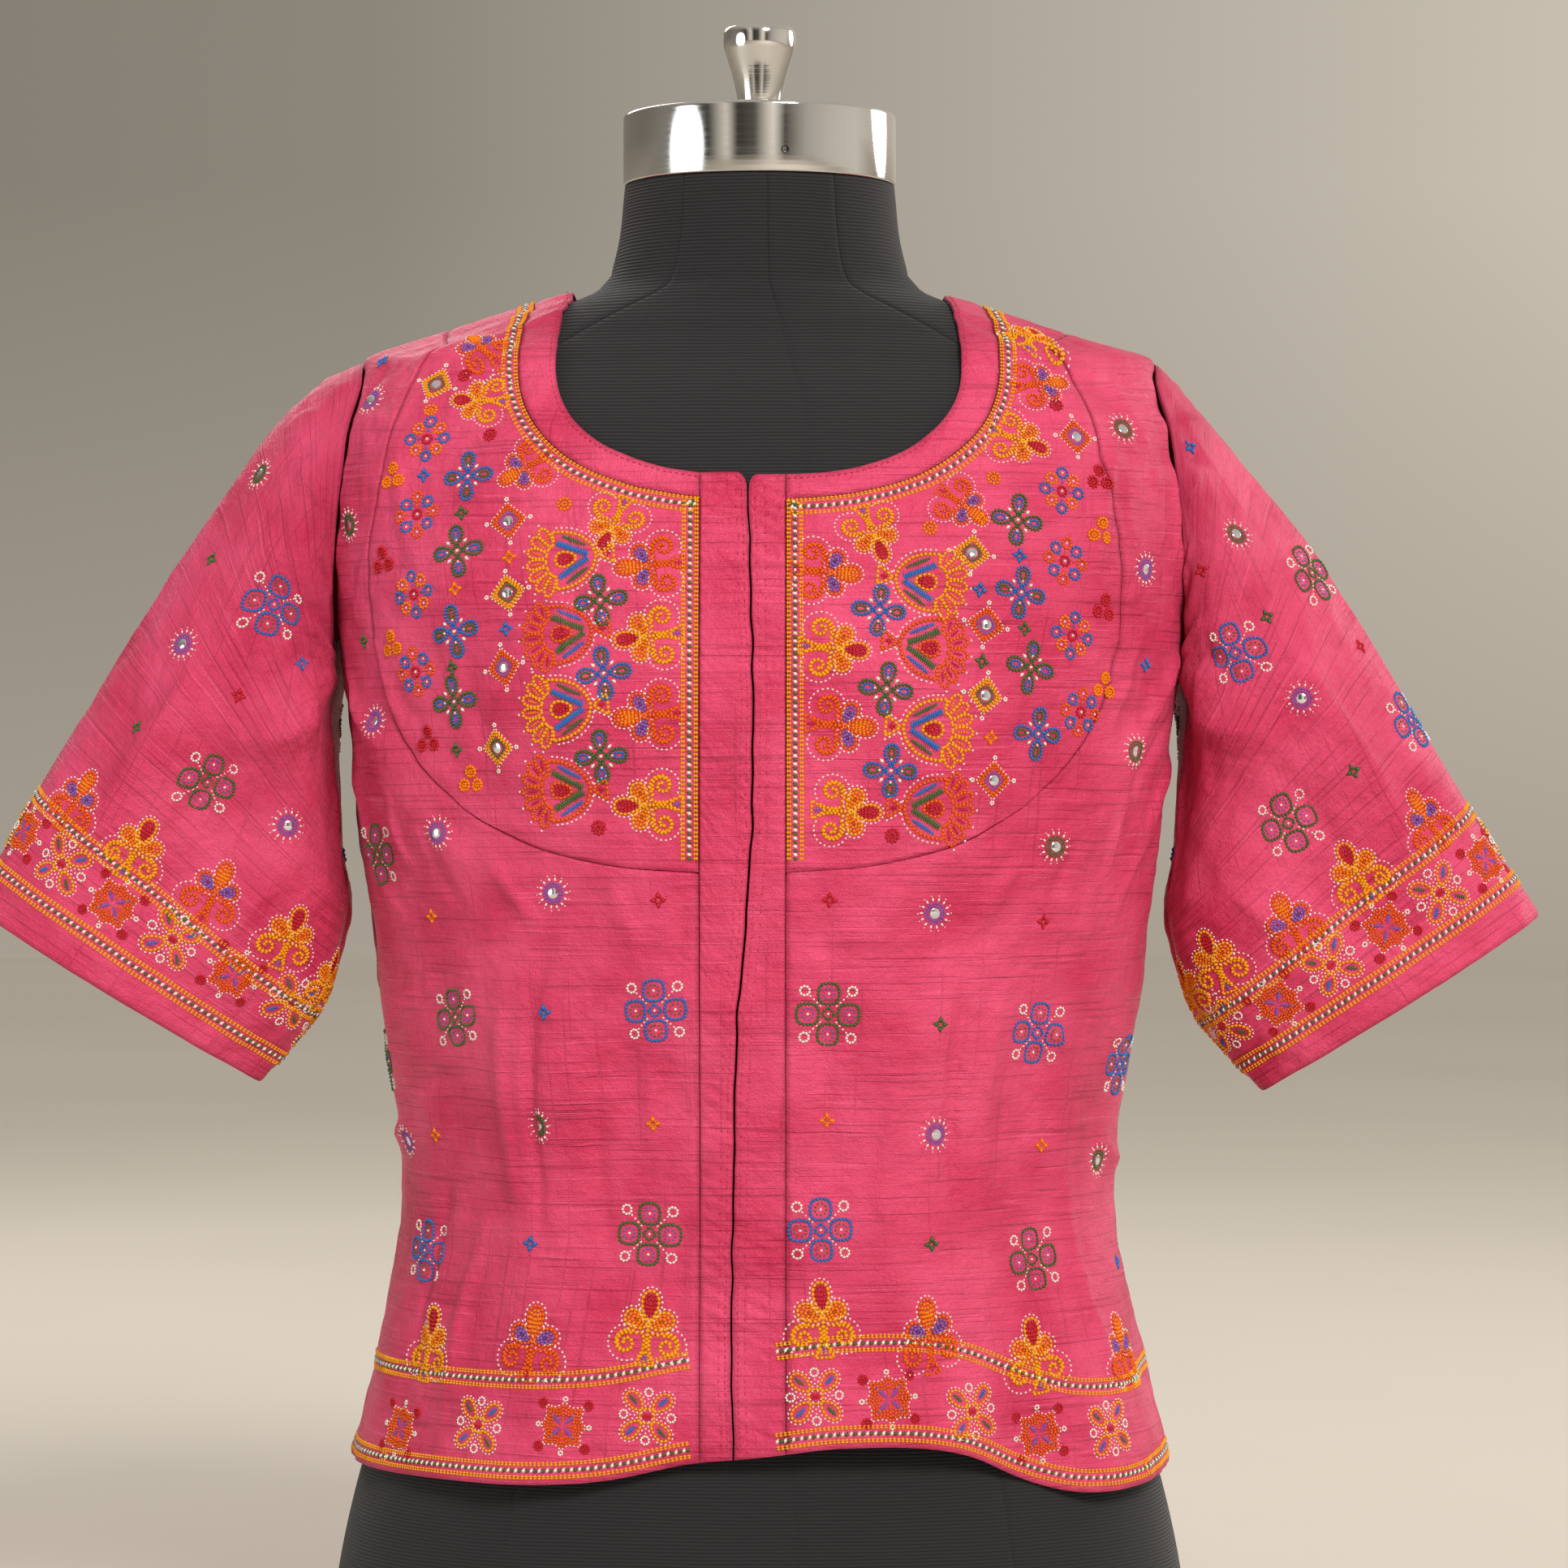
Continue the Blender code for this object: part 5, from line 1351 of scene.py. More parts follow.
def pad_form(material):
    """The form's covered body: a loft through its sections, with the cover's sewn seams drawn in."""
    steps = np.arange(0.0, 360.0, 3.0)
    close = [(seam + offset) % 360.0 for seam in COVER_SEAMS for offset in (-0.8, -0.35, 0.0, 0.35, 0.8)]
    angle = np.radians(np.unique(np.round(np.concatenate([steps, close]), 3)))
    station = np.concatenate([[0.0, 0.8, 2.0], np.linspace(4.0, STATIONS[-1], 190)])
    wide, up = np.meshgrid(angle, station)
    points = section_point(wide, up, False)
    normal = facing(lambda a, s: section_point(a, s, False), wide, up)
    groove = np.zeros(wide.shape)
    for seam in COVER_SEAMS:
        groove = groove + 0.7 * bump(apart(wide, seam) / 0.42)
    neck_seam = STATIONS[-1] - 40.0 - 9.0 * np.maximum(np.sin(wide), 0.0) ** 2
    groove = groove + 0.8 * bump((up - neck_seam) / 1.1)
    rolled = np.interp(up, [0.0, 0.8, 2.0, 4.0], [2.2, 1.0, 0.3, 0.0])
    points = points - normal * (groove + rolled)[..., None]
    rows, cols = wide.shape
    at = np.arange(rows * cols).reshape(rows, cols)
    ring = np.concatenate([at, at[:, :1]], axis=1)
    quads = np.stack([ring[:-1, :-1], ring[:-1, 1:], ring[1:, 1:], ring[1:, :-1]], axis=-1).reshape(-1, 4)
    faces = [tuple(face) for face in quads.tolist()] + [tuple(at[0][::-1].tolist()), tuple(at[-1].tolist())]
    mesh = bpy.data.meshes.new("covered_form")
    mesh.from_pydata((points.reshape(-1, 3) * MM).tolist(), [], faces)
    shaping = bmesh.new()
    shaping.from_mesh(mesh)
    bmesh.ops.recalc_face_normals(shaping, faces=shaping.faces)
    shaping.to_mesh(mesh)
    shaping.free()
    mesh.shade_smooth()
    mesh.set_sharp_from_angle(angle=math.radians(50))
    made = placed("covered_form", mesh)
    made.data.materials.append(material)
    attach(made, "root")
    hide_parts("form_body")
    return made


def deselect_all():
    bpy.ops.object.select_all(action="DESELECT")


def choose(made, keep_vertex):
    """In edit mode, selects the vertices that the test keeps, and the edges and faces between them."""
    shaping = bmesh.from_edit_mesh(made.data)
    for vertex in shaping.verts:
        vertex.select = keep_vertex(vertex.co)
    shaping.select_mode = {"VERT"}
    shaping.select_flush_mode()
    bmesh.update_edit_mesh(made.data)


def place_in_mesh(made, name):
    """Leaves edit mode and puts the piece's place in its mesh, with its object at the origin."""
    bpy.ops.object.mode_set(mode="OBJECT")
    bpy.ops.object.transform_apply(location=True, rotation=True, scale=True)
    made.name = name
    made.data.name = name


def turn_cap(material):
    """The neck cap: a disc of polished metal with rolled edges and a shallow dished top."""
    deselect_all()
    low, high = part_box("neck_cap")
    bpy.ops.mesh.primitive_cylinder_add(
        vertices=160, radius=high.x, depth=high.z - low.z, location=(0.0, 0.0, (high.z + low.z) / 2)
    )
    made = bpy.context.object
    half = (high.z - low.z) / 2
    bpy.ops.object.mode_set(mode="EDIT")
    bpy.ops.mesh.select_mode(type="VERT")
    choose(made, lambda at: at.z > half - 1e-5)
    bpy.ops.mesh.bevel(offset=0.0017, segments=5, affect="EDGES")
    choose(made, lambda at: at.z < -half + 1e-5)
    bpy.ops.mesh.bevel(offset=0.0009, segments=3, affect="EDGES")
    bpy.ops.mesh.select_mode(type="FACE")
    shaping = bmesh.from_edit_mesh(made.data)
    for face in shaping.faces:
        face.select = face.normal.z > 0.99 and face.calc_area() > 0.005
    bmesh.update_edit_mesh(made.data)
    bpy.ops.mesh.inset(thickness=0.046, depth=-0.0004)
    bpy.ops.mesh.inset(thickness=0.001, depth=0.0003)
    place_in_mesh(made, "polished_cap")
    bpy.ops.object.shade_smooth_by_angle(angle=math.radians(34))
    made.data.materials.append(material)
    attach(made, "root")
    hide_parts("neck_cap")
    return made


def turn_knob(material):
    """The flared knob, drawn up ring by ring from its foot."""
    deselect_all()
    first = KNOB_RINGS[0]
    foot = (0.0, 0.0, first[1] * MM)
    bpy.ops.mesh.primitive_circle_add(vertices=72, radius=first[0] * MM, location=foot, fill_type="NGON")
    made = bpy.context.object
    bpy.ops.object.mode_set(mode="EDIT")
    bpy.ops.mesh.select_all(action="SELECT")
    for (radius, height), (before, below) in zip(KNOB_RINGS[1:], KNOB_RINGS[:-1]):
        bpy.ops.mesh.extrude_region_move(TRANSFORM_OT_translate={"value": (0.0, 0.0, (height - below) * MM)})
        share = radius / before
        bpy.ops.transform.resize(value=(share, share, 1.0), center_override=(0.0, 0.0, height * MM))
    bpy.ops.mesh.inset(thickness=0.009, depth=-0.0006)
    bpy.ops.mesh.select_all(action="SELECT")
    bpy.ops.mesh.normals_make_consistent(inside=False)
    place_in_mesh(made, "polished_knob")
    bpy.ops.object.shade_smooth_by_angle(angle=math.radians(40))
    made.data.materials.append(material)
    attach(made, "root")
    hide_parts("neck_knob")
    return made


def turn_screw(material):
    """The small dark screw in the front of the cap."""
    deselect_all()
    across, height = SCREW_PLACE
    depth = -math.sqrt(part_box("neck_cap")[1].x ** 2 - across**2) + 0.0002
    bpy.ops.mesh.primitive_cylinder_add(
        vertices=32, radius=SCREW_SIZE[0], depth=SCREW_SIZE[1], location=(across, depth, height),
        rotation=(math.pi / 2, 0.0, 0.0),
    )
    made = bpy.context.object
    bpy.ops.object.mode_set(mode="EDIT")
    bpy.ops.mesh.select_mode(type="FACE")
    shaping = bmesh.from_edit_mesh(made.data)
    for face in shaping.faces:
        face.select = len(face.verts) > 8 and face.normal.z > 0.9
    bmesh.update_edit_mesh(made.data)
    bpy.ops.mesh.inset(thickness=0.0004, depth=0.0)
    bpy.ops.mesh.inset(thickness=0.0002, depth=-0.0007)
    place_in_mesh(made, "cap_screw")
    bpy.ops.object.shade_smooth_by_angle(angle=math.radians(30))
    made.data.materials.append(material)
    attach(made, "root")
    return made


def floor_finish(name, colour):
    """Plain pale floor with a faint unevenness."""
    finish, tree, shader = new_finish(name)
    solid = tree.nodes.new("ShaderNodeTexCoord")
    crumple = grouped(tree, crumpled(), solid.outputs["Object"], Size=6.0)
    shade = ranged(tree, crumple.outputs["Patch"], 0.0, 1.0)
    tree.links.new(tinted(tree, shade, four(colour), four(colour, 0.95)), shader.inputs["Base Color"])
    tree.links.new(ranged(tree, crumple.outputs["Height"], 0.3, 0.7, 0.7, 0.85), shader.inputs["Roughness"])
    return finish


def soft_light(name, place, aim, size, power, colour):
    light = bpy.data.lights.new(name, "AREA")
    light.shape = "DISK"
    light.size = size
    light.energy = power
    light.color = colour
    made = bpy.data.objects.new(name, light)
    made.location = place
    made.rotation_euler = (aim - Vector(place)).to_track_quat("-Z", "Y").to_euler()
    bpy.context.scene.collection.objects.link(made)
    return made


def room_light(name, strength):
    """Surroundings of a plain room: pale behind the object, dimmer in front, with upright bands."""
    world = bpy.data.worlds.new(name)
    world.use_nodes = True
    tree = world.node_tree
    backing = tree.nodes["Background"]
    way = tree.nodes.new("ShaderNodeTexCoord")
    split = tree.nodes.new("ShaderNodeSeparateXYZ")
    tree.links.new(way.outputs["Generated"], split.inputs["Vector"])
    wall = tree.nodes.new("ShaderNodeValToRGB")
    front = tree.nodes.new("ShaderNodeValToRGB")
    for ramp_node, stops in ((wall, WALL_STOPS), (front, FRONT_STOPS)):
        marks = ramp_node.color_ramp.elements
        for k, (at, colour) in enumerate(stops):
            mark = marks[k] if k < 2 else marks.new(at)
            mark.position = at
            mark.color = four(colour)
    tree.links.new(ranged(tree, split.outputs["X"], -0.2, 0.2), wall.inputs["Fac"])
    tree.links.new(ranged(tree, split.outputs["X"], -1.0, 1.0), front.inputs["Fac"])
    behind = ranged(tree, split.outputs["Y"], 0.0, 0.5)
    room = tinted(tree, behind, front.outputs["Color"], wall.outputs["Color"])
    upright = ranged(tree, split.outputs["Z"], -0.045, 0.11)
    above = worked_out(tree, "MAXIMUM", upright, worked_out(tree, "SUBTRACT", 1.0, behind))
    room = tinted(tree, above, four(SKIRTING), room)
    above = ranged(tree, split.outputs["Z"], 0.35, 0.85)
    tree.links.new(tinted(tree, above, room, four(CEILING)), backing.inputs["Color"])
    backing.inputs["Strength"].default_value = strength
    return world


def evenly(path, step):
    """Middles and directions of stitches laid end to end along a path."""
    path = np.asarray(path, float)
    length = np.concatenate([[0.0], np.cumsum(np.linalg.norm(np.diff(path, axis=0), axis=1))])
    count = max(int(round(length[-1] / step)), 1)
    middle = (np.arange(count) + 0.5) * length[-1] / count
    half = 0.5 * length[-1] / count
    ends = [[np.interp(middle + way * half, length, path[:, k]) for k in (0, 1)] for way in (-1, 1)]
    run = np.array(ends[1]) - np.array(ends[0])
    centre = (np.array(ends[1]) + np.array(ends[0])) / 2
    return centre[0], centre[1], np.arctan2(run[1], run[0])


def stitch_rows(x, y, turn, length, width, thread):
    """Rows of stitches: middle, direction, length, width, thread."""
    x, y, turn, length, width = np.broadcast_arrays(x, y, turn, length, width)
    colour = np.full(np.shape(x), float(THREADS.index(thread)))
    return np.stack([x, y, turn, length, width, colour], axis=-1).reshape(-1, 6)


def chain(path, thread, step=1.75, width=1.3):
    """Chain stitch along a path."""
    x, y, turn = evenly(path, step)
    return stitch_rows(x, y, turn, step * 1.35, width * 1.28, thread)


def dashes(path, thread="white", step=1.9, length=1.35, width=0.95):
    x, y, turn = evenly(path, step)
    return stitch_rows(x, y, turn, length, width, thread)


def satin(start, end, width, thread, step=0.95, taper=0.0):
    """Stitches side by side, square to a line, narrower at its ends by the taper."""
    x, y, turn = evenly([start, end], step)
    share = np.linspace(-1.0, 1.0, len(x))
    return stitch_rows(x, y, turn + math.pi / 2, width * (1.0 - taper * share**2), step * 1.15, thread)


def arc(x, y, radius, start=0.0, end=360.0, aspect=1.0):
    turn = np.radians(np.linspace(start, end, 33))
    return np.stack([x + radius * np.cos(turn), y + aspect * radius * np.sin(turn)], axis=-1)


def curl(x, y, radius, inner, start, end):
    turn = np.radians(np.linspace(start, end, 60))
    reach = radius + (inner - radius) * np.linspace(0.0, 1.0, 60) ** 0.75
    return np.stack([x + reach * np.cos(turn), y + reach * np.sin(turn)], axis=-1)


def heading(degrees):
    """The two parts of a step of one millimetre in a direction."""
    return math.cos(math.radians(degrees)), math.sin(math.radians(degrees))


def petal(x, y, turn, length, width):
    """Closed outline of a petal that starts at a point and swells towards its far end."""
    t = np.linspace(0.0, 2 * math.pi, 37)
    along = length * (1 - np.cos(t)) / 2
    aside = width / 2 * np.sin(t) * (0.55 + 0.45 * (1 - np.cos(t)) / 2) / 0.86
    c, s = heading(turn)
    return np.stack([x + c * along - s * aside, y + s * along + c * aside], axis=-1)


def grown(path, gap):
    """A closed outline moved out from its middle by about this much."""
    path = np.asarray(path, float)
    middle = path.mean(axis=0)
    away = path - middle
    reach = np.linalg.norm(away, axis=1, keepdims=True)
    return middle + away * (1.0 + gap / np.maximum(reach, 1e-6))


def filled(path, thread, step=1.7, width=1.2):
    """Rounds of chain stitch inside a closed outline, down to its middle."""
    path = np.asarray(path, float)
    middle = path.mean(axis=0)
    reach = float(np.linalg.norm(path - middle, axis=1).mean())
    shares = 1.0 - np.arange(1.15, reach - 0.2, 1.1) / reach
    return np.concatenate([chain(middle + (path - middle) * share, thread, step, width) for share in shares])


def outlined(path, line, fill=None, dots="white"):
    """A worked shape: chain outline, filling and a dotted white edge."""
    rows = [chain(path, line)]
    if fill:
        rows.append(filled(path, fill))
    if dots:
        rows.append(dashes(grown(path, 1.35), dots))
    return np.concatenate(rows)


def palmette(main, side, tip, base):
    """Two curled leaves on a small triangle, under three petals."""
    rows = [chain([(-3.6, -14.0), (0.0, -8.6), (3.6, -14.0), (-3.6, -14.0)], main, 1.5, 1.2)]
    rows.append(satin((0.0, -13.2), (0.0, -10.2), 3.6, base, taper=0.4))
    for way in (-1, 1):
        flip = np.array([way, 1.0])
        stem = np.array([(2.4, -11.6), (0.9, -8.0), (0.9, -4.2), (2.4, -1.6)]) * flip
        rows.append(chain(stem, main, 1.5, 1.5))
        rows.append(chain(curl(7.4, -6.4, 5.4, 1.0, 140.0, -400.0) * flip, main, 1.5, 1.7))
        rows.append(chain(curl(7.4, -6.4, 4.1, 2.6, 120.0, -130.0) * flip, main, 1.5, 1.5))
        rows.append(dashes(curl(7.4, -6.4, 6.8, 6.6, 118.0, -125.0) * flip))
        rows.append(outlined(petal(0.6, 0.2, 26.0, 9.0, 6.6) * flip, main, side))
    rows.append(chain([(0.0, -8.0), (0.0, 2.4)], main, 1.5, 2.0))
    rows.append(outlined(petal(0.0, 2.2, 90.0, 11.0, 6.6), main, tip))
    return np.concatenate(rows)


def pomegranate(main, crescent, chevron, core, petals):
    """A fruit on a small tail, crowned with petals."""
    rows = [chain([(-4.0, -18.0), (0.0, -12.6), (4.0, -18.0), (-4.0, -18.0)], main)]
    rows.append(satin((0.0, -17.0), (0.0, -14.6), 4.0, core, taper=0.5))
    rows.append(dashes([(-5.4, -18.6), (-1.6, -12.6)]))
    rows.append(dashes([(5.4, -18.6), (1.6, -12.6)]))
    for way in (-1, 1):
        flip = np.array([way, 1.0])
        body = np.array([(0.0, -12.0), (4.6, -10.6), (8.6, -7.0), (10.8, -2.2), (11.4, 3.6)])
        rows.append(chain(body * flip, main, 1.6, 1.5))
        rows.append(dashes(body * flip + np.array([1.6 * way, -1.0])))
        rows.append(chain(np.array([(11.4, 3.6), (7.4, 3.2)]) * flip, main, 1.6, 1.3))
        rows.append(satin(flip * (4.4, -8.6), flip * (9.4, -0.2), 3.0, crescent, taper=0.4))
        rows.append(satin(flip * (0.7, -9.0), flip * (7.0, 2.2), 4.2, chevron))
    rows.append(outlined(petal(0.0, -4.8, 90.0, 8.0, 6.6), main, core, dots=None))
    for turn in (14.0, 39.0, 64.5, 90.0, 115.5, 141.0, 166.0):
        c, s = heading(turn)
        crown = petal(6.0 * c, 3.0 + 3.4 * s, turn * 0.8 + 18.0, 8.8, 4.1)
        rows.append(chain(crown, main, 1.5, 1.25))
        middle, out = crown.mean(axis=0), np.array([c, s])
        rows.append(satin(middle - 1.8 * out, middle + 2.2 * out, 1.9, petals, taper=0.3))
        tip = crown[18] + 1.5 * out
        rows.append(stitch_rows(tip[0], tip[1], math.radians(turn) + 1.57, 1.5, 0.95, "white"))
    return np.concatenate(rows)


def spokes(count, inner, outer, thread, width, start=0.0):
    turn = np.radians(start + np.arange(count) * 360.0 / count)
    middle = (inner + outer) / 2
    return stitch_rows(middle * np.cos(turn), middle * np.sin(turn), turn, outer - inner, width, thread)


def diamond(main, ring):
    """A square on its point round a small mirror."""
    edge = np.array([(0.0, 7.6), (7.6, 0.0), (0.0, -7.6), (-7.6, 0.0), (0.0, 7.6)])
    rows = [chain(edge, main, 1.7, 1.5), chain(edge * 0.82, main, 1.6, 1.3), dashes(edge * 1.16)]
    rows.append(spokes(26, 2.3, 5.0, ring, 0.8))
    for turn in (0.0, 90.0, 180.0, 270.0):
        c, s = heading(turn)
        rows.append(chain(arc(10.2 * c, 10.2 * s, 0.9), "white", 1.1, 0.9))
    return np.concatenate(rows)


def cross(main, fill):
    """Four ringed lobes with small white petals between."""
    rows = [chain(arc(0.0, 0.0, 1.9), main, 1.3, 1.1), stitch_rows(0.0, 0.0, 0.4, 2.2, 1.5, "white")]
    for turn in (0.0, 90.0, 180.0, 270.0):
        c, s = heading(turn)
        rows.append(chain(petal(2.4 * c, 2.4 * s, turn, 7.6, 5.6), main, 1.35, 1.4))
        rows.append(chain(petal(4.6 * c, 4.6 * s, turn, 4.2, 2.6), fill, 1.2, 1.1))
        rows.append(stitch_rows(4.4 * c, 4.4 * s, math.radians(turn), 1.8, 1.1, "white"))
    rows.append(spokes(4, 3.6, 6.4, "white", 1.5, 45.0))
    return np.concatenate(rows)


def flower(first, second):
    """Eight small rings round a red heart."""
    rows = [chain(arc(0.0, 0.0, 1.7), "red", 1.2, 1.2), stitch_rows(0.0, 0.0, 0.0, 1.4, 1.2, "white")]
    for k in range(8):
        turn = math.radians(45.0 * k)
        reach = 6.3 if k % 2 == 0 else 5.6
        line = first if k % 2 == 0 else second
        rows.append(chain(arc(reach * math.cos(turn), reach * math.sin(turn), 1.85), line, 1.25, 1.1))
        rows.append(stitch_rows(reach * math.cos(turn), reach * math.sin(turn), turn, 1.2, 0.9, "white"))
        rows.append(stitch_rows(3.2 * math.cos(turn), 3.2 * math.sin(turn), turn, 1.6, 0.9, line))
    return np.concatenate(rows)


def ring(thread):
    outer, inner = arc(0.0, 0.0, 2.1), arc(0.0, 0.0, 0.9)
    return np.concatenate([chain(outer, thread, 1.3, 1.3), chain(inner, thread, 1.1, 1.0)])


def rings(thread):
    """Three small rings set in a triangle."""
    rows = []
    for x, y in ((-2.5, -1.6), (2.5, -1.6), (0.2, 2.7)):
        small = ring(thread)
        small[:, :2] = small[:, :2] * 0.82 + np.array([x, y])
        rows.append(small)
    return np.concatenate(rows)


def star(thread):
    return np.concatenate([spokes(4, 0.2, 4.0, thread, 2.3), spokes(4, 0.6, 2.4, thread, 1.2, 45.0)])


def sunburst(ring_thread):
    """White rays and a buttonholed ring round a small mirror."""
    rows = [spokes(28, 2.3, 4.3, ring_thread, 0.75), chain(arc(0.0, 0.0, 4.5), ring_thread, 1.4, 0.9)]
    rows.append(spokes(14, 4.9, 7.4, "white", 1.1))
    rows.append(spokes(14, 7.4, 8.2, "white", 0.8, 3.0))
    return np.concatenate(rows)


def clover(main, dot):
    """Four squarish ringed lobes, with dotted white stems between them that end in rings."""
    rows = [chain(np.array([(0.0, 2.6), (2.6, 0.0), (0.0, -2.6), (-2.6, 0.0), (0.0, 2.6)]), main, 1.3, 1.1)]
    rows.append(stitch_rows(0.0, 0.0, 0.0, 1.4, 1.2, "white"))
    for turn in (0.0, 90.0, 180.0, 270.0):
        c, s = heading(turn)
        x, y = 7.6 * c, 7.6 * s
        t = np.radians(np.linspace(0.0, 360.0, 33) + turn + 45.0)
        off = t - math.radians(turn)
        square = 4.3 / np.maximum(np.abs(np.cos(off)), np.abs(np.sin(off))) ** 0.45
        lobe = np.stack([x + square * np.cos(t) * 0.92, y + square * np.sin(t) * 0.92], axis=-1)
        rows.append(chain(lobe, main, 1.45, 1.25))
        rows.append(dashes(np.array([x, y]) + (lobe - np.array([x, y])) * 0.55, dot, 1.7, 1.1, 0.9))
        rows.append(stitch_rows(x, y, math.radians(turn), 1.6, 1.3, "white"))
        p, q = heading(turn + 45.0)
        rows.append(dashes([(3.4 * p, 3.4 * q), (10.4 * p, 10.4 * q)], "white", 1.7, 1.2, 0.9))
        rows.append(chain(arc(12.3 * p, 12.3 * q, 1.8), "white", 1.25, 0.95))
    return np.concatenate(rows)


def border_cross(main, first, second):
    """Four slanted petals on a small red square, with white rings between."""
    square = np.array([(-3.0, -3.0), (3.0, -3.0), (3.0, 3.0), (-3.0, 3.0), (-3.0, -3.0)])
    rows = [chain(square, main, 1.5, 1.4), satin((-1.9, 0.0), (1.9, 0.0), 4.6, "red")]
    for k, turn in enumerate((45.0, 135.0, 225.0, 315.0)):
        c, s = heading(turn)
        rows.append(outlined(petal(3.4 * c, 3.4 * s, turn, 9.8, 6.4), main, None))
        inner, outer = (6.7 * c, 6.7 * s), (11.7 * c, 11.7 * s)
        rows.append(satin(inner, outer, 3.4, (first, second)[k % 2], taper=0.4))
        p, q = heading(turn - 45.0)
        rows.append(dashes([(4.4 * p, 4.4 * q), (8.2 * p, 8.2 * q)], "white", 1.7, 1.2))
        rows.append(chain(arc(10.2 * p, 10.2 * q, 1.8), "white", 1.3, 1.0))
    return np.concatenate(rows)


def border_star(main, petals, corner):
    """An eight-pointed square star with slanted petals, and a small ring off each corner."""
    edge = []
    for k in range(16):
        reach = (9.0, 7.4, 10.6, 7.4)[k % 4]
        edge.append((reach * math.cos(math.radians(22.5 * k)), reach * math.sin(math.radians(22.5 * k))))
    edge.append(edge[0])
    edge = np.array(edge)
    rows = [chain(edge, main, 1.5, 1.3), dashes(edge * 1.14)]
    rows += [chain(edge * share, main, 1.5, 1.3) for share in (0.84, 0.66)]
    for turn in (45.0, 135.0, 225.0, 315.0):
        c, s = heading(turn)
        rows.append(satin((1.2 * c, 1.2 * s), (8.4 * c, 8.4 * s), 2.9, petals, taper=0.55))
        small = ring(corner)
        small[:, :2] = small[:, :2] * 0.9 + np.array([14.6 * c, 13.0 * s])
        rows.append(small)
        p, q = heading(turn - 45.0)
        rows.append(chain(arc(11.6 * p, 11.6 * q, 1.0), "white", 1.1, 0.9))
        rows.append(satin((2.0 * p, 2.0 * q), (6.0 * p, 6.0 * q), 2.2, main))
    return np.concatenate(rows)


def motif_charts():
    """Each motif and its colourings, worked once."""
    return {
        ("palmette", "y"): palmette("marigold", "amber", "red", "purple"),
        ("palmette", "o"): palmette("orange", "purple", "amber", "red"),
        ("pomegranate", "y"): pomegranate("marigold", "green", "blue", "red", "amber"),
        ("pomegranate", "o"): pomegranate("orange", "blue", "green", "red", "red"),
        ("diamond", "g"): diamond("marigold", "green"), ("diamond", "p"): diamond("orange", "purple"),
        ("cross", "g"): cross("green", "blue"), ("cross", "b"): cross("blue", "green"),
        ("flower", "y"): flower("blue", "amber"), ("flower", "o"): flower("orange", "blue"),
        ("rings", "y"): rings("amber"), ("rings", "r"): rings("red"), ("ring", "y"): ring("amber"),
        ("ring", "r"): ring("red"), ("star", "b"): star("blue"), ("star", "g"): star("green"),
        ("star", "o"): star("amber"), ("star", "r"): star("red"), ("sunburst", "p"): sunburst("purple"),
        ("sunburst", "g"): sunburst("green"), ("clover", "b"): clover("blue", "green"),
        ("clover", "g"): clover("green", "blue"),
        ("square", "a"): border_cross("marigold", "blue", "green"),
        ("square", "b"): border_star("orange", "purple", "red"),
    }


def cloth_axes(surface, first, second):
    """At places on a cloth: the shares of a place that one millimetre to the right and one up take."""
    steps = (0.01, SURFACE_STEP[surface])
    low_a, high_a = (surface(first + way * steps[0] / 2, second) for way in (-1, 1))
    low_b, high_b = (surface(first, second + way * steps[1] / 2) for way in (-1, 1))
    along_a = (high_a - low_a) / steps[0]
    along_b = (high_b - low_b) / steps[1]
    normal = np.cross(along_a, along_b)
    normal /= np.linalg.norm(normal, axis=-1, keepdims=True)
    outward = SURFACE_OUTWARD[surface](first, second)
    normal *= np.sign(np.sum(normal * outward, axis=-1, keepdims=True))
    lift = SURFACE_UP[surface] * along_b
    up = lift - np.sum(lift * normal, axis=-1, keepdims=True) * normal
    up /= np.linalg.norm(up, axis=-1, keepdims=True)
    right = np.cross(up, normal)
    shares = np.linalg.pinv(np.stack([along_a, along_b], axis=-1))
    return normal, np.einsum("nij,nj->ni", shares, right), np.einsum("nij,nj->ni", shares, up)


def sewn_rows(surface, places, charts):
    """Ends of every stitch of motifs at their places: first, second, turn, scale, chart name."""
    starts, ends, widths, threads = [], [], [], []
    first = np.array([row[0] for row in places], float)
    second = np.array([row[1] for row in places], float)
    _, right, up = cloth_axes(surface, first, second)
    for k, (_, _, turn, scale, name) in enumerate(places):
        rows = charts[name]
        c, s = math.cos(math.radians(turn - 90.0)), math.sin(math.radians(turn - 90.0))
        for way, kept in ((-0.5, starts), (0.5, ends)):
            x = rows[:, 0] + way * rows[:, 3] * np.cos(rows[:, 2])
            y = rows[:, 1] + way * rows[:, 3] * np.sin(rows[:, 2])
            u, v = scale * (c * x - s * y), scale * (s * x + c * y)
            kept.append(np.array([first[k], second[k]]) + u[:, None] * right[k] + v[:, None] * up[k])
        widths.append(rows[:, 4] * scale)
        threads.append(rows[:, 5])
    return [np.concatenate(part) for part in (starts, ends, widths, threads)]


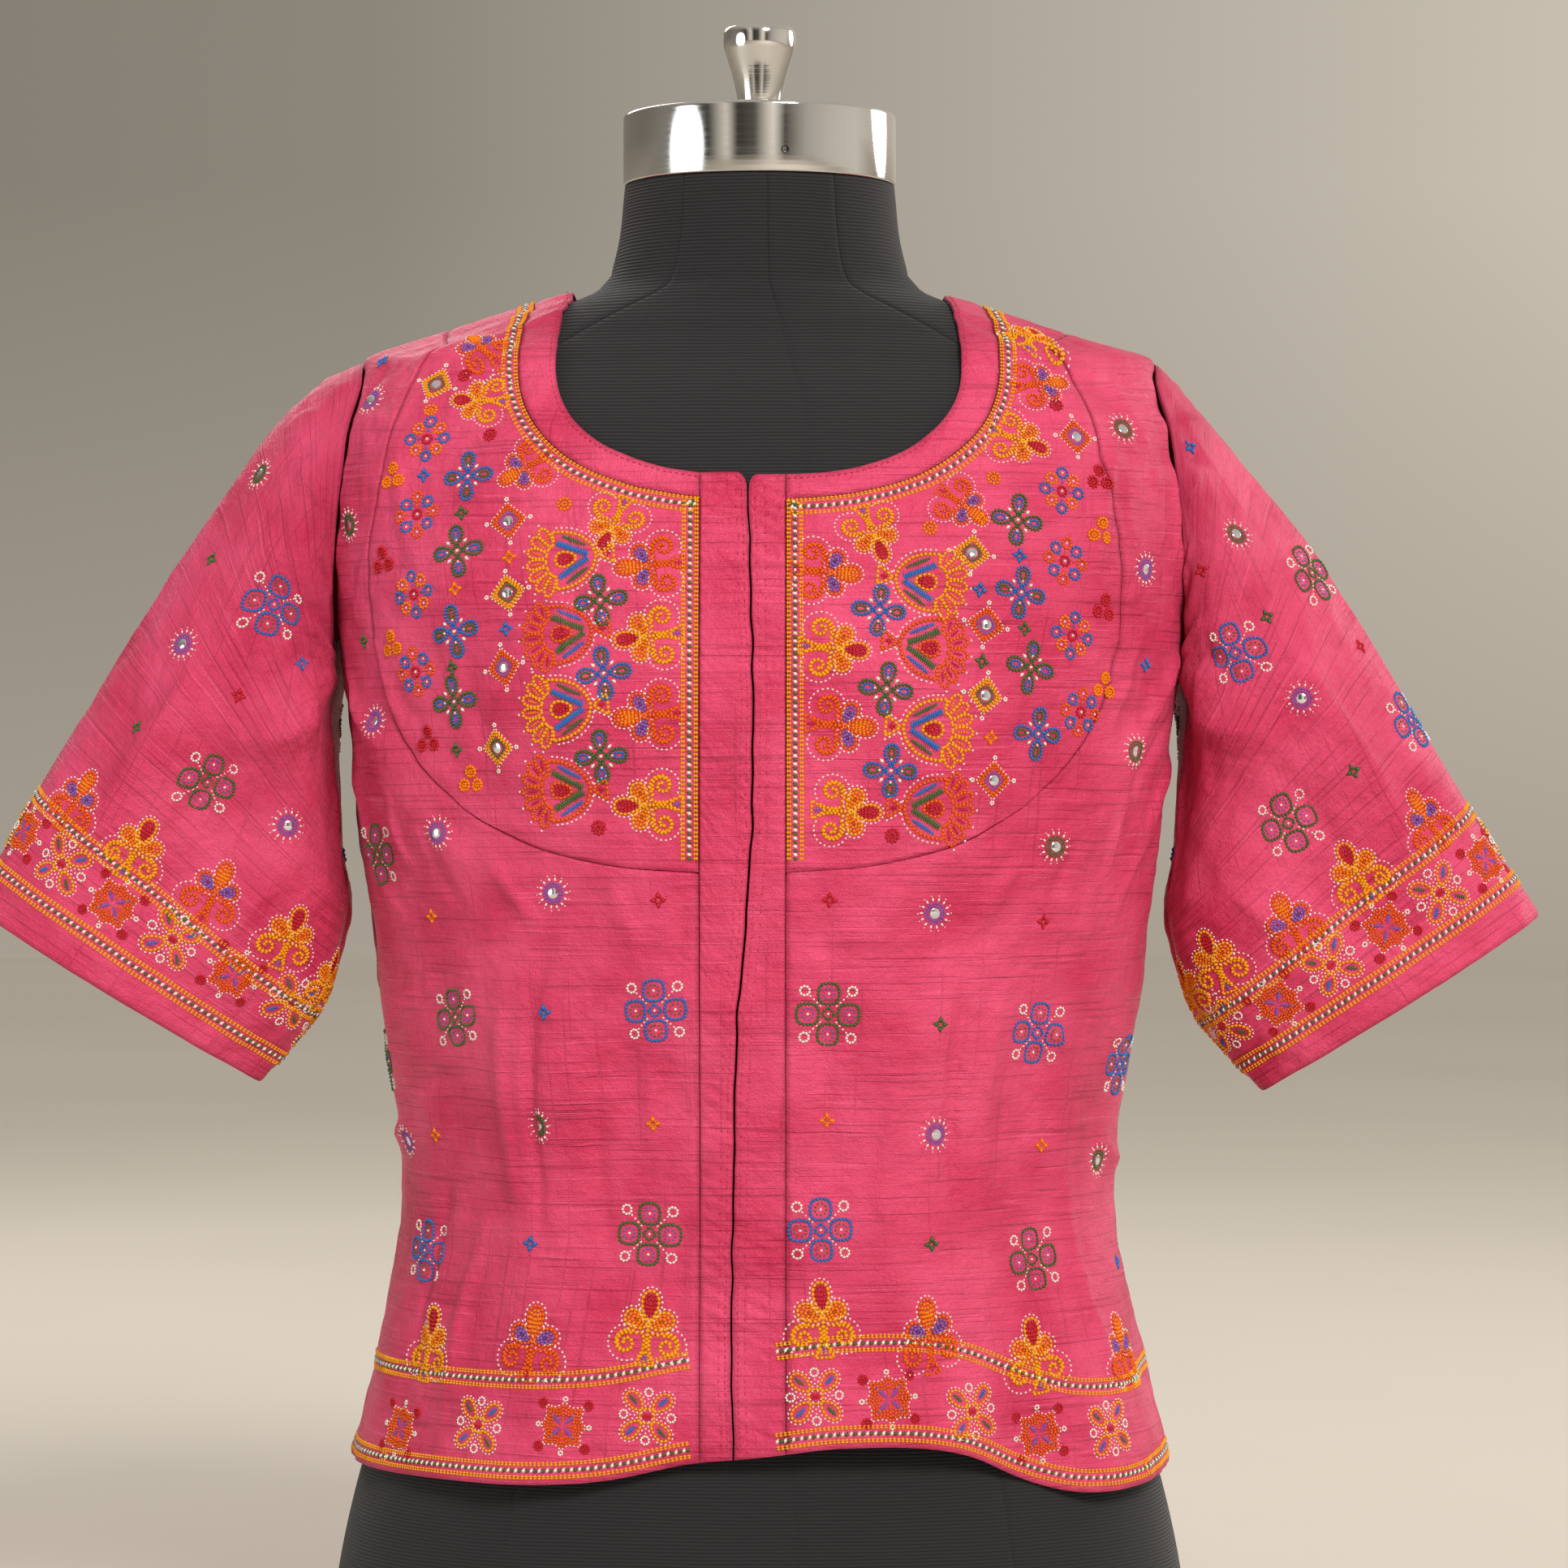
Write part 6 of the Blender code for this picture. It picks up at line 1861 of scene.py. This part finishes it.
def line_rows(surface, path, offset, step, length, width, threads, slant=0.0):
    """Stitches along a seam, moved aside from it. Their threads take turns."""
    path = np.asarray(path, float)
    points = surface(path[:, 0], path[:, 1])
    run = np.concatenate([[0.0], np.cumsum(np.linalg.norm(np.diff(points, axis=0), axis=1))])
    count = max(int(run[-1] / step), 1)
    middle = (np.arange(count) + 0.5) * run[-1] / count
    place = [np.interp(middle, run, path[:, k]) for k in (0, 1)]
    normal, right, up = cloth_axes(surface, place[0], place[1])
    ahead = np.stack([np.interp(middle, run, np.gradient(points[:, k], run)) for k in range(3)], axis=-1)
    aside = np.cross(normal, ahead)
    right_way, up_way = true_axes(surface, place[0], place[1], normal)
    ahead = np.stack([np.sum(ahead * right_way, axis=-1), np.sum(ahead * up_way, axis=-1)], axis=-1)
    aside = np.stack([np.sum(aside * right_way, axis=-1), np.sum(aside * up_way, axis=-1)], axis=-1)
    c, s = math.cos(slant), math.sin(slant)
    along = c * ahead + s * aside
    ends = []
    for way in (-0.5, 0.5):
        move = offset * aside + way * length * along
        ends.append(np.stack(place, axis=-1) + move[:, :1] * right + move[:, 1:] * up)
    thread = np.array([THREADS.index(threads[k % len(threads)]) for k in range(count)], float)
    return [ends[0], ends[1], np.full(count, float(width)), thread]


def true_axes(surface, first, second, normal):
    step = SURFACE_STEP[surface]
    lift = SURFACE_UP[surface] * (surface(first, second + step / 2) - surface(first, second - step / 2))
    up = lift - np.sum(lift * normal, axis=-1, keepdims=True) * normal
    up /= np.linalg.norm(up, axis=-1, keepdims=True)
    return np.cross(up, normal), up


def braid_rows(surface, path, side):
    """The braid: a double chain line on each side of short slanted stitches, beside a seam."""
    parts = [line_rows(surface, path, side + out, 1.8, 2.1, 1.25, ("marigold",)) for out in BRAID_CHAINS]
    parts.append(line_rows(surface, path, side, 1.7, 3.0, 1.7, ("white", "green"), slant=1.1))
    return [np.concatenate(part) for part in zip(*parts)]


def stitch_mesh(name, surface, rows, node):
    """One mesh of raised stitches on the cloth, a closed spindle for each."""
    start, end, width, thread = rows
    first = surface(start[:, 0], start[:, 1])
    last = surface(end[:, 0], end[:, 1])
    middle = (start + end) / 2
    normal = SURFACE_OUTWARD[surface](middle[:, 0], middle[:, 1])
    centre = surface(middle[:, 0], middle[:, 1])
    along = last - first
    along /= np.maximum(np.linalg.norm(along, axis=-1, keepdims=True), 1e-6)
    aside = np.cross(normal, along)
    width = width[:, None]
    points = np.stack(
        [
            first - 0.12 * normal,
            last - 0.12 * normal,
            centre + aside * width / 2 + 0.12 * normal,
            centre - aside * width / 2 + 0.12 * normal,
            centre + normal * (0.16 + 0.42 * width),
            centre - 0.35 * normal,
        ],
        axis=1,
    )
    faces = [(0, 4, 2), (2, 4, 1), (1, 4, 3), (3, 4, 0), (0, 2, 5), (2, 1, 5), (1, 3, 5), (3, 0, 5)]
    corners = (np.array(faces)[None] + 6 * np.arange(len(points))[:, None, None]).reshape(-1, 3)
    mesh = bpy.data.meshes.new(name)
    mesh.vertices.add(len(points) * 6)
    mesh.vertices.foreach_set("co", (points.reshape(-1) * MM).astype(np.float32))
    mesh.loops.add(corners.size)
    mesh.loops.foreach_set("vertex_index", corners.astype(np.int32).ravel())
    mesh.polygons.add(len(corners))
    mesh.polygons.foreach_set("loop_start", np.arange(0, corners.size, 3, dtype=np.int32))
    used = sorted(set(thread.astype(int)))
    for k in used:
        mesh.materials.append(thread_material(THREADS[k]))
    order = np.array([used.index(int(k)) for k in thread])
    mesh.polygons.foreach_set("material_index", np.repeat(order, 8).astype(np.int32))
    mesh.update(calc_edges=True)
    mesh.shade_smooth()
    made = placed(name, mesh)
    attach(made, "root")
    return made


def thread_material(name):
    choice = bpy.context.scene.choli_thread
    return bpy.data.materials.get("thread_" + name) or thread_finish("thread_" + name, getattr(choice, name))


def set_mirrors(name, surface, places):
    """Small round mirrors, each a thin disc with a turned edge."""
    points, faces = [], []
    first = np.array([row[0] for row in places], float)
    second = np.array([row[1] for row in places], float)
    normal, _, _ = cloth_axes(surface, first, second)
    right, up = true_axes(surface, first, second, normal)
    centre = surface(first, second)
    turn = np.arange(MIRROR_SIDES) * 2 * math.pi / MIRROR_SIDES
    for k in range(len(places)):
        base = len(points)
        for radius, height in MIRROR_RINGS:
            for t in turn:
                out = math.cos(t) * right[k] + math.sin(t) * up[k]
                points.append(centre[k] + radius * out + height * normal[k])
        for ring_at in (base, base + MIRROR_SIDES):
            for i in range(MIRROR_SIDES):
                j = (i + 1) % MIRROR_SIDES
                corners = (i, j, MIRROR_SIDES + j, MIRROR_SIDES + i)
                faces.append(tuple(ring_at + corner for corner in corners))
        faces.append(tuple(base + i for i in reversed(range(MIRROR_SIDES))))
        faces.append(tuple(base + 2 * MIRROR_SIDES + i for i in range(MIRROR_SIDES)))
    mesh = bpy.data.meshes.new(name)
    mesh.from_pydata((np.array(points) * MM).tolist(), [], faces)
    mesh.shade_smooth()
    mesh.set_sharp_from_angle(angle=math.radians(30))
    made = placed(name, mesh)
    glass = bpy.data.materials.get("mirror") or polished_finish("mirror", MIRROR_COLOUR, 0.05)
    mesh.materials.append(glass)
    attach(made, "root")
    return made


def sleeve_left_silk(turn, share):
    return sleeve_silk(turn, share, "left")


def sleeve_right_silk(turn, share):
    return sleeve_silk(turn, share, "right")


def body_outward(angle, station):
    return facing(dressed_section, angle, station)


def sleeve_left_outward(turn, share):
    return sleeve_facing(sleeve_point, turn, share, "left") * np.array([-1.0, 1.0, 1.0])


def sleeve_right_outward(turn, share):
    return sleeve_facing(sleeve_point, turn, share, "right")


# For each cloth surface: the step between two places, which way is up, and its outward normal
SURFACE_STEP = {silk_point: 1.0, sleeve_left_silk: 0.004, sleeve_right_silk: 0.004}
SURFACE_UP = {silk_point: 1.0, sleeve_left_silk: -1.0, sleeve_right_silk: -1.0}
SURFACE_OUTWARD = {
    silk_point: body_outward, sleeve_left_silk: sleeve_left_outward,
    sleeve_right_silk: sleeve_right_outward,
}


def listed(table):
    """Rows of a motif table: both values of the middle, turn, scale, the chart's name and how far out."""
    rows = []
    for name, places in table.items():
        for first, second, *rest in places:
            turn, scale, out = (*rest, *(90.0, MOTIF_SCALES[name[0]], 0.0)[len(rest):])
            rows.append((first, second, turn, scale, name, out))
    return rows


def in_photo(points):
    """Pixel column and row of the photo at which the camera sees each point."""
    eye = np.array(CAMERA_PLACE) / MM
    near = -eye[1] / (points[..., 1] - eye[1])
    across = (points[..., 0] - eye[0]) * near
    height = eye[2] + (points[..., 2] - eye[2]) * near
    return MIDDLE_COLUMN + across / PIXEL_SIZE, FLOOR_ROW - height / PIXEL_SIZE


def marked_places(table, surface, outward, round_steps, along_steps):
    """Motif rows at the places of a surface that the camera sees at the table's marks."""
    first, second = (values.ravel() for values in np.meshgrid(round_steps, along_steps))
    points = surface(first, second)
    seen = np.sum(outward(first, second) * (np.array(CAMERA_PLACE) / MM - points), axis=-1) > 0
    first, second = first[seen], second[seen]
    columns, heights = in_photo(points[seen])
    rows = []
    for column, row, turn, scale, name, out in listed(table):
        across = out * math.cos(math.radians(turn)) / PIXEL_SIZE
        up = out * math.sin(math.radians(turn)) / PIXEL_SIZE
        at = np.argmin(np.hypot(columns - column - across, heights - row + up))
        rows.append((first[at], second[at], turn, scale, name))
    return rows


def marked_on_body(table):
    around = np.linspace(0.0, math.pi, BODY_NET[0])
    ends = float(station_at_height(BODY_NET_LOW)), float(station_at_shoulder(NECK_POINT))
    stations = np.linspace(*ends, BODY_NET[1])
    return marked_places(table, dressed_section, body_outward, around, stations)


def marked_on_sleeve(table, word, outward):
    """Places on a smooth sleeve, set on its own side of the body."""
    own_side = np.array([-1.0 if word == "left" else 1.0, 1.0, 1.0])
    around = np.linspace(0.0, 2 * math.pi, SLEEVE_NET[0])
    shares = np.linspace(0.0, 1.0, SLEEVE_NET[1])
    return marked_places(
        table, lambda turn, share: sleeve_point(turn, share, word) * own_side, outward, around, shares
    )


def body_places(rows, front=True):
    """Motif rows at distances across and heights, as places on the body's silk."""
    x, height = (np.array([row[k] for row in rows], float) for k in (0, 1))
    places = place_across(x, height, front)
    return [(angle, station, *row[2:5]) for (angle, station), row in zip(places, rows)]


def sleeve_places(table):
    return [(math.radians(turn), share / 100, *rest[:3]) for turn, share, *rest in listed(table)]


def with_mirror(places):
    return [row for row in places if row[4][0] in {"diamond", "sunburst"}]


def embroider(name, surface, places, lines):
    """Works motifs and lines of stitches into one mesh, and sets its mirrors."""
    parts = [sewn_rows(surface, places, motif_charts())] if places else []
    rows = [np.concatenate(part) for part in zip(*parts, *lines)]
    made = stitch_mesh("stitches_" + name, surface, rows, name)
    mirrored = with_mirror(places)
    if mirrored:
        set_mirrors("mirrors_" + name, surface, mirrored)
    return made


def braid_round_neck(edges):
    """The line that the front braid follows: round the band's seam, then down beside the placket."""
    down = edges["yoke_side"]
    height = cloth_height(down[:, 1])
    return even(joined(edges["band"], down[height > BRAID_END]), 240)


def hem_line(start, end, above, front=True):
    """Places at a height above the hem, between two distances across. HEM_HALF reaches the side seam."""
    ends = [math.asin(np.clip(x / HEM_HALF, -1.0, 1.0)) for x in (start, end)]
    share = np.sin(np.linspace(ends[0], ends[1], 241))
    height = hem_height(HEM_HALF * share, front) + above
    edge = np.where(np.abs(share) > 0.9, cloth_half(station_at_height(height)) / HEM_HALF, 1.0)
    edge = 1.0 + (edge - 1.0) * np.abs(share) ** 6
    return place_across(HEM_HALF * share * edge, height, front)


def back_places():
    """The back's motifs, those of its hem band raised from the hem's own height."""
    rise = {"square": 24.5, "palmette": 62.5}
    rows = []
    for x, height, turn, scale, name, _ in listed(BACK_MOTIFS):
        if name[0] in rise:
            height = float(hem_height(x, False)) + rise[name[0]]
        rows.append((x, height, turn, scale, name))
    return body_places(rows, False)


def colour_choice(name, words, default):
    return bpy.props.FloatVectorProperty(
        name=name, description=words, subtype="COLOR", size=3, min=0.0, max=1.0, default=default
    )


def length_choice(name, words, default, least, most):
    return bpy.props.FloatProperty(
        name=name, description=words, default=default, min=least, max=most, unit="LENGTH"
    )


class ChoiceOfCloth(bpy.types.PropertyGroup):
    """Colours and sizes of the blouse's silk."""

    silk: colour_choice("Silk", "Main colour of the silk", (0.61, 0.026, 0.096))
    # The deep silk is the colour between the yarns, and at half strength the painted shade in the seams
    silk_deep: colour_choice("Deep silk", "Colour between the yarns and in the seams", (0.28, 0.004, 0.028))
    # The light silk is the colour of the slubs, and also paints soft patches of sheen over the cloth
    silk_light: colour_choice("Light silk", "Colour of slubs and worn patches", (0.83, 0.100, 0.22))
    slubs: bpy.props.FloatProperty(
        name="Slubs", description="How strongly thick yarns show", default=1.0, min=0.0, max=2.0,
        subtype="FACTOR",
    )
    cloth_wall: length_choice("Cloth thickness", "Thickness of the shown silk", 0.0011, 0.0006, 0.0016)
    seam_depth: length_choice("Seam depth", "How far the silk rolls in at a seam", 0.0007, 0.0, 0.002)
    cell: length_choice("Cell", "Size of the cloth's cells", 0.0024, 0.0015, 0.01)


class ChoiceOfThread(bpy.types.PropertyGroup):
    """Colours of the embroidery threads."""

    marigold: colour_choice("Marigold", "Chain outlines of most motifs", (0.86, 0.36, 0.006))
    amber: colour_choice("Amber", "Petals and small rings", (0.86, 0.22, 0.004))
    orange: colour_choice("Orange red", "Outlines of the other colouring", (0.78, 0.115, 0.006))
    red: colour_choice("Red", "Hearts and petal fillings", (0.54, 0.016, 0.028))
    blue: colour_choice("Blue", "Blue fillings and lobes", (0.02, 0.17, 0.52))
    green: colour_choice("Green", "Dark green fillings", (0.06, 0.15, 0.04))
    purple: colour_choice("Purple", "Purple fillings", (0.26, 0.11, 0.42))
    white: colour_choice("White", "Dotted outlines and rays", (0.85, 0.79, 0.70))
    silk_thread: colour_choice("Pink thread", "Machine stitching of the seams", (0.62, 0.045, 0.11))


class ChoiceOfForm(bpy.types.PropertyGroup):
    """Colours of the form and its metal."""

    knit: colour_choice("Knit", "Colour of the form's knitted cover", (0.017, 0.0165, 0.0185))
    metal: colour_choice("Metal", "Colour of the cap and knob", (0.66, 0.64, 0.61))


class ChoiceOfStage(bpy.types.PropertyGroup):
    """The floor and the light."""

    floor: colour_choice("Floor", "Colour of the floor", (0.66, 0.61, 0.54))
    key_power: bpy.props.FloatProperty(
        name="Key light", description="Power of the large soft light", default=450.0, min=0.0, unit="POWER"
    )
    fill_power: bpy.props.FloatProperty(
        name="Fill light", description="Power of the weak light on the left", default=15.0, min=0.0,
        unit="POWER",
    )
    sky: bpy.props.FloatProperty(
        name="Surroundings", description="Strength of the light all round", default=0.5, min=0.0,
        subtype="FACTOR",
    )


def silk(context):
    choice = context.scene.choli_cloth
    return bpy.data.materials.get("slubbed_silk") or silk_finish("slubbed_silk", choice, choice.slubs)


class BuildForm(bpy.types.Operator):
    """Pads the form and turns its cap, knob and screw"""

    bl_idname = "choli.build_form"
    bl_label = "Dress form"

    def execute(self, context):
        choice = context.scene.choli_form
        pad_form(knit_finish("form_cover", choice))
        chrome = polished_finish("chrome", choice.metal, 0.07)
        turn_cap(chrome)
        turn_knob(chrome)
        turn_screw(polished_finish("dark_steel", STEEL_COLOUR, 0.35))
        return {"FINISHED"}


class SewPlackets(bpy.types.Operator):
    """Sews the two front edges that meet at the opening"""

    bl_idname = "choli.sew_plackets"
    bl_label = "Plackets"

    def execute(self, context):
        choice = context.scene.choli_cloth
        for side, word in ((-1, "left"), (1, "right")):
            edges = front_edges(side)
            top, low = edges["opening_top"], edges["opening_low"]
            places = patch(edges["opening"], edges["placket_line"], top, low, PLACKET_CELL)
            sew_body_piece("placket_" + word, places, choice, silk(context), placket_puckers)
        return {"FINISHED"}


class SewNeckBand(bpy.types.Operator):
    """Sews the plain band round the neck"""

    bl_idname = "choli.sew_neck_band"
    bl_label = "Neck band"

    def execute(self, context):
        choice = context.scene.choli_cloth
        for side, word in ((-1, "left"), (1, "right")):
            edges = front_edges(side)
            places = patch(edges["band_end"], edges["band_side"], edges["neck"], edges["band"], BAND_CELL)
            sew_body_piece("neck_band_" + word, places, choice, silk(context), band_ridges)
        edges = back_edges()
        places = patch(edges["left_end"], edges["ends"], edges["neck"], edges["band"], BAND_CELL)
        sew_body_piece("neck_band_back", places, choice, silk(context), band_ridges)
        return {"FINISHED"}


class SewYokes(bpy.types.Operator):
    """Sews the two rounded chest pieces"""

    bl_idname = "choli.sew_yokes"
    bl_label = "Yokes"

    def execute(self, context):
        choice = context.scene.choli_cloth
        for side, word in ((-1, "left"), (1, "right")):
            edges = front_edges(side)
            places = patch(joined(edges["band"], edges["yoke_side"]), edges["seam_side"], edges["yoke_top"],
                           edges["seam_under"][::-1], YOKE_CELL)
            sew_body_piece("yoke_" + word, places, choice, silk(context))
        return {"FINISHED"}


class SewFronts(bpy.types.Operator):
    """Sews the rest of each front, from the yoke's seam to the side seam and hem"""

    bl_idname = "choli.sew_fronts"
    bl_label = "Fronts"

    def execute(self, context):
        choice = context.scene.choli_cloth
        for side, word in ((-1, "left"), (1, "right")):
            edges = front_edges(side)
            top, low = edges["front_top"], edges["front_hem"]
            places = patch(edges["inner"], edges["outer"], top, low, choice.cell / MM)
            sew_body_piece("front_" + word, places, choice, silk(context))
        return {"FINISHED"}


class SewBack(bpy.types.Operator):
    """Sews the back, from side seam to side seam"""

    bl_idname = "choli.sew_back"
    bl_label = "Back"

    def execute(self, context):
        choice = context.scene.choli_cloth
        edges = back_edges()
        cell = choice.cell / MM * 1.1
        places = wide_patch(edges["left"], edges["right"], edges["across"], edges["hem"], cell)
        sew_body_piece("back", places, choice, silk(context))
        return {"FINISHED"}


class SewSleeves(bpy.types.Operator):
    """Sews the two set-in sleeves"""

    bl_idname = "choli.sew_sleeves"
    bl_label = "Sleeves"

    def execute(self, context):
        for word in ("left", "right"):
            sew_sleeve(word, context.scene.choli_cloth, silk(context))
        return {"FINISHED"}


def machine_rows(path, beside):
    """Machine stitches beside a path."""
    return line_rows(silk_point, path, beside, *MACHINE_STITCH, ("silk_thread",))


class TopStitch(bpy.types.Operator):
    """Runs the machine stitching beside the opening and round the neck"""

    bl_idname = "choli.top_stitch"
    bl_label = "Machine stitching"

    def execute(self, context):
        rows = []
        for side in (-1, 1):
            edges = front_edges(side)
            for gap in OPENING_STITCHES:
                rows.append(machine_rows(edges["opening"], side * gap))
            rows.append(machine_rows(edges["neck"], side * NECK_STITCHES))
        rows.append(machine_rows(back_edges()["neck"], NECK_STITCHES))
        embroider("seams", silk_point, (), rows)
        return {"FINISHED"}


class EmbroiderYokes(bpy.types.Operator):
    """Works the motifs of the yokes and the braid round the neck"""

    bl_idname = "choli.embroider_yokes"
    bl_label = "Yoke embroidery"

    def execute(self, context):
        lines = []
        for side in (-1, 1):
            edges = front_edges(side)
            lines.append(braid_rows(silk_point, braid_round_neck(edges), side * BRAID_OUT))
        embroider("yokes", silk_point, marked_on_body(YOKE_MARKS), lines)
        return {"FINISHED"}


class EmbroiderFronts(bpy.types.Operator):
    """Works the scattered motifs of the fronts and their hem band"""

    bl_idname = "choli.embroider_fronts"
    bl_label = "Front embroidery"

    def execute(self, context):
        lines = []
        for ends in FRONT_BRAIDS:
            for height in HEM_BRAIDS:
                lines.append(braid_rows(silk_point, hem_line(ends[0], ends[1], height), 0.0))
        embroider("fronts", silk_point, marked_on_body(FRONT_MARKS), lines)
        return {"FINISHED"}


class EmbroiderBack(bpy.types.Operator):
    """Works the motifs of the back, its hem band and the braid behind the neck"""

    bl_idname = "choli.embroider_back"
    bl_label = "Back embroidery"

    def execute(self, context):
        lines = [braid_rows(silk_point, back_edges()["band"], BRAID_OUT)]
        for height in HEM_BRAIDS:
            path = hem_line(-HEM_HALF + 0.1, HEM_HALF - 0.1, height, False)
            lines.append(braid_rows(silk_point, path, 0.0))
        embroider("back", silk_point, back_places(), lines)
        return {"FINISHED"}


class EmbroiderSleeves(bpy.types.Operator):
    """Works the motifs and the hem bands of both sleeves"""

    bl_idname = "choli.embroider_sleeves"
    bl_label = "Sleeve embroidery"

    def execute(self, context):
        turn = np.linspace(0.0, 2 * math.pi, 161)
        lines_at = (SLEEVE_LOW_BRAID, SLEEVE_HIGH_BRAID)
        for word, surface, table in (
            ("left", sleeve_left_silk, SLEEVE_LEFT_MARKS),
            ("right", sleeve_right_silk, SLEEVE_RIGHT_MARKS),
        ):
            paths = [np.stack([turn, np.full(161, at)], axis=-1) for at in lines_at]
            lines = [braid_rows(surface, path, 0.0) for path in paths]
            places = marked_on_sleeve(table, word, SURFACE_OUTWARD[surface])
            embroider("sleeve_" + word, surface, places + sleeve_places(SLEEVE_BACK_MOTIFS), lines)
        return {"FINISHED"}


class SetStage(bpy.types.Operator):
    """Lays the floor and sets the lights and the camera"""

    bl_idname = "choli.set_stage"
    bl_label = "Floor, light and camera"

    def execute(self, context):
        choice = context.scene.choli_stage
        deselect_all()
        bpy.ops.mesh.primitive_plane_add(size=16.0, location=(0.0, 0.0, -0.0005))
        floor = context.object
        place_in_mesh(floor, "floor")
        floor.data.materials.append(floor_finish("floor", choice.floor))
        context.scene.world = room_light("surroundings", choice.sky)
        context.scene.view_settings.view_transform = "Standard"
        for name, place, size, power, share, colour in LAMPS:
            soft_light(name, place, Vector(LAMP_AIM), size, getattr(choice, power) * share, colour)
        eye = bpy.data.cameras.new("camera")
        eye.sensor_width = 36.0
        eye.lens = CAMERA_LENS
        camera = bpy.data.objects.new("camera", eye)
        camera.location = CAMERA_PLACE
        camera.rotation_euler = (Vector(CAMERA_AIM) - camera.location).to_track_quat("-Z", "Y").to_euler()
        context.scene.collection.objects.link(camera)
        context.scene.camera = camera
        return {"FINISHED"}


STEPS = (BuildForm, SewYokes, SewPlackets, SewNeckBand, SewFronts, SewBack, SewSleeves, TopStitch,
         EmbroiderYokes, EmbroiderFronts, EmbroiderBack, EmbroiderSleeves, SetStage)
CHOICES = (ChoiceOfCloth, ChoiceOfThread, ChoiceOfForm, ChoiceOfStage)


class CholiPanel(bpy.types.Panel):
    """Lists the blouse's pieces and its choices"""

    bl_idname = "VIEW3D_PT_choli"
    bl_label = "Choli blouse"
    bl_space_type = "VIEW_3D"
    bl_region_type = "UI"
    bl_category = "Choli"

    def draw(self, context):
        for step in STEPS:
            self.layout.operator(step.bl_idname)
        scene = context.scene
        for choice in (scene.choli_cloth, scene.choli_thread, scene.choli_form, scene.choli_stage):
            for name in choice.bl_rna.properties.keys():
                if name not in {"rna_type", "name"}:
                    self.layout.prop(choice, name)


def register():
    for made in (*CHOICES, *STEPS, CholiPanel):
        bpy.utils.register_class(made)
    bpy.types.Scene.choli_cloth = bpy.props.PointerProperty(type=ChoiceOfCloth)
    bpy.types.Scene.choli_thread = bpy.props.PointerProperty(type=ChoiceOfThread)
    bpy.types.Scene.choli_form = bpy.props.PointerProperty(type=ChoiceOfForm)
    bpy.types.Scene.choli_stage = bpy.props.PointerProperty(type=ChoiceOfStage)


def unregister():
    del bpy.types.Scene.choli_stage
    del bpy.types.Scene.choli_form
    del bpy.types.Scene.choli_thread
    del bpy.types.Scene.choli_cloth
    for made in (CholiPanel, *reversed(STEPS), *reversed(CHOICES)):
        bpy.utils.unregister_class(made)


def main():
    register()
    for step in STEPS:
        family, name = step.bl_idname.split(".")
        getattr(getattr(bpy.ops, family), name)()
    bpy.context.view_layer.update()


if __name__ == "__main__":
    main()
